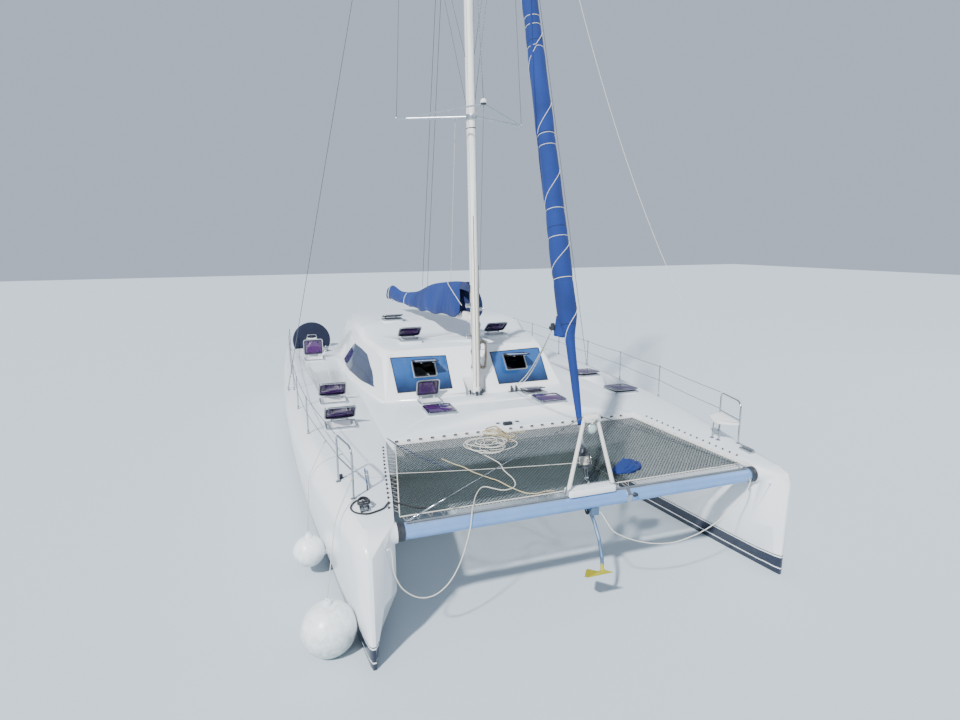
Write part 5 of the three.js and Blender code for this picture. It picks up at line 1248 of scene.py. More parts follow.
# clew: a black block shackled to the sail's corner, and two white sheets down to blocks on the foredeck
CLEW = Vector((-0.245, -5.894, 3.68))
wing_rows = []
for j in range(9):
    z = 3.86 - 0.3 * j / 8
    inner = on_stay(z, eased(ROLL, z) * 0.9, -0.05)
    share = sin(pi * min(1.0, 0.12 + 0.52 * j / 8) if j < 8 else pi * 0.9)
    outer = inner.lerp(CLEW + Vector((0.02, 0.01, 0.1 - 0.26 * j / 8)), 0.95 * share)
    wing_rows.append([inner.lerp(outer, k / 6) + Vector((0, 0, -0.012 * sin(pi * k / 6))) for k in range(7)])
wing, wing_area = cloth("headsail_clew_corner", wing_rows, 0.01, 0.0)
dress(wing, royal_canvas)
clew_parts = [spun("sheave", both_ways([(0, 0.016), (0.034, 0.016), (0.04, 0.01), (0.03, 0)]),
        along(CLEW + Vector((0, 0.016, -0.01)), CLEW + Vector((0, -0.1, -0.01))), 20),
    block("shell", (0.052, 0.04, 0.1), Matrix.Translation(CLEW + Vector((0.004, 0, 0.002))), 0.01)]
dress(joined("clew_block", clew_parts), cast_black)
SHEET_ENDS = [(0.735, -2.03, 1.845), (0.84, -2.03, 1.835)]
sheet_blocks = []
for k, end in enumerate(SHEET_ENDS):
    start = CLEW + Vector((0.0, 0.01 * k, -0.03))
    points = [start.lerp(Vector(end), j / 24) + Vector((0, 0, -0.16 * sin(pi * j / 24))) for j in range(25)]
    dress(tube(f"headsail_sheet_{k + 1}", points, 0.0075, 8, 0.03), rope_white)
    sheet_blocks.append(spun("sheave", both_ways([(0, 0.013), (0.032, 0.013), (0.037, 0.008), (0.028, 0)]),
                             at(end[0], end[1] + 0.036, end[2] - 0.012) @ turned(90, "Y"), 20))
    sheet_blocks.append(block("shell", (0.036, 0.05, 0.11), at(end[0], end[1] + 0.036, end[2] - 0.05),
            0.01))
sheet_blocks.append(block("track", (0.24, 0.036, 0.012), at(0.787, -1.994, 1.736), 0.003))
dress(joined("headsail_sheet_blocks", sheet_blocks), cast_black)

# Mast. A white-painted oval aluminium extrusion with a luff groove aft stands on a cast step. It carries
# the boom's gooseneck, halyard winches and cleats, and swept spreaders whose wires brace it; the cap
# shrouds hold it sideways.
MAST_SECTIONS = [(1.752, 0.082, 0.118), (3.0, 0.082, 0.118), (7.0, 0.082, 0.118), (14.0, 0.082, 0.118),
                 (17.9, 0.072, 0.1), (18.7, 0.056, 0.076)]
MAST_SIDES = 64
GROOVE_DEPTH = 0.013
HOUNDS_Z = 17.9
MAST_TOP_Z = 18.7
PIVOT = (0.0, -1.62, 3.28)
CHAINPLATE = (3.66, 0.1)
BAND_Z = 6.93

# mast paint: white polyurethane on aluminium, satin, with faint grey runs down from the fittings
mast_paint, tree, shader = surface("white_mast_paint", {"Coat Weight": 0.25, "Coat Roughness": 0.2})
place = add_node(tree, "TexCoord").outputs["Object"]
drawn = add_node(tree, "Mapping", {"Scale": (26.0, 26.0, 0.7)}, {"Vector": place})
runs = add_node(tree, "TexNoise", {"Scale": 1.0, "Detail": 4.0}, {"Vector": drawn.outputs[0]})
run_tone = add_node(tree, "ValToRGB", links={"Fac": runs.outputs["Fac"]})
run_tone.color_ramp.elements[0].position = 0.3
run_tone.color_ramp.elements[0].color = linear("#CFCFC9")
run_tone.color_ramp.elements[1].position = 0.52
run_tone.color_ramp.elements[1].color = linear("#F4F2EB")
feed(shader, "Base Color", run_tone.outputs["Color"])
run_rough = add_node(tree, "MapRange", {"To Min": 0.5, "To Max": 0.3}, {"Value": runs.outputs["Fac"]})
feed(shader, "Roughness", run_rough.outputs[0])
orange_peel = add_node(tree, "TexNoise", {"Scale": 160.0}, {"Vector": place})
peel = add_node(tree, "Bump", {"Strength": 0.3, "Distance": 0.0003}, {"Height": orange_peel.outputs["Fac"]})
feed(shader, "Normal", peel.outputs["Normal"])


def flecked_rope(name, light, fleck):
    """Braided halyard rope on the tube's UV map: a pale braid with coloured tracer strands."""
    material, tree, shader = surface(name, {"Roughness": 0.9, "Sheen Weight": 0.2})
    uv = add_node(tree, "TexCoord").outputs["UV"]
    braid = add_node(tree, "TexChecker", {"Scale": 3.0}, {"Vector": uv})
    braid.inputs["Color1"].default_value = linear(light)
    braid.inputs["Color2"].default_value = linear(fleck)
    grime = add_node(tree, "TexNoise", {"Scale": 1.5}, {"Vector": uv})
    worn = add_node(tree, "Mix", {"data_type": "RGBA", 7: linear(light)},
        {"Factor": grime.outputs["Fac"], 6: braid.outputs["Color"]})
    feed(shader, "Base Color", worn.outputs[2])
    knit = add_node(tree, "Bump", {"Strength": 0.6, "Distance": 0.002}, {"Height": braid.outputs["Fac"]})
    feed(shader, "Normal", knit.outputs["Normal"])
    return material


brown_rope = flecked_rope("brown_flecked_braid", "#8D7B60", "#3B3226")
olive_rope = flecked_rope("olive_flecked_braid", "#B7AE93", "#4A4836")
black_rope = flecked_rope("black_braid", "#23242A", "#111216")


def mast_y(z):
    return -1.87 + 0.0356 * (z - 1.9)


def mast_size(z):
    return (eased([(row[0], row[1]) for row in MAST_SECTIONS], z),
        eased([(row[0], row[2]) for row in MAST_SECTIONS], z))


def lofted(name, rings, smooth=35):
    """A closed skin through rings of points, capped at both ends."""
    mesh = bmesh.new()
    grid = [[mesh.verts.new(p) for p in ring] for ring in rings]
    count = len(rings[0])
    for low, high in zip(grid, grid[1:]):
        for k in range(count):
            mesh.faces.new((low[k], low[(k + 1) % count], high[(k + 1) % count], high[k]))
    mesh.faces.new(list(reversed(grid[0])))
    mesh.faces.new(grid[-1])
    bmesh.ops.recalc_face_normals(mesh, faces=mesh.faces)
    piece = made(name, mesh)
    bpy.context.view_layer.objects.active = piece
    piece.select_set(True)
    return placed(piece, None, 0.0, smooth)


mast_rings = []
for z, half_width, half_length in MAST_SECTIONS:
    ring = [Vector((x, mast_y(z) + y, z)) for x, y in ellipse(half_width, half_length, MAST_SIDES)]
    ring[MAST_SIDES // 4].y -= GROOVE_DEPTH
    mast_rings.append(ring)
mast = dress(lofted("mast_extrusion", mast_rings, 28), mast_paint)
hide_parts("mast")

step = slab("step", [(-0.104, -0.139), (0.104, -0.139), (0.104, 0.139), (-0.104, 0.139)], 1.7305, 1.744,
            at(0, mast_y(1.73), 0), 0.045, 0.003)
step_wall = frame_ring("step_wall", ellipse(0.094, 0.13, 40),
                       0.012, 1.742, 1.775, at(0, mast_y(1.75), 0), 0.0, 0.002)
step_bolts = repeated("bolts", spun("bolt", BOLT, None, 6),
    [at(x, mast_y(1.73) + y, 1.7435) for x in (-0.084, 0.084) for y in (-0.118, 0.118)])
cheeks = [block("cheek", (0.056, 0.144, 0.016), at(0, (mast_y(3.28) + 0.09 + PIVOT[1] + 0.026) / 2, z),
        0.003) for z in (3.338, 3.222)]
gooseneck_pin = spun("pin", [(0, -0.064), (0.01, -0.064), (0.01, 0.06), (0.016, 0.062), (0.016, 0.07),
        (0.012, 0.073), (0, 0.073)], Matrix.Translation(PIVOT), 24)
gooseneck_foot = slab("foot", [(-0.045, -0.1), (0.045, -0.1), (0.045, 0.1), (-0.045, 0.1)], -0.01, 0.006,
    at(0, mast_y(3.28) + 0.118, 3.28) @ turned(-90, "X"), 0.02, 0.002)
hounds = block("hounds", (0.2, 0.16, 0.046), at(0, mast_y(HOUNDS_Z) - 0.03, HOUNDS_Z + 0.005), 0.008)
crane = block("crane", (0.078, 0.258, 0.042), at(0, mast_y(MAST_TOP_Z), MAST_TOP_Z + 0.003), 0.006)
dress(joined("mast_castings", [step, step_wall, step_bolts, *cheeks, gooseneck_pin, gooseneck_foot, hounds,
            crane]), satin_aluminium)
half_width, half_length = mast_size(BAND_Z)
band = frame_ring("mast_black_band", ellipse(half_width + 0.004, half_length + 0.004, 48), 0.006, -0.008,
    0.008, at(0, mast_y(BAND_Z), BAND_Z), 0.0, 0.001)
dress(band, black_sealant)

# halyard winches: height, side, distance forward of the mast's middle
WINCHES = [(3.47, 1, 0.0), (3.55, -1, -0.01), (2.93, -1, 0.0)]
winch_drum = [(0, 0), (0.056, 0), (0.058, 0.004), (0.056, 0.016), (0.044, 0.024), (0.039, 0.05),
    (0.041, 0.078), (0.047, 0.084), (0.049, 0.092), (0.043, 0.098), (0.02, 0.101), (0.017, 0.094),
    (0, 0.094)]
winches = []
for z, side, ahead in WINCHES:
    half_width = mast_size(z)[0]
    winches.append(spun("winch", winch_drum, along((side * (half_width - 0.003), mast_y(z) - ahead, z),
                                                   (side * (half_width + 0.1), mast_y(z) - ahead, z)), 28))
for z, side in ((2.7, 1), (2.62, -1), (3.15, 1), (2.3, -1)):
    half_width = mast_size(z)[0]
    winches.append(block("cleat_foot", (0.03, 0.02, 0.046),
            at(side * (half_width + 0.01), mast_y(z) - 0.035, z), 0.004))
    winches.append(tube("cleat_horn",
            [Vector((side * (half_width + 0.026 - 0.01 * abs(j)), mast_y(z) - 0.035, z + 0.042 * j))
                for j in (-1.6, -1, 0, 1, 1.6)], [0.004, 0.007, 0.009, 0.007, 0.004], 10))
dress(joined("mast_winches", winches), polished_stainless)

# halyards down the mast: rope, offsets from its middle, from height to height, radius
HALYARDS = [
    (black_rope, 0.0885, 0.0, 1.95, 17.6, 0.0065), (rope_white, -0.07, -0.0735, 2.0, 11.8, 0.0055),
    (brown_rope, -0.03, -0.118, 1.9, 5.3, 0.006), (olive_rope, 0.035, -0.1145, 1.9, 4.05, 0.006),
    (rope_white, 0.06, -0.09, 1.9, 3.5, 0.006), (brown_rope, 0.078, -0.056, 2.3, 4.35, 0.0065),
    (olive_rope, -0.086, -0.04, 2.35, 3.95, 0.006),
]
for k, (material, dx, dy, low, high, radius) in enumerate(HALYARDS):
    points = []
    for j in range(25):
        z = low + (high - low) * j / 24
        width, length = mast_size(z)
        points.append(Vector((dx * width / 0.082, mast_y(z) + dy * length / 0.118, z)))
    dress(tube(f"halyard_{k + 1}", points, radius, 8, 0.03), material)
blocks = [spun("sheave", both_ways([(0, 0.012), (0.03, 0.012), (0.034, 0.008), (0.026, 0)]), at(x, y, 1.795)
        @ turned(90, axis), 18) for x, y, axis in ((-0.045, -2.055, "X"), (0.045, -2.05, "X"),
        (-0.135, -1.9, "Y"), (0.135, -1.9, "Y"))]
blocks += [block("becket", (0.03, 0.03, 0.04), at(x, y, 1.752), 0.004)
           for x, y in ((-0.045, -2.055), (0.045, -2.05), (-0.135, -1.9), (0.135, -1.9))]
dress(joined("mast_foot_blocks", blocks), cast_black)

# spreaders: name, height, reach, sweep, reach of the forward strut
SPREADERS = [("lower", 7.13, 1.31, 0.63, 0.75), ("upper", 12.6, 1.0, 0.48, 0.0)]
tips = [(reach, mast_y(z) + sweep, z + 0.02) for name, z, reach, sweep, strut in SPREADERS]
for level, (name, z, reach, sweep, strut) in enumerate(SPREADERS):
    half_width, half_length = mast_size(z)
    arms = [frame_ring("collar", ellipse(half_width + 0.024, half_length + 0.024, 48), 0.0225, -0.043,
            0.043, at(0, mast_y(z), z), 0.0, 0.004)]
    wires = []
    over = tips[level + 1] if level + 1 < len(tips) else (0.074, mast_y(HOUNDS_Z - 0.3), HOUNDS_Z - 0.3)
    for sign in (-1, 1):
        root_point, tip = (sign * 0.085, mast_y(z), z), (sign * tips[level][0], tips[level][1],
            tips[level][2])
        arms.append(tube("arm", straight(root_point, tip, 8), [0.034 - 0.0017 * j for j in range(9)], 20))
        arms.append(spun("tip_boot", [(0, -0.03), (0.016, -0.028), (0.026, -0.012), (0.027, 0.01),
                    (0.02, 0.026), (0, 0.03)], along(tip, (tip[0], tip[1], tip[2] + 1)), 16))
        wires.append(tube("wire", straight(tip, (sign * over[0], over[1], over[2]), 10), 0.005, 8, 0.03))
        inner = (tip, (sign * half_width, mast_y(8.2), 8.2))
        if not level:
            inner = ((sign * half_width, mast_y(z) + 0.02, z + 0.22), (sign * over[0], over[1], over[2]))
        wires.append(tube("wire", straight(*inner, 10), 0.004, 6, 0.03))
        if strut:
            arms.append(tube("bar", straight((0, mast_y(z) - strut, z + 0.09), tip, 6), 0.015, 16))
    if strut:
        nose = (0, mast_y(z) - strut, z + 0.09)
        arms.append(tube("strut", straight((0, mast_y(z) - 0.118, z), nose, 6),
                [0.024 - 0.001 * j for j in range(7)], 18))
        wires.append(tube("wire", straight(nose, (0.0, mast_y(12.5) - 0.118, 12.5), 10), 0.005, 8, 0.03))
        wires.append(tube("wire", straight(nose, (0.092, mast_y(3.9) - 0.075, 3.9), 10), 0.004, 8, 0.03))
        dome = spun("deck_light_dome", [(0, 0.014), (0.056, 0.014), (0.06, 0.022), (0.057, 0.052),
                (0.044, 0.078), (0.022, 0.091), (0, 0.094)], Matrix.Translation(nose), 28)
        dress(dome, white_nylon)
        dress(spun("deck_light_base", [(0, -0.016), (0.034, -0.016), (0.05, -0.004), (0.052, 0.012),
                    (0.046, 0.0145), (0, 0.0145)], Matrix.Translation(nose), 28), cast_black)
    dressed = dress(joined(f"spreaders_{name}_arms", arms), satin_aluminium)
    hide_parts(f"spreaders_{name}")
    dress(joined(f"spreader_wires_{name}", wires), rigging_wire)

for side, sign in SIDES:
    foot, head = (sign * CHAINPLATE[0], CHAINPLATE[1], 1.703), (sign * 0.111, mast_y(HOUNDS_Z),
        HOUNDS_Z - 0.008)
    share = 0.38 / (Vector(head) - Vector(foot)).length
    shroud = tube(f"cap_shroud_{side}",
        [between(foot, head, share + (1 - share) * j / 16) for j in range(17)], 0.006, 10, 0.03)
    dress(shroud, rigging_wire)
    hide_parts(f"shroud_{side}")
    screw = bottle_screw(f"shroud_bottle_screw_{side}", foot, between(foot, head, share), 0.015)
    dress(screw, polished_stainless)

# masthead: tricolour light, wind vane and aerial
top = Vector((0, mast_y(MAST_TOP_Z), MAST_TOP_Z + 0.024))
masthead = [spun("light", [(0, 0), (0.03, 0), (0.034, 0.006), (0.032, 0.012), (0.032, 0.06), (0.034, 0.066),
            (0.026, 0.076), (0, 0.08)], Matrix.Translation(top + Vector((0, -0.075, 0))), 24),
    tube("aerial", [top + Vector((0.022, 0.085, 0.0)), top + Vector((0.022, 0.085, 0.08)),
            top + Vector((0.022, 0.087, 0.46))], [0.009, 0.004, 0.0018], 10),
    tube("vane_post", [top + Vector((-0.022, 0.03, 0.0)), top + Vector((-0.022, 0.03, 0.22))], 0.004, 10),
    tube("vane_arm", [top + Vector((-0.022, -0.16, 0.225)), top + Vector((-0.022, 0.2, 0.225))], 0.003, 8)]
masthead.append(block("vane_tail", (0.002, 0.08, 0.055),
        Matrix.Translation(top + Vector((-0.022, 0.175, 0.225))), 0.0005))
dress(joined("masthead_gear", masthead), black_sealant)

# Boom and mainsail cover. The white-painted boom turns on the gooseneck pin. The lowered sail lies on it
# under a royal-blue canvas cover, gathered by two white ties, with navy flaps beside the mast and cord
# lazyjacks above.
BOOM_REST = radians(7)
BOOM_LENGTH = 5.6
boom_place = Matrix.Translation(PIVOT) @ Matrix.Rotation(BOOM_REST, 4, "Z")
# distance along the boom, height or half width
COVER_TOP = [(0.125, 3.94), (0.42, 3.985), (1.2, 3.935), (2.2, 3.815), (3.15, 3.59), (3.95, 3.505),
    (4.6, 3.49), (5.2, 3.59), (5.42, 3.585), (5.6, 3.51)]
COVER_HALF = [(0.125, 0.12), (0.42, 0.165), (1.2, 0.185), (2.2, 0.185), (3.15, 0.165), (4.6, 0.15),
    (5.2, 0.135), (5.6, 0.095)]
COVER_BOTTOM = [(0.125, 3.262), (0.6, 3.245), (1.6, 3.208), (2.47, 3.176), (3.15, 3.18), (3.7, 3.192),
    (4.3, 3.205), (5.6, 3.235)]
# share of the way from the ridge to the hem, share of the half width, share of the height
COVER_OUT = [(0, 0.0), (0.13, 0.24), (0.36, 0.57), (0.62, 0.87), (0.84, 0.95), (1.0, 0.78)]
COVER_UP = [(0, 1.0), (0.13, 0.965), (0.36, 0.8), (0.62, 0.49), (0.84, 0.2), (1.0, 0.0)]
COVER_FRONT = [(0.0, 0.48), (0.12, 0.3), (0.45, 0.285), (0.75, 0.37), (0.9, 0.43), (1.0, 0.38)]
COVER_TIES = [3.95, 5.4]
COVER_NOSE = 0.45
TIE_WHITE = "#E9E7DF"
FLAP_NAVY, FLAP_DARK = "#1B2D63", "#121E45"

navy_canvas = woven("navy_canvas_lining", FLAP_NAVY, FLAP_DARK, CANVAS_THREAD)
tie_webbing = woven("white_polyester_webbing", TIE_WHITE, "#C9C6BC", 0.004, 0.0, 0.3, 0.001)

dress(panel_copy("boom", "boom_spar", 0.0), mast_paint, body="boom")
end_casting = slab("casting", [(-0.067, -0.097), (0.067, -0.097), (0.067, 0.097), (-0.067, 0.097)], 0.0,
    0.026, boom_place @ at(0, BOOM_LENGTH + 0.026, 0) @ turned(90, "X"), 0.04, 0.006)
outhaul = spun("sheave", both_ways([(0, 0.01), (0.03, 0.01), (0.035, 0.006), (0.026, 0)]),
               boom_place @ at(0, BOOM_LENGTH + 0.044, 0.03) @ turned(90, "Y"), 20)
lugs = [block("lug", (0.014, 0.06, 0.05), boom_place @ at(0, y, -0.115), 0.004) for y in (3.3, 3.45, 5.35)]
dress(joined("boom_castings", [end_casting, outhaul, *lugs]), satin_aluminium, body="boom")


def cover_at(t, q, proud=0.0):
    """A point of the cover: t runs from its front edge aft, q from starboard hem over the ridge to port."""
    side, way = (-1 if q < 0 else 1), abs(q)
    up = eased(COVER_UP, way)
    front = eased(COVER_FRONT, max(0.0, min(1.0, up)))
    run = front + (BOOM_LENGTH - front) * t
    low, top, half = eased(COVER_BOTTOM, run), eased(COVER_TOP, run), eased(COVER_HALF, run)
    pinch = 1 - 0.1 * sum(exp(-((run - tie) / 0.07) ** 2) for tie in COVER_TIES)
    swell = noise.noise(Vector((run * 0.9, side * 2.0, 7.0)))
    fold = 0.0012 * (1 + swell) * sin(2 * pi * (run + 0.22 * swell) / 0.41 + 2.2 * way
        + 3 * side) * min(1.0, way * 2.2)
    fold += 0.046 * noise.noise(Vector((run * 2.6, side * 3.0 + way * 1.5, 4.0))) * way
    fold += 0.003 * sin(2 * pi * (run / 0.19 - 1.4 * way) + side) * way * way
    out = eased(COVER_OUT, way) * half * pinch + fold * min(1.0, 4 * way) + proud * min(1.0, 3 * way)
    ridge = low + (top - low) * up * (0.4 + 0.6 * pinch if way < 0.5 else 1.0) + proud * (1 - way)
    sag = 0.02 * sin(2 * pi * run / 0.95) * way ** 6
    return boom_place @ Vector((side * out, run, ridge + sag - PIVOT[2]))


cover_rows = [[cover_at(i / 150, -1 + k / 24) for k in range(49)] for i in range(151)]
cover_rows = [list(reversed(row)) for row in cover_rows]
cover, cover_area = cloth("mainsail_cover", cover_rows, 0.004)
dress(cover, royal_canvas, body="boom")
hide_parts("sail_cover")
ties = []
for tie in COVER_TIES:
    share = (tie - COVER_NOSE) / (BOOM_LENGTH - COVER_NOSE)
    strap, area = cloth(f"cover_tie_{len(ties) + 1}",
        [list(reversed([cover_at(share + w, -1 + k / 24, 0.006) for k in range(49)]))
            for w in (-0.0042, 0.0, 0.0042)], 0.003, 1.0)
    ties.append(dress(strap, tie_webbing, "boom"))
closing_rows = []
for i in range(13):
    z = 3.215 + (3.5 - 3.215) * i / 12
    half = 0.085 * sin(pi * (0.1 + 0.8 * (1 - i / 12) ** 0.8)) ** 0.7
    closing_rows.append(
        [boom_place
            @ Vector((-half + 2 * half * k / 10, 5.6 + 0.03 * sin(pi * k / 10) * sin(pi * (i + 1) / 14),
                z - PIVOT[2])) for k in range(11)])
closing = cloth("mainsail_cover_end", [list(reversed(row)) for row in closing_rows], 0.004)[0]
dress(closing, navy_canvas, body="boom")
# front curtain: a navy sheet recessed across the cover's open front, painted shade standing in for the deep
# shadow between the cover and the mast, and hiding the sail inside
shade_curtain_rows = []
for i in range(21):
    share = 0.02 + 0.95 * i / 20
    way = next(q / 200 for q in range(201) if eased(COVER_UP, q / 200) <= share)
    left, right = cover_at(0.004, -way, -0.006), cover_at(0.004, way, -0.006)
    row = []
    for k in range(17):
        t = k / 16
        inward = 0.16 * sin(pi * t) ** 0.6 + 0.015 * sin(9 * t + 4 * share)
        row.append(left.lerp(right, t) + boom_place.to_3x3() @ Vector((0, inward, 0)))
    shade_curtain_rows.append(list(reversed(row)))
shade_curtain, shade_curtain_area = cloth("mainsail_cover_shade_curtain", shade_curtain_rows, 0.004, 0.0)
dress(shade_curtain, navy_canvas, body="boom")

# rolled sail showing under the hem, cream Dacron, and the front flaps beside the mast
sailcloth = woven("cream_sailcloth", "#E9E1CC", "#C6B798", 0.004, 0.0, 0.35, 0.01)
stowed_rows = []
for i in range(61):
    run = 0.62 + (5.5 - 0.62) * i / 60
    half = eased(COVER_HALF, run) * 0.62
    top = eased(COVER_TOP, run) - 0.1 - PIVOT[2]
    row = []
    for k in range(25):
        angle = 2 * pi * k / 24
        wave = 1 + 0.07 * sin(3 * angle + run * 5) + 0.05 * noise.noise(
            Vector((cos(angle), sin(angle), run * 3)))
        row.append(boom_place
            @ Vector((half * cos(angle) * wave, run, 0.11 + (top - 0.11) / 2
                    + (top - 0.11) / 2 * sin(angle) * 0.96)))
    stowed_rows.append(list(reversed(row)))
stowed, stowed_area = cloth("mainsail_stowed", stowed_rows, 0.01)
dress(stowed, sailcloth, "boom")
# flap, side, its lowest and highest share of the cover's height, bulge
FLAPS = [("starboard", -1, 0.8, 1.0, 0.02), ("port", 1, 0.06, 1.0, 0.15)]
for name, side, low_share, high_share, bulge in FLAPS:
    rows = []
    for i in range(25):
        share = low_share + (high_share - low_share) * i / 24
        way = next(q / 200 for q in range(201) if eased(COVER_UP, q / 200) <= share)
        edge = cover_at(0.0, side * way)
        z = edge.z
        mast_edge = Vector((side * (0.088 + 0.012 * (1 - share)), mast_y(z) - 0.01,
                z - 0.02 - 0.05 * (1 - share)))
        if side > 0:
            mast_edge = mast_edge.lerp(edge, 0.3 * (1 - share))
        row = []
        for k in range(15):
            t = k / 14
            arch = sin(pi * t) * bulge * (0.35 + 0.65 * sin(pi * min(1.0, share + 0.15)))
            ripple = 0.012 * sin(7 * share + 5 * t) * sin(pi * t)
            row.append(mast_edge.lerp(edge, t)
                + Vector((side * (arch + ripple), -0.4 * arch, 0.02 * sin(pi * t))))
        rows.append(row if side > 0 else list(reversed(row)))
    flap, flap_area = cloth(f"cover_flap_{name}", rows, 0.004, 0.0)
    flap.data.materials.append(navy_canvas)
    width = max(path_length(row) for row in rows)
    length = path_length([row[7] for row in rows])
    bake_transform(flap)

# lazyjacks and a white flag halyard: cords from the mast and the spreader down to the cover
# name, top, distance along the boom, sideways on it, height there, radius, rope
JACKS = [
    ("lazyjack_starboard", (-0.05, mast_y(15.8) + 0.108, 15.8), 2.7, -0.06, 3.735, 0.0045, black_rope),
    ("lazyjack_port", (0.05, mast_y(15.8) + 0.108, 15.8), 2.72, 0.075, 3.73, 0.0045, black_rope),
    ("lazyjack_fore", (-0.27, mast_y(7.13) + 0.13, 7.1), 0.95, -0.05, 3.95, 0.0045, rope_white),
]
for name, top_point, run, across, z, radius, rope in JACKS:
    end = boom_place @ Vector((across, run, z - PIVOT[2]))
    points = [Vector(top_point).lerp(end, j / 40) for j in range(41)]
    jack = tube(name, points, radius, 6, 0.03)
    jack.data.materials.append(rope)
    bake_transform(jack)
cover_line = [cover_at(0.145 - 0.16 * j / 10, -0.1 - 0.62 * j / 10, 0.012) for j in range(11)]
dress(tube("cover_front_line", smooth_points(cover_line, 0.03), 0.007, 8, 0.03), rope_white, body="boom")

# Pulpits and guardrails. Bent polished stainless tube stands on the bows, the port frame with a white
# plastic seat; tapered stanchions in cast sockets carry two plastic-covered wire lifelines aft.
PULPIT_AFT = (3.121, -5.379)
PULPIT_FORE = (2.993, -5.965)
PULPIT_ROUTE = [(*PULPIT_AFT, 1.6), (*PULPIT_AFT, 2.29), (3.112, -5.42, 2.33), (3.01, -5.887, 2.33),
    (*PULPIT_FORE, 2.27), (*PULPIT_FORE, 1.56)]
PULPIT_RAIL_Z = 2.03
STANCHIONS = [(3.4057, -3.3), (3.5085, -1.7), (3.5399, -0.15), (3.557, 1.5), (3.546, 3.3), (3.5, 4.7)]
STANCHION_TOP = 2.35
LIFELINES = [2.0524, 2.3314]

# white plastic board: polyethylene, satin, chalky where feet have rubbed it
white_board = mottled("white_polyethylene_board", "#F6F7F5", "#E6E7E3", {}, 0.12, 0.004, 0.0004, (0.4, 0.6))


def bent(route, bend=0.05):
    """Points of a tube bent at each corner of its route."""
    points = [Vector(route[0])]
    for a, p, b in zip(route, route[1:], route[2:]):
        a, p, b = Vector(a), Vector(p), Vector(b)
        near = min(bend, (a - p).length * 0.45, (b - p).length * 0.45)
        start, end = p + (a - p).normalized() * near, p + (b - p).normalized() * near
        for j in range(6):
            t = j / 5
            points.append((1 - t) ** 2 * start + 2 * t * (1 - t) * p + t * t * end)
    points.append(Vector(route[-1]))
    return points


for side, sign in SIDES:
    mirrored = [(sign * x, y, z) for x, y, z in PULPIT_ROUTE]
    rails = [tube("frame", bent(mirrored), 0.014, 16),
        tube("mid_rail", [Vector((sign * PULPIT_AFT[0], PULPIT_AFT[1], PULPIT_RAIL_Z)),
                Vector((sign * PULPIT_FORE[0], PULPIT_FORE[1], PULPIT_RAIL_Z))], 0.011, 14)]
    feet = [(sign * PULPIT_AFT[0], PULPIT_AFT[1]), (sign * PULPIT_FORE[0], PULPIT_FORE[1])]
    if sign > 0:
        for x, y in ((2.78, -5.64), (2.8, -5.76)):
            rails.append(tube("seat_leg", [Vector((x, y, 1.974)), Vector((x - 0.003, y + 0.002, 1.9)),
                        Vector((x - 0.015, y + 0.01, 1.6))], 0.01, 12))
            feet.append((x - 0.012, y + 0.008))
    for x, y in feet:
        z = deck_height(side, x, y)
        rails.append(spun("flange", [(0.013, 0.024), (0.018, 0.022), (0.022, 0.008), (0.038, 0.005),
                    (0.038, -0.01), (0.013, -0.01)], at(x, y, z), 20))
    frame_tube = dress(joined(f"pulpit_frame_{side}", rails), polished_stainless)
    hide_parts(f"pulpit_{side}")
seat = slab("pulpit_seat", [(3.133, -5.374), (3.005, -5.973), (2.94, -5.998), (2.692, -5.839),
        (2.692, -5.701), (2.821, -5.482)], 1.971, 1.999, None, 0.04, 0.008)
dress(seat, white_board)

for side, sign in SIDES:
    posts = []
    for x, y in STANCHIONS:
        deck = deck_height(side, sign * x, y)
        posts.append(spun("stanchion", [(0, deck - 0.02), (0.026, deck - 0.02), (0.026, deck + 0.004),
                    (0.019, deck + 0.012), (0.0165, deck + 0.06), (0.015, deck + 0.064),
                    (0.013, deck + 0.066), (0.0115, STANCHION_TOP - 0.01), (0.0135, STANCHION_TOP - 0.008),
                    (0.0135, STANCHION_TOP - 0.002), (0.009, STANCHION_TOP + 0.003),
                    (0, STANCHION_TOP + 0.004)], at(sign * x, y, 0), 18))
        for z in LIFELINES:
            posts.append(spun("ferrule", both_ways([(0.0055, 0.016), (0.01, 0.014), (0.0125, 0)]),
                              at(sign * x, y, z) @ turned(90, "X"), 14))
    rails_done = dress(joined(f"stanchions_{side}", posts), polished_stainless)
    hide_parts(f"guardrail_{side}")
    lines = []
    for z in LIFELINES:
        stops = [(sign * (PULPIT_AFT[0] + 0.01), PULPIT_AFT[1] + 0.02, z),
            *[(sign * x, y, z) for x, y in STANCHIONS]]
        points = []
        for a, b in zip(stops, stops[1:]):
            points += [between(a, b, j / 8) + Vector((0, 0, -0.012 * sin(pi * j / 8))) for j in range(8)]
        points.append(Vector(stops[-1]))
        lines.append(tube("line", points, 0.005, 8, 0.03))
    dress(joined(f"lifelines_{side}", lines), rigging_wire)

# Ball fenders. Two inflated white vinyl balls hang over the starboard side, each with a ribbed rope eye, a
# moulding seam round it and a filling valve, on a white lanyard tied to the rail. name, centre, radius,
# route of the lanyard from the eye to the rail
FENDERS = [
    ("fender_forward", (-3.4158, -6.5, 0.29), 0.33, [(-3.26, -6.29, 1.56), (-2.993, -5.965, 1.95)]),
    ("fender_aft", (-3.5495, -4.72, 0.38), 0.228, [(-3.49, -4.72, 1.52), (-3.2187, -4.7, 2.0488)]),
]
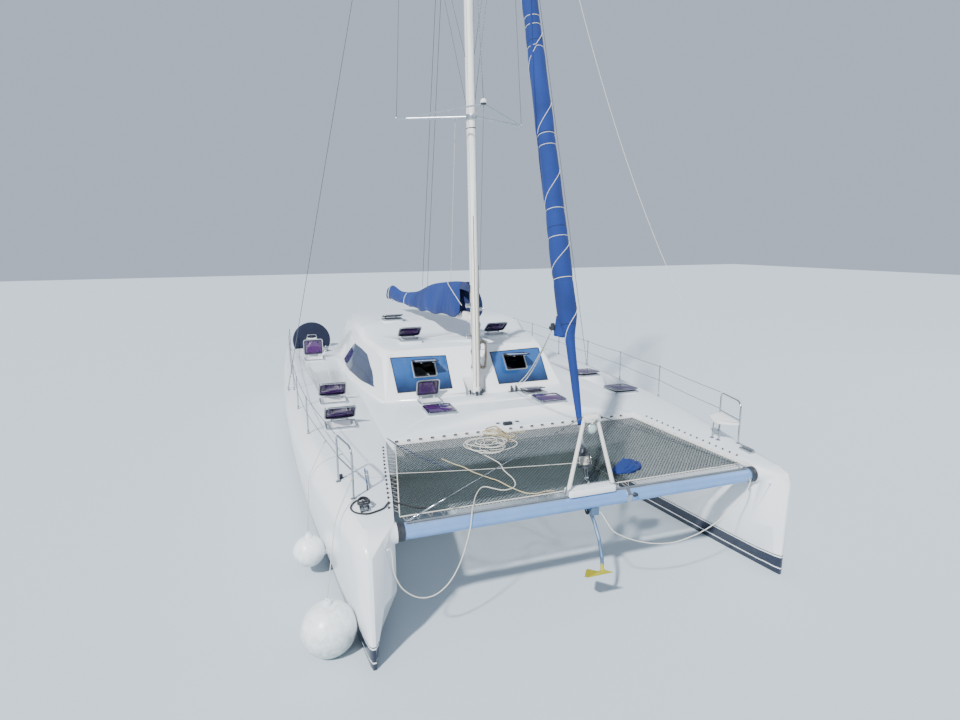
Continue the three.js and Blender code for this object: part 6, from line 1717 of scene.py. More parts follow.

# fender vinyl: inflated white PVC, soft gloss, scuffed grey in random patches, and darker and faintly green
# towards the bottom
fender_vinyl, tree, shader = surface("inflated_white_vinyl", {"Coat Weight": 0.3, "Coat Roughness": 0.25,
        "Subsurface Weight": 0.05})
place = add_node(tree, "TexCoord").outputs["Object"]
height = add_node(tree, "SeparateXYZ", links={"Vector": place})
scuff = add_node(tree, "TexNoise", {"Scale": 9.0, "Detail": 7.0, "Roughness": 0.65, "Distortion": 0.8},
    {"Vector": place})
# darker and greener towards the bottom of each ball
low = add_node(tree, "MapRange", {"From Min": 0.45, "From Max": 0.0, "To Min": 0.0, "To Max": 0.35},
    {"Value": height.outputs["Z"]})
scuffs_and_bottom_tone = add_node(tree, "Math", {"operation": "MULTIPLY_ADD", 1: 0.9},
    {0: scuff.outputs["Fac"], 2: low.outputs[0]})
vinyl_tone = add_node(tree, "ValToRGB", links={"Fac": scuffs_and_bottom_tone.outputs[0]})
vinyl_tone.color_ramp.elements[0].position = 0.42
vinyl_tone.color_ramp.elements[0].color = linear("#EEF3F4")
vinyl_tone.color_ramp.elements[1].position = 0.85
vinyl_tone.color_ramp.elements[1].color = linear("#A9B6B2")
feed(shader, "Base Color", vinyl_tone.outputs["Color"])
vinyl_rough = add_node(tree, "MapRange", {"To Min": 0.3, "To Max": 0.55}, {"Value": scuff.outputs["Fac"]})
feed(shader, "Roughness", vinyl_rough.outputs[0])
pebble = add_node(tree, "TexNoise", {"Scale": 220.0, "Detail": 2.0}, {"Vector": place})
vinyl_bump = add_node(tree, "Bump", {"Strength": 0.35, "Distance": 0.0008}, {"Height": pebble.outputs["Fac"]})
feed(shader, "Normal", vinyl_bump.outputs["Normal"])

for name, centre, radius, fast in FENDERS:
    profile = []
    for j in range(41):
        angle = -pi / 2 + pi * j / 40
        seam = 0.0025 * exp(-((j - 20) / 0.6) ** 2)
        profile.append(((radius + seam) * cos(angle), (radius + seam) * sin(angle)))
    neck = [(0.052, radius - 0.012), (0.046, radius + 0.004), (0.048, radius + 0.01),
        (0.04, radius + 0.016), (0.043, radius + 0.022), (0.034, radius + 0.028), (0.036, radius + 0.034),
        (0.024, radius + 0.04), (0, radius + 0.041)]
    profile = [p for p in profile if p[0] > 0.054 or p[1] < 0] + neck
    profile[0] = (0.0, -radius)
    ball = spun("ball", profile, Matrix.Translation(centre), 56, 60)
    eye = spun("eye", ring_profile(0.02, 0.0095, 10),
               at(centre[0], centre[1], centre[2] + radius + 0.046) @ turned(90, "X"), 24)
    valve = spun("valve", [(0, 0), (0.012, 0), (0.012, 0.003), (0.006, 0.005), (0, 0.005)],
                 along(Vector(centre) + Vector((-0.55, -0.55, 0.63)).normalized() * (radius - 0.002),
                       Vector(centre) + Vector((-0.55, -0.55, 0.63)).normalized() * (radius + 0.1)), 14)
    ball = dress(joined(f"{name}_ball", [ball, eye, valve]), fender_vinyl)
    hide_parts(name)
    top = Vector((centre[0], centre[1], centre[2] + radius + 0.06))
    route = [top, Vector(fast[0]), Vector(fast[1])]
    lanyard = [tube("lanyard", bent(route, 0.12), 0.006, 8, 0.03)]
    loop = [top + Vector((0.014 * cos(a), 0, -0.012 + 0.018 * sin(a)))
        for a in [2 * pi * j / 16 for j in range(17)]]
    lanyard.append(tube("loop", loop, 0.0055, 8, 0.03))
    end = Vector(fast[1])
    down = (Vector(fast[0]) - end).normalized()
    for j in range(4):
        spot = end + down * (0.014 + 0.013 * j)
        lanyard.append(tube("hitch", [spot + Vector((0.013 * cos(a), 0.013 * sin(a), 0.003 * sin(2 * a)))
                    for a in [2 * pi * k / 12 for k in range(13)]], 0.005, 6, 0.03))
    dress(joined(f"{name}_lanyard", lanyard), rope_white)

# Anchor gear. Under a gelcoat plate on the foredeck the windlass is sunk out of the way, with its chain
# hood and two foot switches showing. Galvanised cheeks under the beam hold a nylon roller and the plough
# anchor hanging from it.
DECK_TOP = 1.73
# the anchor's blue is painted shade and its yellow painted sunlight; its grey is the zinc's own
ANCHOR_BLUE_SHADE, ANCHOR_GREY, PAINTED_SUNLIGHT_YELLOW = "#4A6C98", "#728594", "#CFC32A"

plate = slab("windlass_plate", [(-0.34, -4.125), (0.1, -4.125), (0.1, -3.9), (-0.34, -3.9)], DECK_TOP
    + 0.001, DECK_TOP + 0.012, None, 0.03, 0.003)
dress(plate, deck_gelcoat)
hood = slab("windlass_hood", [(-0.25, -4.112), (-0.09, -4.112), (-0.09, -4.03), (-0.25, -4.03)], DECK_TOP
    + 0.01, DECK_TOP + 0.065, None, 0.02, 0.012)
slots = [block("slot", (0.12, 0.004, 0.008), at(-0.17, -4.113, DECK_TOP + z), 0.001) for z in (0.026, 0.04)]
switches = []
for x, y in ((-0.299, -3.941), (0.055, -3.954)):
    switches.append(slab("rim", rectangle(0.064, 0.064, 0.0), 0.0, 0.01, at(x, y, DECK_TOP + 0.01), 0.012,
            0.003))
    switches.append(spun("button", [(0, 0), (0.021, 0), (0.022, 0.004), (0.018, 0.012), (0.008, 0.015),
                (0, 0.0155)], at(x, y, DECK_TOP + 0.01), 20))
windlass = dress(joined("windlass_hood_and_switches", [hood, *slots, *switches]), cast_black)
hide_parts("windlass")
plate_screws = repeated("windlass_plate_screws", spun("bolt", BOLT, None, 8),
    [at(x, y, DECK_TOP + 0.0115) @ Matrix.Scale(0.6, 4) for x in (-0.325, -0.12, 0.085)
        for y in (-4.112, -3.913) if not (x == -0.12 and y < -4.0)])
dress(plate_screws, polished_stainless)

# hot-dip galvanising: dull grey zinc with a patchy spangle, its cells mixed with blue as painted shade, and
# painted yellow sunlight on the lower part of the anchor
galvanised, tree, shader = surface("galvanised_steel_painted_sun_and_shade", {"Metallic": 0.55})
place = add_node(tree, "TexCoord").outputs["Object"]
spangle = add_node(tree, "TexVoronoi", {"Scale": 70.0, "feature": "F1"}, {"Vector": place})
zinc = add_node(tree, "Mix", {"data_type": "RGBA", 6: linear(ANCHOR_BLUE_SHADE), 7: linear(ANCHOR_GREY)},
    {"Factor": spangle.outputs["Distance"]})
low_split = add_node(tree, "SeparateXYZ", links={"Vector": place})
wander = add_node(tree, "TexNoise", {"Scale": 14.0, "Detail": 4.0}, {"Vector": place})
lowered = add_node(tree, "Math", {"operation": "MULTIPLY_ADD", 1: 0.1},
    {0: wander.outputs["Fac"], 2: low_split.outputs["Z"]})
# painted sunlight: yellow over the anchor's lower part, its edge wandering with the noise
painted = add_node(tree, "MapRange", {"From Min": 0.79, "From Max": 0.765}, {"Value": lowered.outputs[0]})
zinc_with_painted_sun = add_node(tree, "Mix", {"data_type": "RGBA", 7: linear(PAINTED_SUNLIGHT_YELLOW)},
    {"Factor": painted.outputs[0], 6: zinc.outputs[2]})
feed(shader, "Base Color", zinc_with_painted_sun.outputs[2])
zinc_rough = add_node(tree, "MapRange", {"To Min": 0.42, "To Max": 0.65}, {"Value": wander.outputs["Fac"]})
feed(shader, "Roughness", zinc_rough.outputs[0])
pits = add_node(tree, "Bump", {"Strength": 0.4, "Distance": 0.0012}, {"Height": wander.outputs["Fac"]})
feed(shader, "Normal", pits.outputs["Normal"])

anchor = panel_copy("anchor", "anchor_and_cheeks", 0.004, 0.03)
dress(anchor, galvanised)
roller = spun("bow_roller",
    both_ways([(0, 0.062), (0.049, 0.062), (0.051, 0.055), (0.044, 0.012), (0.03, 0)]), at(0, -6.64, 1.32)
    @ turned(90, "Y"), 28)
dress(roller, black_sealant)
axle = repeated("bow_roller_bolts", spun("bolt", BOLT, None, 6), [
    at(side * 0.0555, y, z) @ turned(side * 90, "Y") @ Matrix.Scale(1.8, 4)
    for side in (-1, 1) for y, z in ((-6.64, 1.33), (-6.585, 1.4), (-6.735, 1.33))])
dress(axle, polished_stainless)
shackle_ring = spun("anchor_shackle", ring_profile(0.024, 0.006, 8),
                    at(0, -6.61, 1.372) @ turned(90, "Y"), 18)
dress(shackle_ring, polished_stainless)

# canvas bundle: a royal-blue cover rolled up and left on the net beside the striker's port foot
bpy.ops.mesh.primitive_uv_sphere_add(segments=64, ring_count=28, radius=1)
bundle = bpy.context.object
bundle.name = bundle.data.name = "canvas_bundle"
for vertex in bundle.data.vertices:
    x, y, z = vertex.co
    fold = noise.noise(Vector((x * 2.4, y * 3.2, z * 2.4))) * 0.34 + 0.1 * sin(9 * x
        + 5 * y) + 0.05 * sin(17 * y - 6 * x)
    crown = 1 + fold * (1 - 0.5 * abs(x))
    high = max(z, -0.35) * (0.085 + 0.02 * sin(4 * x + 1.0)) * crown
    px, py = 0.265 * x * (1 + 0.12 * fold), 0.135 * y * crown
    turned_x = cos(0.33) * px - sin(0.33) * py
    turned_y = sin(0.33) * px + cos(0.33) * py
    base = Vector((0.79 + turned_x, -6.25 + turned_y, 0.0))
    vertex.co = Vector((base.x, base.y, net_z(base.y) + 0.0335 + 0.03 + high))
bundle.select_set(True)
placed(bundle, None, 0.0, 60)
dress(bundle, royal_canvas)

# Cockpit bench. A gelcoat locker along the port side carries foam cushions in grey woven cloth. Each is a
# grid shaped like a stuffed case: crowned, swollen at its sides, with a piping cord sewn in each seam.
CUSHION_GREY, CUSHION_SHADE = "#A9B1B5", "#868F95"
PIPING_RADIUS = 0.0055
SEAT_CUSHIONS, SEAT_GAP = 4, 0.008
# cushion cloth: a matt grey weave, and its piping the same cloth cut on the bias round a cord, painted darker
# as shade along the seams
upholstery_cloth = woven("grey_upholstery_weave", CUSHION_GREY, CUSHION_SHADE, 0.005, 0.0, 0.3, 0.005,
    "Object")
piping_in_painted_shade = mottled("bias_piping_painted_shade", "#6F7B86", "#5B6670", {"Sheen Weight": 0.1}, 0.1, 0.002, 0.0004,
    (0.8, 0.95))


def cushion(name, low, high, crown=0.018, cuts=14):
    """A stuffed cushion in this box and the piping along its two seams, as two finished meshes."""
    low, high = Vector(low), Vector(high)
    middle, half = (low + high) / 2, (high - low) / 2
    thin = min(range(3), key=lambda k: half[k])
    wide = [k for k in range(3) if k != thin]
    corner = 0.62 * half[thin]
    bpy.ops.object.select_all(action="DESELECT")
    bpy.ops.mesh.primitive_cube_add(size=2)
    piece = bpy.context.object
    piece.name = piece.data.name = name
    bpy.ops.object.mode_set(mode="EDIT")
    bpy.ops.mesh.select_all(action="SELECT")
    bpy.ops.mesh.subdivide(number_cuts=cuts)
    bpy.ops.object.mode_set(mode="OBJECT")
    for vertex in piece.data.vertices:
        unit = vertex.co.copy()
        point = Vector(unit[k] * half[k] for k in range(3))
        inner = Vector(max(corner - half[k], min(half[k] - corner, point[k])) for k in range(3))
        away = point - inner
        point = inner + away.normalized() * corner
        full = (1 - unit[wide[0]] ** 2) * (1 - unit[wide[1]] ** 2)
        point[thin] += unit[thin] * crown * full
        for k in wide:
            point[k] += 0.004 * unit[k] ** 5 * (1 - unit[thin] ** 2)
        crease = noise.noise(point * 7 + middle * 3) + 0.5 * noise.noise(point * 17 + middle)
        vertex.co = middle + point + away.normalized() * 0.004 * crease
    placed(piece, None, 0.0, 60)
    lines = []
    inset = 0.28 * corner
    for sign in (-1, 1):
        outline = []
        for a, b in ((1, 1), (-1, 1), (-1, -1), (1, -1)):
            for j in range(5):
                turn = atan2(b, a) + radians(-45 + 22.5 * j)
                point = Vector((0, 0, 0))
                point[wide[0]] = a * (half[wide[0]] - corner) + (corner - inset) * cos(turn)
                point[wide[1]] = b * (half[wide[1]] - corner) + (corner - inset) * sin(turn)
                point[thin] = sign * (half[thin] - inset)
                outline.append(middle + point)
        outline.append(outline[0])
        lines.append(tube("piping", outline, PIPING_RADIUS, 6, 0.03))
    return piece, joined(name + "_piping", lines)


def cushion_row(name, low, high, count, axis):
    """A run of equal cushions side by side along an axis, all dressed."""
    low, high = Vector(low), Vector(high)
    step = (high[axis] - low[axis]) / count
    for i in range(count):
        first, last = low.copy(), high.copy()
        first[axis] = low[axis] + i * step + SEAT_GAP / 2
        last[axis] = low[axis] + (i + 1) * step - SEAT_GAP / 2
        piece, piping = cushion(f"{name}_{i + 1}", first, last)
        dress(piece, upholstery_cloth)
        dress(piping, piping_in_painted_shade)


bench = slab("bench", [(1.352, 3.152), (1.928, 3.152), (1.928, 5.498), (1.352, 5.498)], 1.152, 1.486, None,
    0.03, 0.01)
back = slab("back", [(1.812, 3.152), (1.928, 3.152), (1.928, 5.498), (1.812, 5.498)], 1.47, 1.88, None,
    0.02, 0.008)
bench_base = dress(joined("cockpit_bench_locker", [bench, back]), deck_gelcoat)
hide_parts("cockpit_bench")
locker_trim = []
for y in (3.55, 4.325, 5.1):
    locker_trim.append(frame_ring("locker_door", rectangle(0.56, 0.24), 0.01, 0, 0.006,
                                  at(1.352, y, 1.31) @ turned(-90, "Z") @ turned(90, "X"), 0.03, 0.002))
    locker_trim.append(spun("latch", [(0, 0), (0.02, 0), (0.021, 0.003), (0.016, 0.007), (0, 0.008)],
            along((1.352, y + 0.2, 1.36), (1.3, y + 0.2, 1.36)), 20))
dress(joined("cockpit_locker_trim", locker_trim), white_nylon)
cushion_row("cockpit_seat_cushion", (1.356, 3.16, 1.486), (1.796, 5.49, 1.58), SEAT_CUSHIONS, 1)
cushion_row("cockpit_back_cushion", (1.8, 3.16, 1.6), (1.868, 5.49, 1.898), SEAT_CUSHIONS, 1)

# Cockpit table. A moulded top with a rounded rim on one stainless leg; a joint line and hinges show where
# it folds.
TABLE_MIDDLE = (0.85, 4.3)
dress(panel_copy("cockpit_table", "cockpit_table_moulding", 0.012, 0.05), deck_gelcoat)
table_trim = [spun("leg_collar", [(0.061, 0.0), (0.11, 0.0), (0.112, 0.006), (0.09, 0.014), (0.068, 0.02),
            (0.066, 0.09), (0.0612, 0.092)], Matrix.Translation((*TABLE_MIDDLE, 1.151)), 32),
    spun("top_collar", [(0.0612, 0.0), (0.066, 0.002), (0.068, 0.06), (0.12, 0.068), (0.122, 0.076),
            (0.061, 0.076)], Matrix.Translation((*TABLE_MIDDLE, 1.772)), 32)]
table_trim += [block("hinge", (0.06, 0.05, 0.004), at(TABLE_MIDDLE[0], y, 1.8815), 0.0015)
    for y in (3.72, 4.3, 4.88)]
dress(joined("cockpit_table_fittings", table_trim), polished_stainless)
dress(block("cockpit_table_joint", (0.0035, 1.47, 0.0012), Matrix.Translation((*TABLE_MIDDLE, 1.8802)),
        0.0003), black_sealant)

# Saloon door. A smoked acrylic pane in a rounded aluminium frame slides on the bulkhead's inner face, hung
# on two rollers from the head track, with a pull handle inside and a flush one outside.
DOOR_MIDDLE = (0.0, 2.879, 1.91)
door_place = Matrix.Translation(DOOR_MIDDLE) @ turned(90, "X")
door_frame = frame_ring("door_frame", rectangle(0.938, 1.578), 0.058, -0.0145, 0.0145, door_place, 0.035,
    0.004)
rail = block("mid_rail", (0.84, 0.022, 0.05), at(0, DOOR_MIDDLE[1], 1.56), 0.004)
dress(joined("saloon_door_frame", [door_frame, rail]), satin_aluminium, body="saloon_door")
door_pane = slab("saloon_door_pane", rectangle(0.836, 1.476), -0.003, 0.003, door_place, 0.02, 0.001)
dress(door_pane, smoked_acrylic, body="saloon_door")
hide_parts("saloon_door")
door_seal = frame_ring("saloon_door_seal", rectangle(0.828, 1.468), 0.012, -0.006, 0.006, door_place, 0.018,
    0.001)
dress(door_seal, black_sealant, body="saloon_door")
pull = tube("pull",
    bent([(-0.43, 2.866, 1.72), (-0.43, 2.834, 1.72), (-0.43, 2.834, 2.02), (-0.43, 2.866, 2.02)], 0.02),
    0.008, 12)
flush = frame_ring("flush", rectangle(0.036, 0.12), 0.005, 0, 0.0025, at(-0.43, 2.8935, 1.87)
    @ turned(-90, "X"), 0.016, 0.001)
dress(joined("saloon_door_handles", [pull, flush]), polished_stainless, body="saloon_door")

# Bulkhead lights. Two fixed panes of smoked acrylic are bedded in black sealant in the openings beside the
# doorway.
for side, sign in SIDES:
    light_place = at(sign * 1.185, 2.988, 2.23) @ turned(90, "X")
    pane = slab(f"bulkhead_light_{side}", rectangle(1.17, 0.54), -0.01, -0.002, light_place, 0.05, 0.002)
    dress(pane, smoked_acrylic)
    bed = frame_ring(f"bulkhead_light_bed_{side}", rectangle(1.196, 0.566), 0.05, -0.004, 0.006,
        light_place, 0.06, 0.002)
    dress(bed, black_sealant)

# Helm. On the shaft from each console a steering wheel stands under a navy canvas cover drawn tight with a
# cord. The cover is a shell of cloth, dished on both faces, that turns with its wheel.
WHEEL = (2.89, 4.96, 1.95)
# distance from the shaft, distance from the wheel's plane
COVER_DISH = [(0.048, 0.03), (0.12, 0.031), (0.26, 0.029), (0.4, 0.0275), (0.48, 0.0255), (0.515, 0.0215),
    (0.533, 0.013), (0.5385, 0.0)]
COVER_CLOTH = 0.003
CONSOLE = (2.89, 4.8, 2.04)
wheel_canvas = woven("navy_wheel_cover_canvas", "#18223F", "#0E1528", 0.005, 0.0, 0.25, 0.004, "Object")
for side, sign in SIDES:
    body = f"wheel_{side}"
    profile = COVER_DISH + [(r, -h) for r, h in reversed(COVER_DISH[:-1])]
    inner = [(max(0.0495, r - 1.2 * COVER_CLOTH) if abs(h) < 0.02 else r + 0.0015 * (r < 0.05),
            h - copysign(COVER_CLOTH, h) if abs(h) > 0.001 else 0.0) for r, h in profile]
    wheel_place = at(sign * WHEEL[0], WHEEL[1], WHEEL[2]) @ turned(-90, "X")
    shell = spun(f"wheel_cover_{side}", profile + list(reversed(inner)), wheel_place, 72, 60)
    centre = Vector((sign * WHEEL[0], WHEEL[1], WHEEL[2]))
    for vertex in shell.data.vertices:
        spoke = vertex.co - centre
        out = hypot(spoke.x, spoke.z) / 0.54
        turn = atan2(spoke.z, spoke.x)
        ripple = 0.0022 * sin(6 * turn + sign) + 0.0016 * sin(17 * turn) * out
        vertex.co.y -= copysign(ripple * out * (1 - out ** 6), spoke.y)
    dress(shell, wheel_canvas, body)
    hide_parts(body)
    hub = spun(f"wheel_shaft_{side}", [(0, -0.1), (0.0385, -0.1), (0.0385, -0.034), (0.044, -0.03),
            (0.044, 0.031), (0.034, 0.036), (0.02, 0.04), (0, 0.041)], wheel_place @ turned(180, "X")
        @ Matrix.Scale(-1, 4, (0, 0, 1)), 32)
    dress(hub, polished_stainless, body=body)
    cord = tube(f"wheel_cover_cord_{side}", [centre + Vector((0.051 * cos(a), -0.031, 0.051 * sin(a)))
            for a in [2 * pi * j / 32 for j in range(33)]], 0.004, 8, 0.02)
    dress(cord, rope_white, body=body)
    # compass, engine lever and a stainless guard on the console
    top = CONSOLE[2]
    compass = [spun("bowl", [(0, 0), (0.058, 0), (0.06, 0.006), (0.052, 0.012), (0.05, 0.022), (0, 0.022)],
            at(sign * CONSOLE[0], CONSOLE[1], top), 32),
        spun("dome", [(0.046, 0.021), (0.042, 0.038), (0.03, 0.052), (0.014, 0.059), (0, 0.06), (0, 0.021)],
            at(sign * CONSOLE[0], CONSOLE[1], top), 32)]
    lever_side = sign * 3.04
    lever = [block("lever_box", (0.03, 0.11, 0.11), at(lever_side + sign * 0.014, 4.78, 1.93), 0.008),
        tube("lever_arm", [Vector((lever_side + sign * 0.03, 4.78, 1.93)),
                Vector((lever_side + sign * 0.046, 4.775, 1.97)),
                Vector((lever_side + sign * 0.046, 4.76, 2.08))], 0.008, 12)]
    dress(joined(f"helm_instruments_{side}", compass + lever), cast_black)
    guard = bent([(sign * 2.76, 4.72, top - 0.02), (sign * 2.76, 4.72, top + 0.11),
            (sign * 3.02, 4.72, top + 0.11), (sign * 3.02, 4.72, top - 0.02)], 0.05)
    dress(tube(f"helm_guard_{side}", guard, 0.011, 14), polished_stainless)
    pad = slab(f"helm_seat_pad_{side}", [(-0.222, -0.137), (0.222, -0.137), (0.222, 0.137),
            (-0.222, 0.137)], 0.0, 0.03, at(sign * 2.89, 5.475, 1.761), 0.03, 0.01)
    dress(pad, white_board)

# Deck hardware. Stainless mooring cleats cover their cast bases on the bows, self-tailing winches stand on
# the deck beside the cockpit and forked chainplates hold the shrouds.
WINCH = (2.56, 4.15)
CLEAT = (2.905, -6.25)
WINCH_PROFILE = [(0, -0.006), (0.102, -0.006), (0.104, 0.006), (0.096, 0.026), (0.0875, 0.04),
    (0.0865, 0.066), (0.087, 0.1), (0.096, 0.112), (0.098, 0.12), (0.088, 0.124), (0.098, 0.128),
    (0.096, 0.14), (0.07, 0.152), (0.03, 0.156), (0.026, 0.148), (0, 0.148)]
for side, sign in SIDES:
    metal = [spun("winch", WINCH_PROFILE, at(sign * WINCH[0], WINCH[1], 1.732), 40)]
    horn = [Vector((sign * CLEAT[0], CLEAT[1] + y, 1.698)) for y in (-0.142, -0.139, -0.132, -0.08, -0.03,
            0.03, 0.08, 0.132, 0.139, 0.142)]
    metal.append(tube("horn", horn, [0.004, 0.009, 0.0128, 0.015, 0.0165, 0.0165, 0.015, 0.0128, 0.009,
                0.004], 16))
    metal += [spun("foot", [(0.0225, -0.026), (0.018, -0.018), (0.0135, 0.0), (0.015, 0.03), (0, 0.034),
                (0, -0.026)], at(sign * CLEAT[0], CLEAT[1] + y, 1.6715), 20) for y in (-0.035, 0.035)]
    metal.append(slab("cleat_pad", [(-0.0575, -0.12), (0.0575, -0.12), (0.0575, 0.12), (-0.0575, 0.12)],
            deck_height(side, sign * 3.02, CLEAT[1]) - 0.006, 1.6745, at(sign * CLEAT[0], CLEAT[1], 0),
            0.025, 0.003))
    metal += [block("chainplate", (0.0175, 0.124, 0.08), at(sign * CHAINPLATE[0], CHAINPLATE[1], 1.6625),
            0.004)]
    dress(joined(f"deck_fittings_{side}", metal), polished_stainless)

# Saloon. Behind the smoked panes a moulded settee in an L carries grey foam cushions, and a galley counter
# with a dark worktop, basin and mixer tap runs along the port side. worktop: dark speckled stone, honed
worktop_stone = mottled("dark_stone_worktop", "#4B5157", "#33383D", {"Coat Weight": 0.2}, 0.02, 0.003,
    0.0002, (0.25, 0.4))
settee_parts = [slab("seat", [(-1.878, -0.998), (-1.302, -0.998), (-1.302, 1.598), (-1.878, 1.598)], 1.051,
        1.386, None, 0.02, 0.008),
    slab("back", [(-1.878, -0.998), (-1.79, -0.998), (-1.79, 1.598), (-1.878, 1.598)], 1.37, 1.815, None,
        0.02, 0.008), slab("wing", [(-1.318, -0.998), (-0.502, -0.998), (-0.502, -0.552), (-1.318, -0.552)],
        1.051, 1.386, None, 0.02, 0.008)]
settee_base = dress(joined("saloon_settee_base", settee_parts), deck_gelcoat)
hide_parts("saloon_settee")
cushion_row("saloon_seat_cushion", (-1.776, -0.99, 1.386), (-1.304, 1.59, 1.478), 4, 1)
cushion_row("saloon_back_cushion", (-1.788, -0.99, 1.5), (-1.722, 1.59, 1.826), 4, 1)
cushion_row("saloon_wing_cushion", (-1.296, -0.99, 1.386), (-0.506, -0.556, 1.478), 1, 0)
dress(panel_copy("galley_counter", "galley_cabinet", 0.01, 0.05), deck_gelcoat)
dress(slab("galley_worktop", [(1.238, -0.992), (1.872, -0.992), (1.872, 2.306), (1.238, 2.306)], 1.9505,
        1.972, None, 0.02, 0.004), worktop_stone)
galley_metal = [spun("basin", [(0, 0.004), (0.15, 0.004), (0.172, 0.02), (0.178, 0.052), (0.192, 0.056),
            (0.192, 0.06), (0.174, 0.06), (0.166, 0.024), (0.146, 0.01), (0, 0.01)], at(1.52, 0.25, 1.968),
        40),
    tube("tap", bent([(1.79, 0.25, 1.968), (1.79, 0.25, 2.26), (1.6, 0.25, 2.26), (1.6, 0.25, 2.18)], 0.06),
        0.011, 14), frame_ring("hob", rectangle(0.46, 0.42), 0.008, 0.0, 0.006, at(1.54, 1.4, 1.972), 0.03,
        0.002)]
galley_metal += [spun("burner", [(0, 0), (0.06, 0), (0.062, 0.008), (0.04, 0.014), (0, 0.014)],
        at(1.54 + x, 1.4 + y, 1.972), 24) for x in (-0.11, 0.11) for y in (-0.1, 0.1)]
galley_metal += [tube("drawer_pull",
        bent([(1.251, y, z), (1.222, y, z), (1.222, y + 0.18, z), (1.251, y + 0.18, z)], 0.014), 0.005, 8)
    for y in (-0.75, -0.1, 0.55, 1.2, 1.85) for z in (1.78, 1.5)]
dress(joined("galley_fittings", galley_metal), polished_stainless)

# Underwater gear. Keels, saildrive legs and rudders are painted in navy antifouling like the bottom of the
# hulls; the three-bladed folding propellers are bronze and zinc anodes are bolted on.
ANTIFOULING_SCUFFED = "#243350"
SHAFT_X, SHAFT_Z = 2.96, -0.72
# antifouling, bronze and zinc: matt navy paint scuffed paler, polished blades, dull pitted anodes
antifouling = mottled("navy_antifouling_paint", ANTIFOULING_NAVY, ANTIFOULING_SCUFFED, {}, 0.5, 0.006,
    0.0004, (0.7, 0.9))
bronze = mottled("polished_bronze", "#B98A4A", "#8A6232", {"Metallic": 0.95}, 0.06, 0.003, 0.0002,
    (0.22, 0.42))
zinc_anode = mottled("zinc_anode", "#A9ADB0", "#8B9094", {"Metallic": 0.7}, 0.02, 0.002, 0.0006, (0.5, 0.7))
for side, sign in SIDES:
    x = sign * SHAFT_X
    dress(panel_copy(f"keel_{side}", f"keel_moulding_{side}", 0.006, 0.05, 30, 50), antifouling)
    dress(panel_copy(f"saildrive_{side}", f"saildrive_leg_{side}", 0.005, 0.02, 30, 50), antifouling)
    dress(panel_copy(f"rudder_{side}", f"rudder_blade_{side}", 0.004, 0.03, 30, 50), antifouling,
        body=f"rudder_{side}")
    dress(panel_copy(f"propeller_{side}", f"propeller_casting_{side}", 0.002, 0.01, 30, 45), bronze,
        f"propeller_{side}")
    cone = spun(f"propeller_anode_{side}", [(0.0265, 0), (0.0275, 0.006), (0.022, 0.022), (0.01, 0.032),
            (0, 0.034), (0, 0)], along((x, 4.63, SHAFT_Z), (x, 4.7, SHAFT_Z)), 24)
    dress(cone, zinc_anode, body=f"propeller_{side}")
    anode = spun(f"saildrive_anode_{side}", [(0.0675, 0), (0.074, 0.004), (0.076, 0.03), (0.074, 0.056),
            (0.0675, 0.06)], along((x, 4.3, SHAFT_Z), (x, 4.4, SHAFT_Z)), 32)
    dress(anode, zinc_anode)
    screws = repeated(f"keel_screws_{side}", spun("screw", BOLT, None, 8), [
        at(x + k * 0.0755, 4.345, SHAFT_Z) @ turned(k * 90, "Y") @ Matrix.Scale(0.7, 4) for k in (-1, 1)])
    dress(screws, polished_stainless)

# Loose lines. A thick black mooring rope is turned up on the starboard cleat and lies over the deck on to
# the net; a dark navy line across the net is painted shadow, standing in for a soft shadow band there; a
# cream braided rope lies across the net, and a beige one is thrown on the rope pile.
black_braid = flecked_rope("black_braided_rope", "#23252B", "#0F1013")
shadow_band_braid = flecked_rope("navy_braid_painted_shadow", "#27314C", "#3C4A6E")
beige_braid = flecked_rope("beige_braided_rope", "#CDBE98", "#A08E66")


def loose_cord(name, points, diameter, rope):
    """A free rope along these points, dressed."""
    piece = dress(tube(name, points, diameter / 2, 10, 3.2 * diameter), rope)
    return piece


mooring = []
for j in range(33):
    turn = 2 * pi * j / 16
    wide, long = (0.071, 0.098) if j < 16 else (0.07, 0.08)
    mooring.append((-CLEAT[0] + wide * cos(turn), CLEAT[1] + long * sin(turn), 1.696 + 0.03 * abs(sin(turn))
            + 0.0014 * j))
for x, y in ((-2.84, -6.11), (-2.9, -6.045), (-3.0, -6.08), (-3.06, -6.19), (-3.02, -6.33), (-2.9, -6.43),
        (-2.77, -6.4), (-2.68, -6.35)):
    mooring.append((x, y, deck_height("starboard", x, y) + 0.016))
mooring += [(-2.615, -6.26, 1.668), (-2.575, -6.215, 1.64), (-2.52, -6.2, net_z(-6.2) + 0.022),
    (-2.425, -6.248, net_z(-6.248) + 0.02), (-2.303, -6.38, net_z(-6.38) + 0.02),
    (-2.17, -6.44, net_z(-6.44) + 0.02)]
loose_cord("mooring_rope", smooth_points(mooring, 0.02), 0.022, black_braid)
# painted shadow: a dark navy rope laid along a soft shadow band across the net
SHADOW_BAND_ROUTE = [(-2.23, -4.06), (-2.2, -4.18), (-2.095, -4.407), (-1.99, -4.64), (-1.891, -4.891),
    (-1.76, -5.11), (-1.683, -5.262), (-1.6, -5.44), (-1.543, -5.551)]
shadow_band_points = [(x, y, (1.74 if y > -4.16 else net_z(y) + (0.045 if y > -4.25 else 0.0165)))
    for x, y in SHADOW_BAND_ROUTE]
loose_cord("net_shadow_band_rope", smooth_points(shadow_band_points, 0.02), 0.016, shadow_band_braid)
CREAM_LINE = [(-1.602, -5.055), (-1.47, -5.299), (-1.375, -5.44), (-1.307, -5.62), (-1.154, -5.915),
    (-1.08, -6.02), (-0.967, -6.251), (-0.85, -6.44), (-0.72, -6.5), (-0.58, -6.48), (-0.47, -6.505)]
loose_cord("net_cream_line",
    smooth_points([(x, y, net_z(y) + 0.0305 if x < -1.0 and y < -5.9 else net_z(y) + 0.016)
            for x, y in CREAM_LINE], 0.02), 0.014, beige_braid)
heap = []
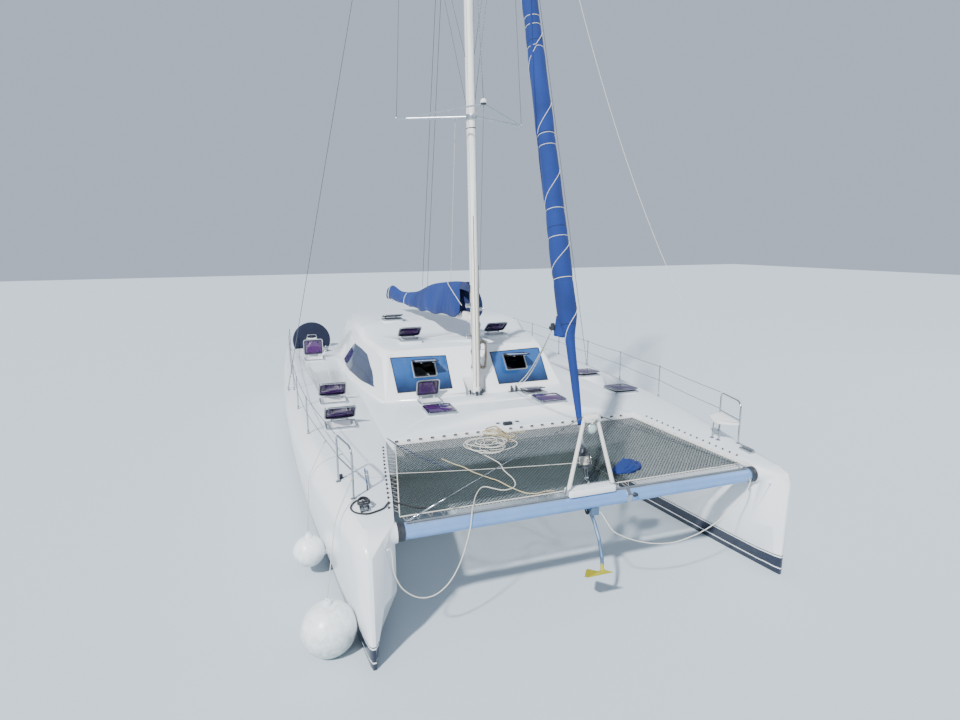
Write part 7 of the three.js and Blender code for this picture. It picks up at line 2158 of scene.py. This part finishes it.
for j in range(16 * 6):
    turn = j / 16
    angle = 2 * pi * turn + 0.8
    radius = 1.0 - 0.05 * turn + 0.14 * sin(1.9 * turn + 1.0) + 0.04 * sin(3 * angle + turn)
    x = -0.56 + 0.055 * sin(2.1 * turn) + 0.25 * radius * cos(angle)
    y = -4.64 + 0.03 * cos(1.6 * turn) + 0.15 * radius * sin(angle)
    over = max(0.0, min(1.0, (-0.4 - x) / 0.16))
    heap.append((x, y, net_z(y) + 0.018 + 0.125 * over * over * (3 - 2 * over) + 0.0165 * turn))
heap += [(-0.3, -4.56, heap[-1][2] - 0.03), (-0.21, -4.42, net_z(-4.42) + 0.03),
    (-0.13, -4.38, net_z(-4.38) + 0.017), (0.0, -4.42, net_z(-4.42) + 0.016)]
loose_cord("rope_pile_beige", smooth_points(heap, 0.02), 0.014, beige_braid)

# Furling line. White braid runs taut from the drum to a block at the foot of the starboard pulpit.
FURLING_BLOCK = (-3.08, -5.32)
block_deck = deck_height("starboard", *FURLING_BLOCK)
line_end = Vector((*FURLING_BLOCK, block_deck + 0.042))
line_start = Vector((-0.105, -6.52, 1.955))
dress(tube("furling_line", [line_start.lerp(line_end, j / 30) - Vector((0, 0, 0.02 * sin(pi * j / 30)))
            for j in range(31)], 0.0038, 8, 0.03), rope_white)
furling_metal = [block("shell", (0.06, 0.022, 0.056), at(FURLING_BLOCK[0] - 0.008, FURLING_BLOCK[1],
            block_deck + 0.036), 0.008),
    block("base", (0.074, 0.04, 0.014), at(FURLING_BLOCK[0] - 0.008, FURLING_BLOCK[1], block_deck + 0.003),
        0.004)]
dress(joined("furling_line_block", furling_metal), cast_black)

# Foot rail. A low blue-grey coated tube stands on two feet along the inner edge of the starboard foredeck.
rail_ends = [(-2.748, -5.2), (-2.795, -5.78)]
rail_route = [(x, y, deck_height("starboard", x, y) + up) for (x, y), up in (
    (rail_ends[0], -0.006), (rail_ends[0], 0.05), (rail_ends[1], 0.05), (rail_ends[1], -0.006))]
blue_coating = mottled("blue_grey_powder_coat", "#5C7596", "#4A6080", {}, 0.1, 0.003, 0.0002, (0.35, 0.5))
dress(tube("foredeck_foot_rail", bent(rail_route, 0.03), 0.011, 14), blue_coating)

# Mast lines. A brown halyard tail hangs coiled from a cleat on the mast's port side, and a slack white spare
# halyard comes down from the masthead to the port pulpit.
coil = [(0.135, -1.7, 2.9), (0.15, -1.715, 2.88)]
for j in range(12 * 8 + 1):
    angle = 2 * pi * j / 12
    turn = j / 12
    reach = 0.07 + 0.01 * sin(1.7 * turn)
    coil.append((0.192 + reach * sin(angle), -1.79 + 0.0125 * turn + 0.006 * sin(angle * 0.5),
            2.52 + (0.2 + 0.025 * sin(2.6 * turn)) * max(-1.0, min(1.0, 2.0 * cos(angle)))
            + reach * cos(angle)))
coil += [(0.24, -1.665, 2.765), (0.276, -1.68, 2.705), (0.285, -1.735, 2.66), (0.258, -1.8, 2.642),
    (0.195, -1.826, 2.64), (0.132, -1.8, 2.638), (0.108, -1.74, 2.64), (0.112, -1.69, 2.64)]
loose_cord("halyard_coil", smooth_points(coil, 0.025), 0.011, brown_rope)
halyard_top, halyard_end = Vector((0.06, mast_y(17.55) - 0.15, 17.55)), Vector((2.993, -5.965, 2.35))
HALYARD_SAG = 2.25
spare = [halyard_top.lerp(halyard_end, j / 60) - Vector((0, 0, HALYARD_SAG * 4 * (j / 60) * (1 - j / 60)))
    for j in range(61)]
dress(tube("spare_halyard", spare, 0.005, 6, 0.04), rope_white)
bpy.context.view_layer.update()
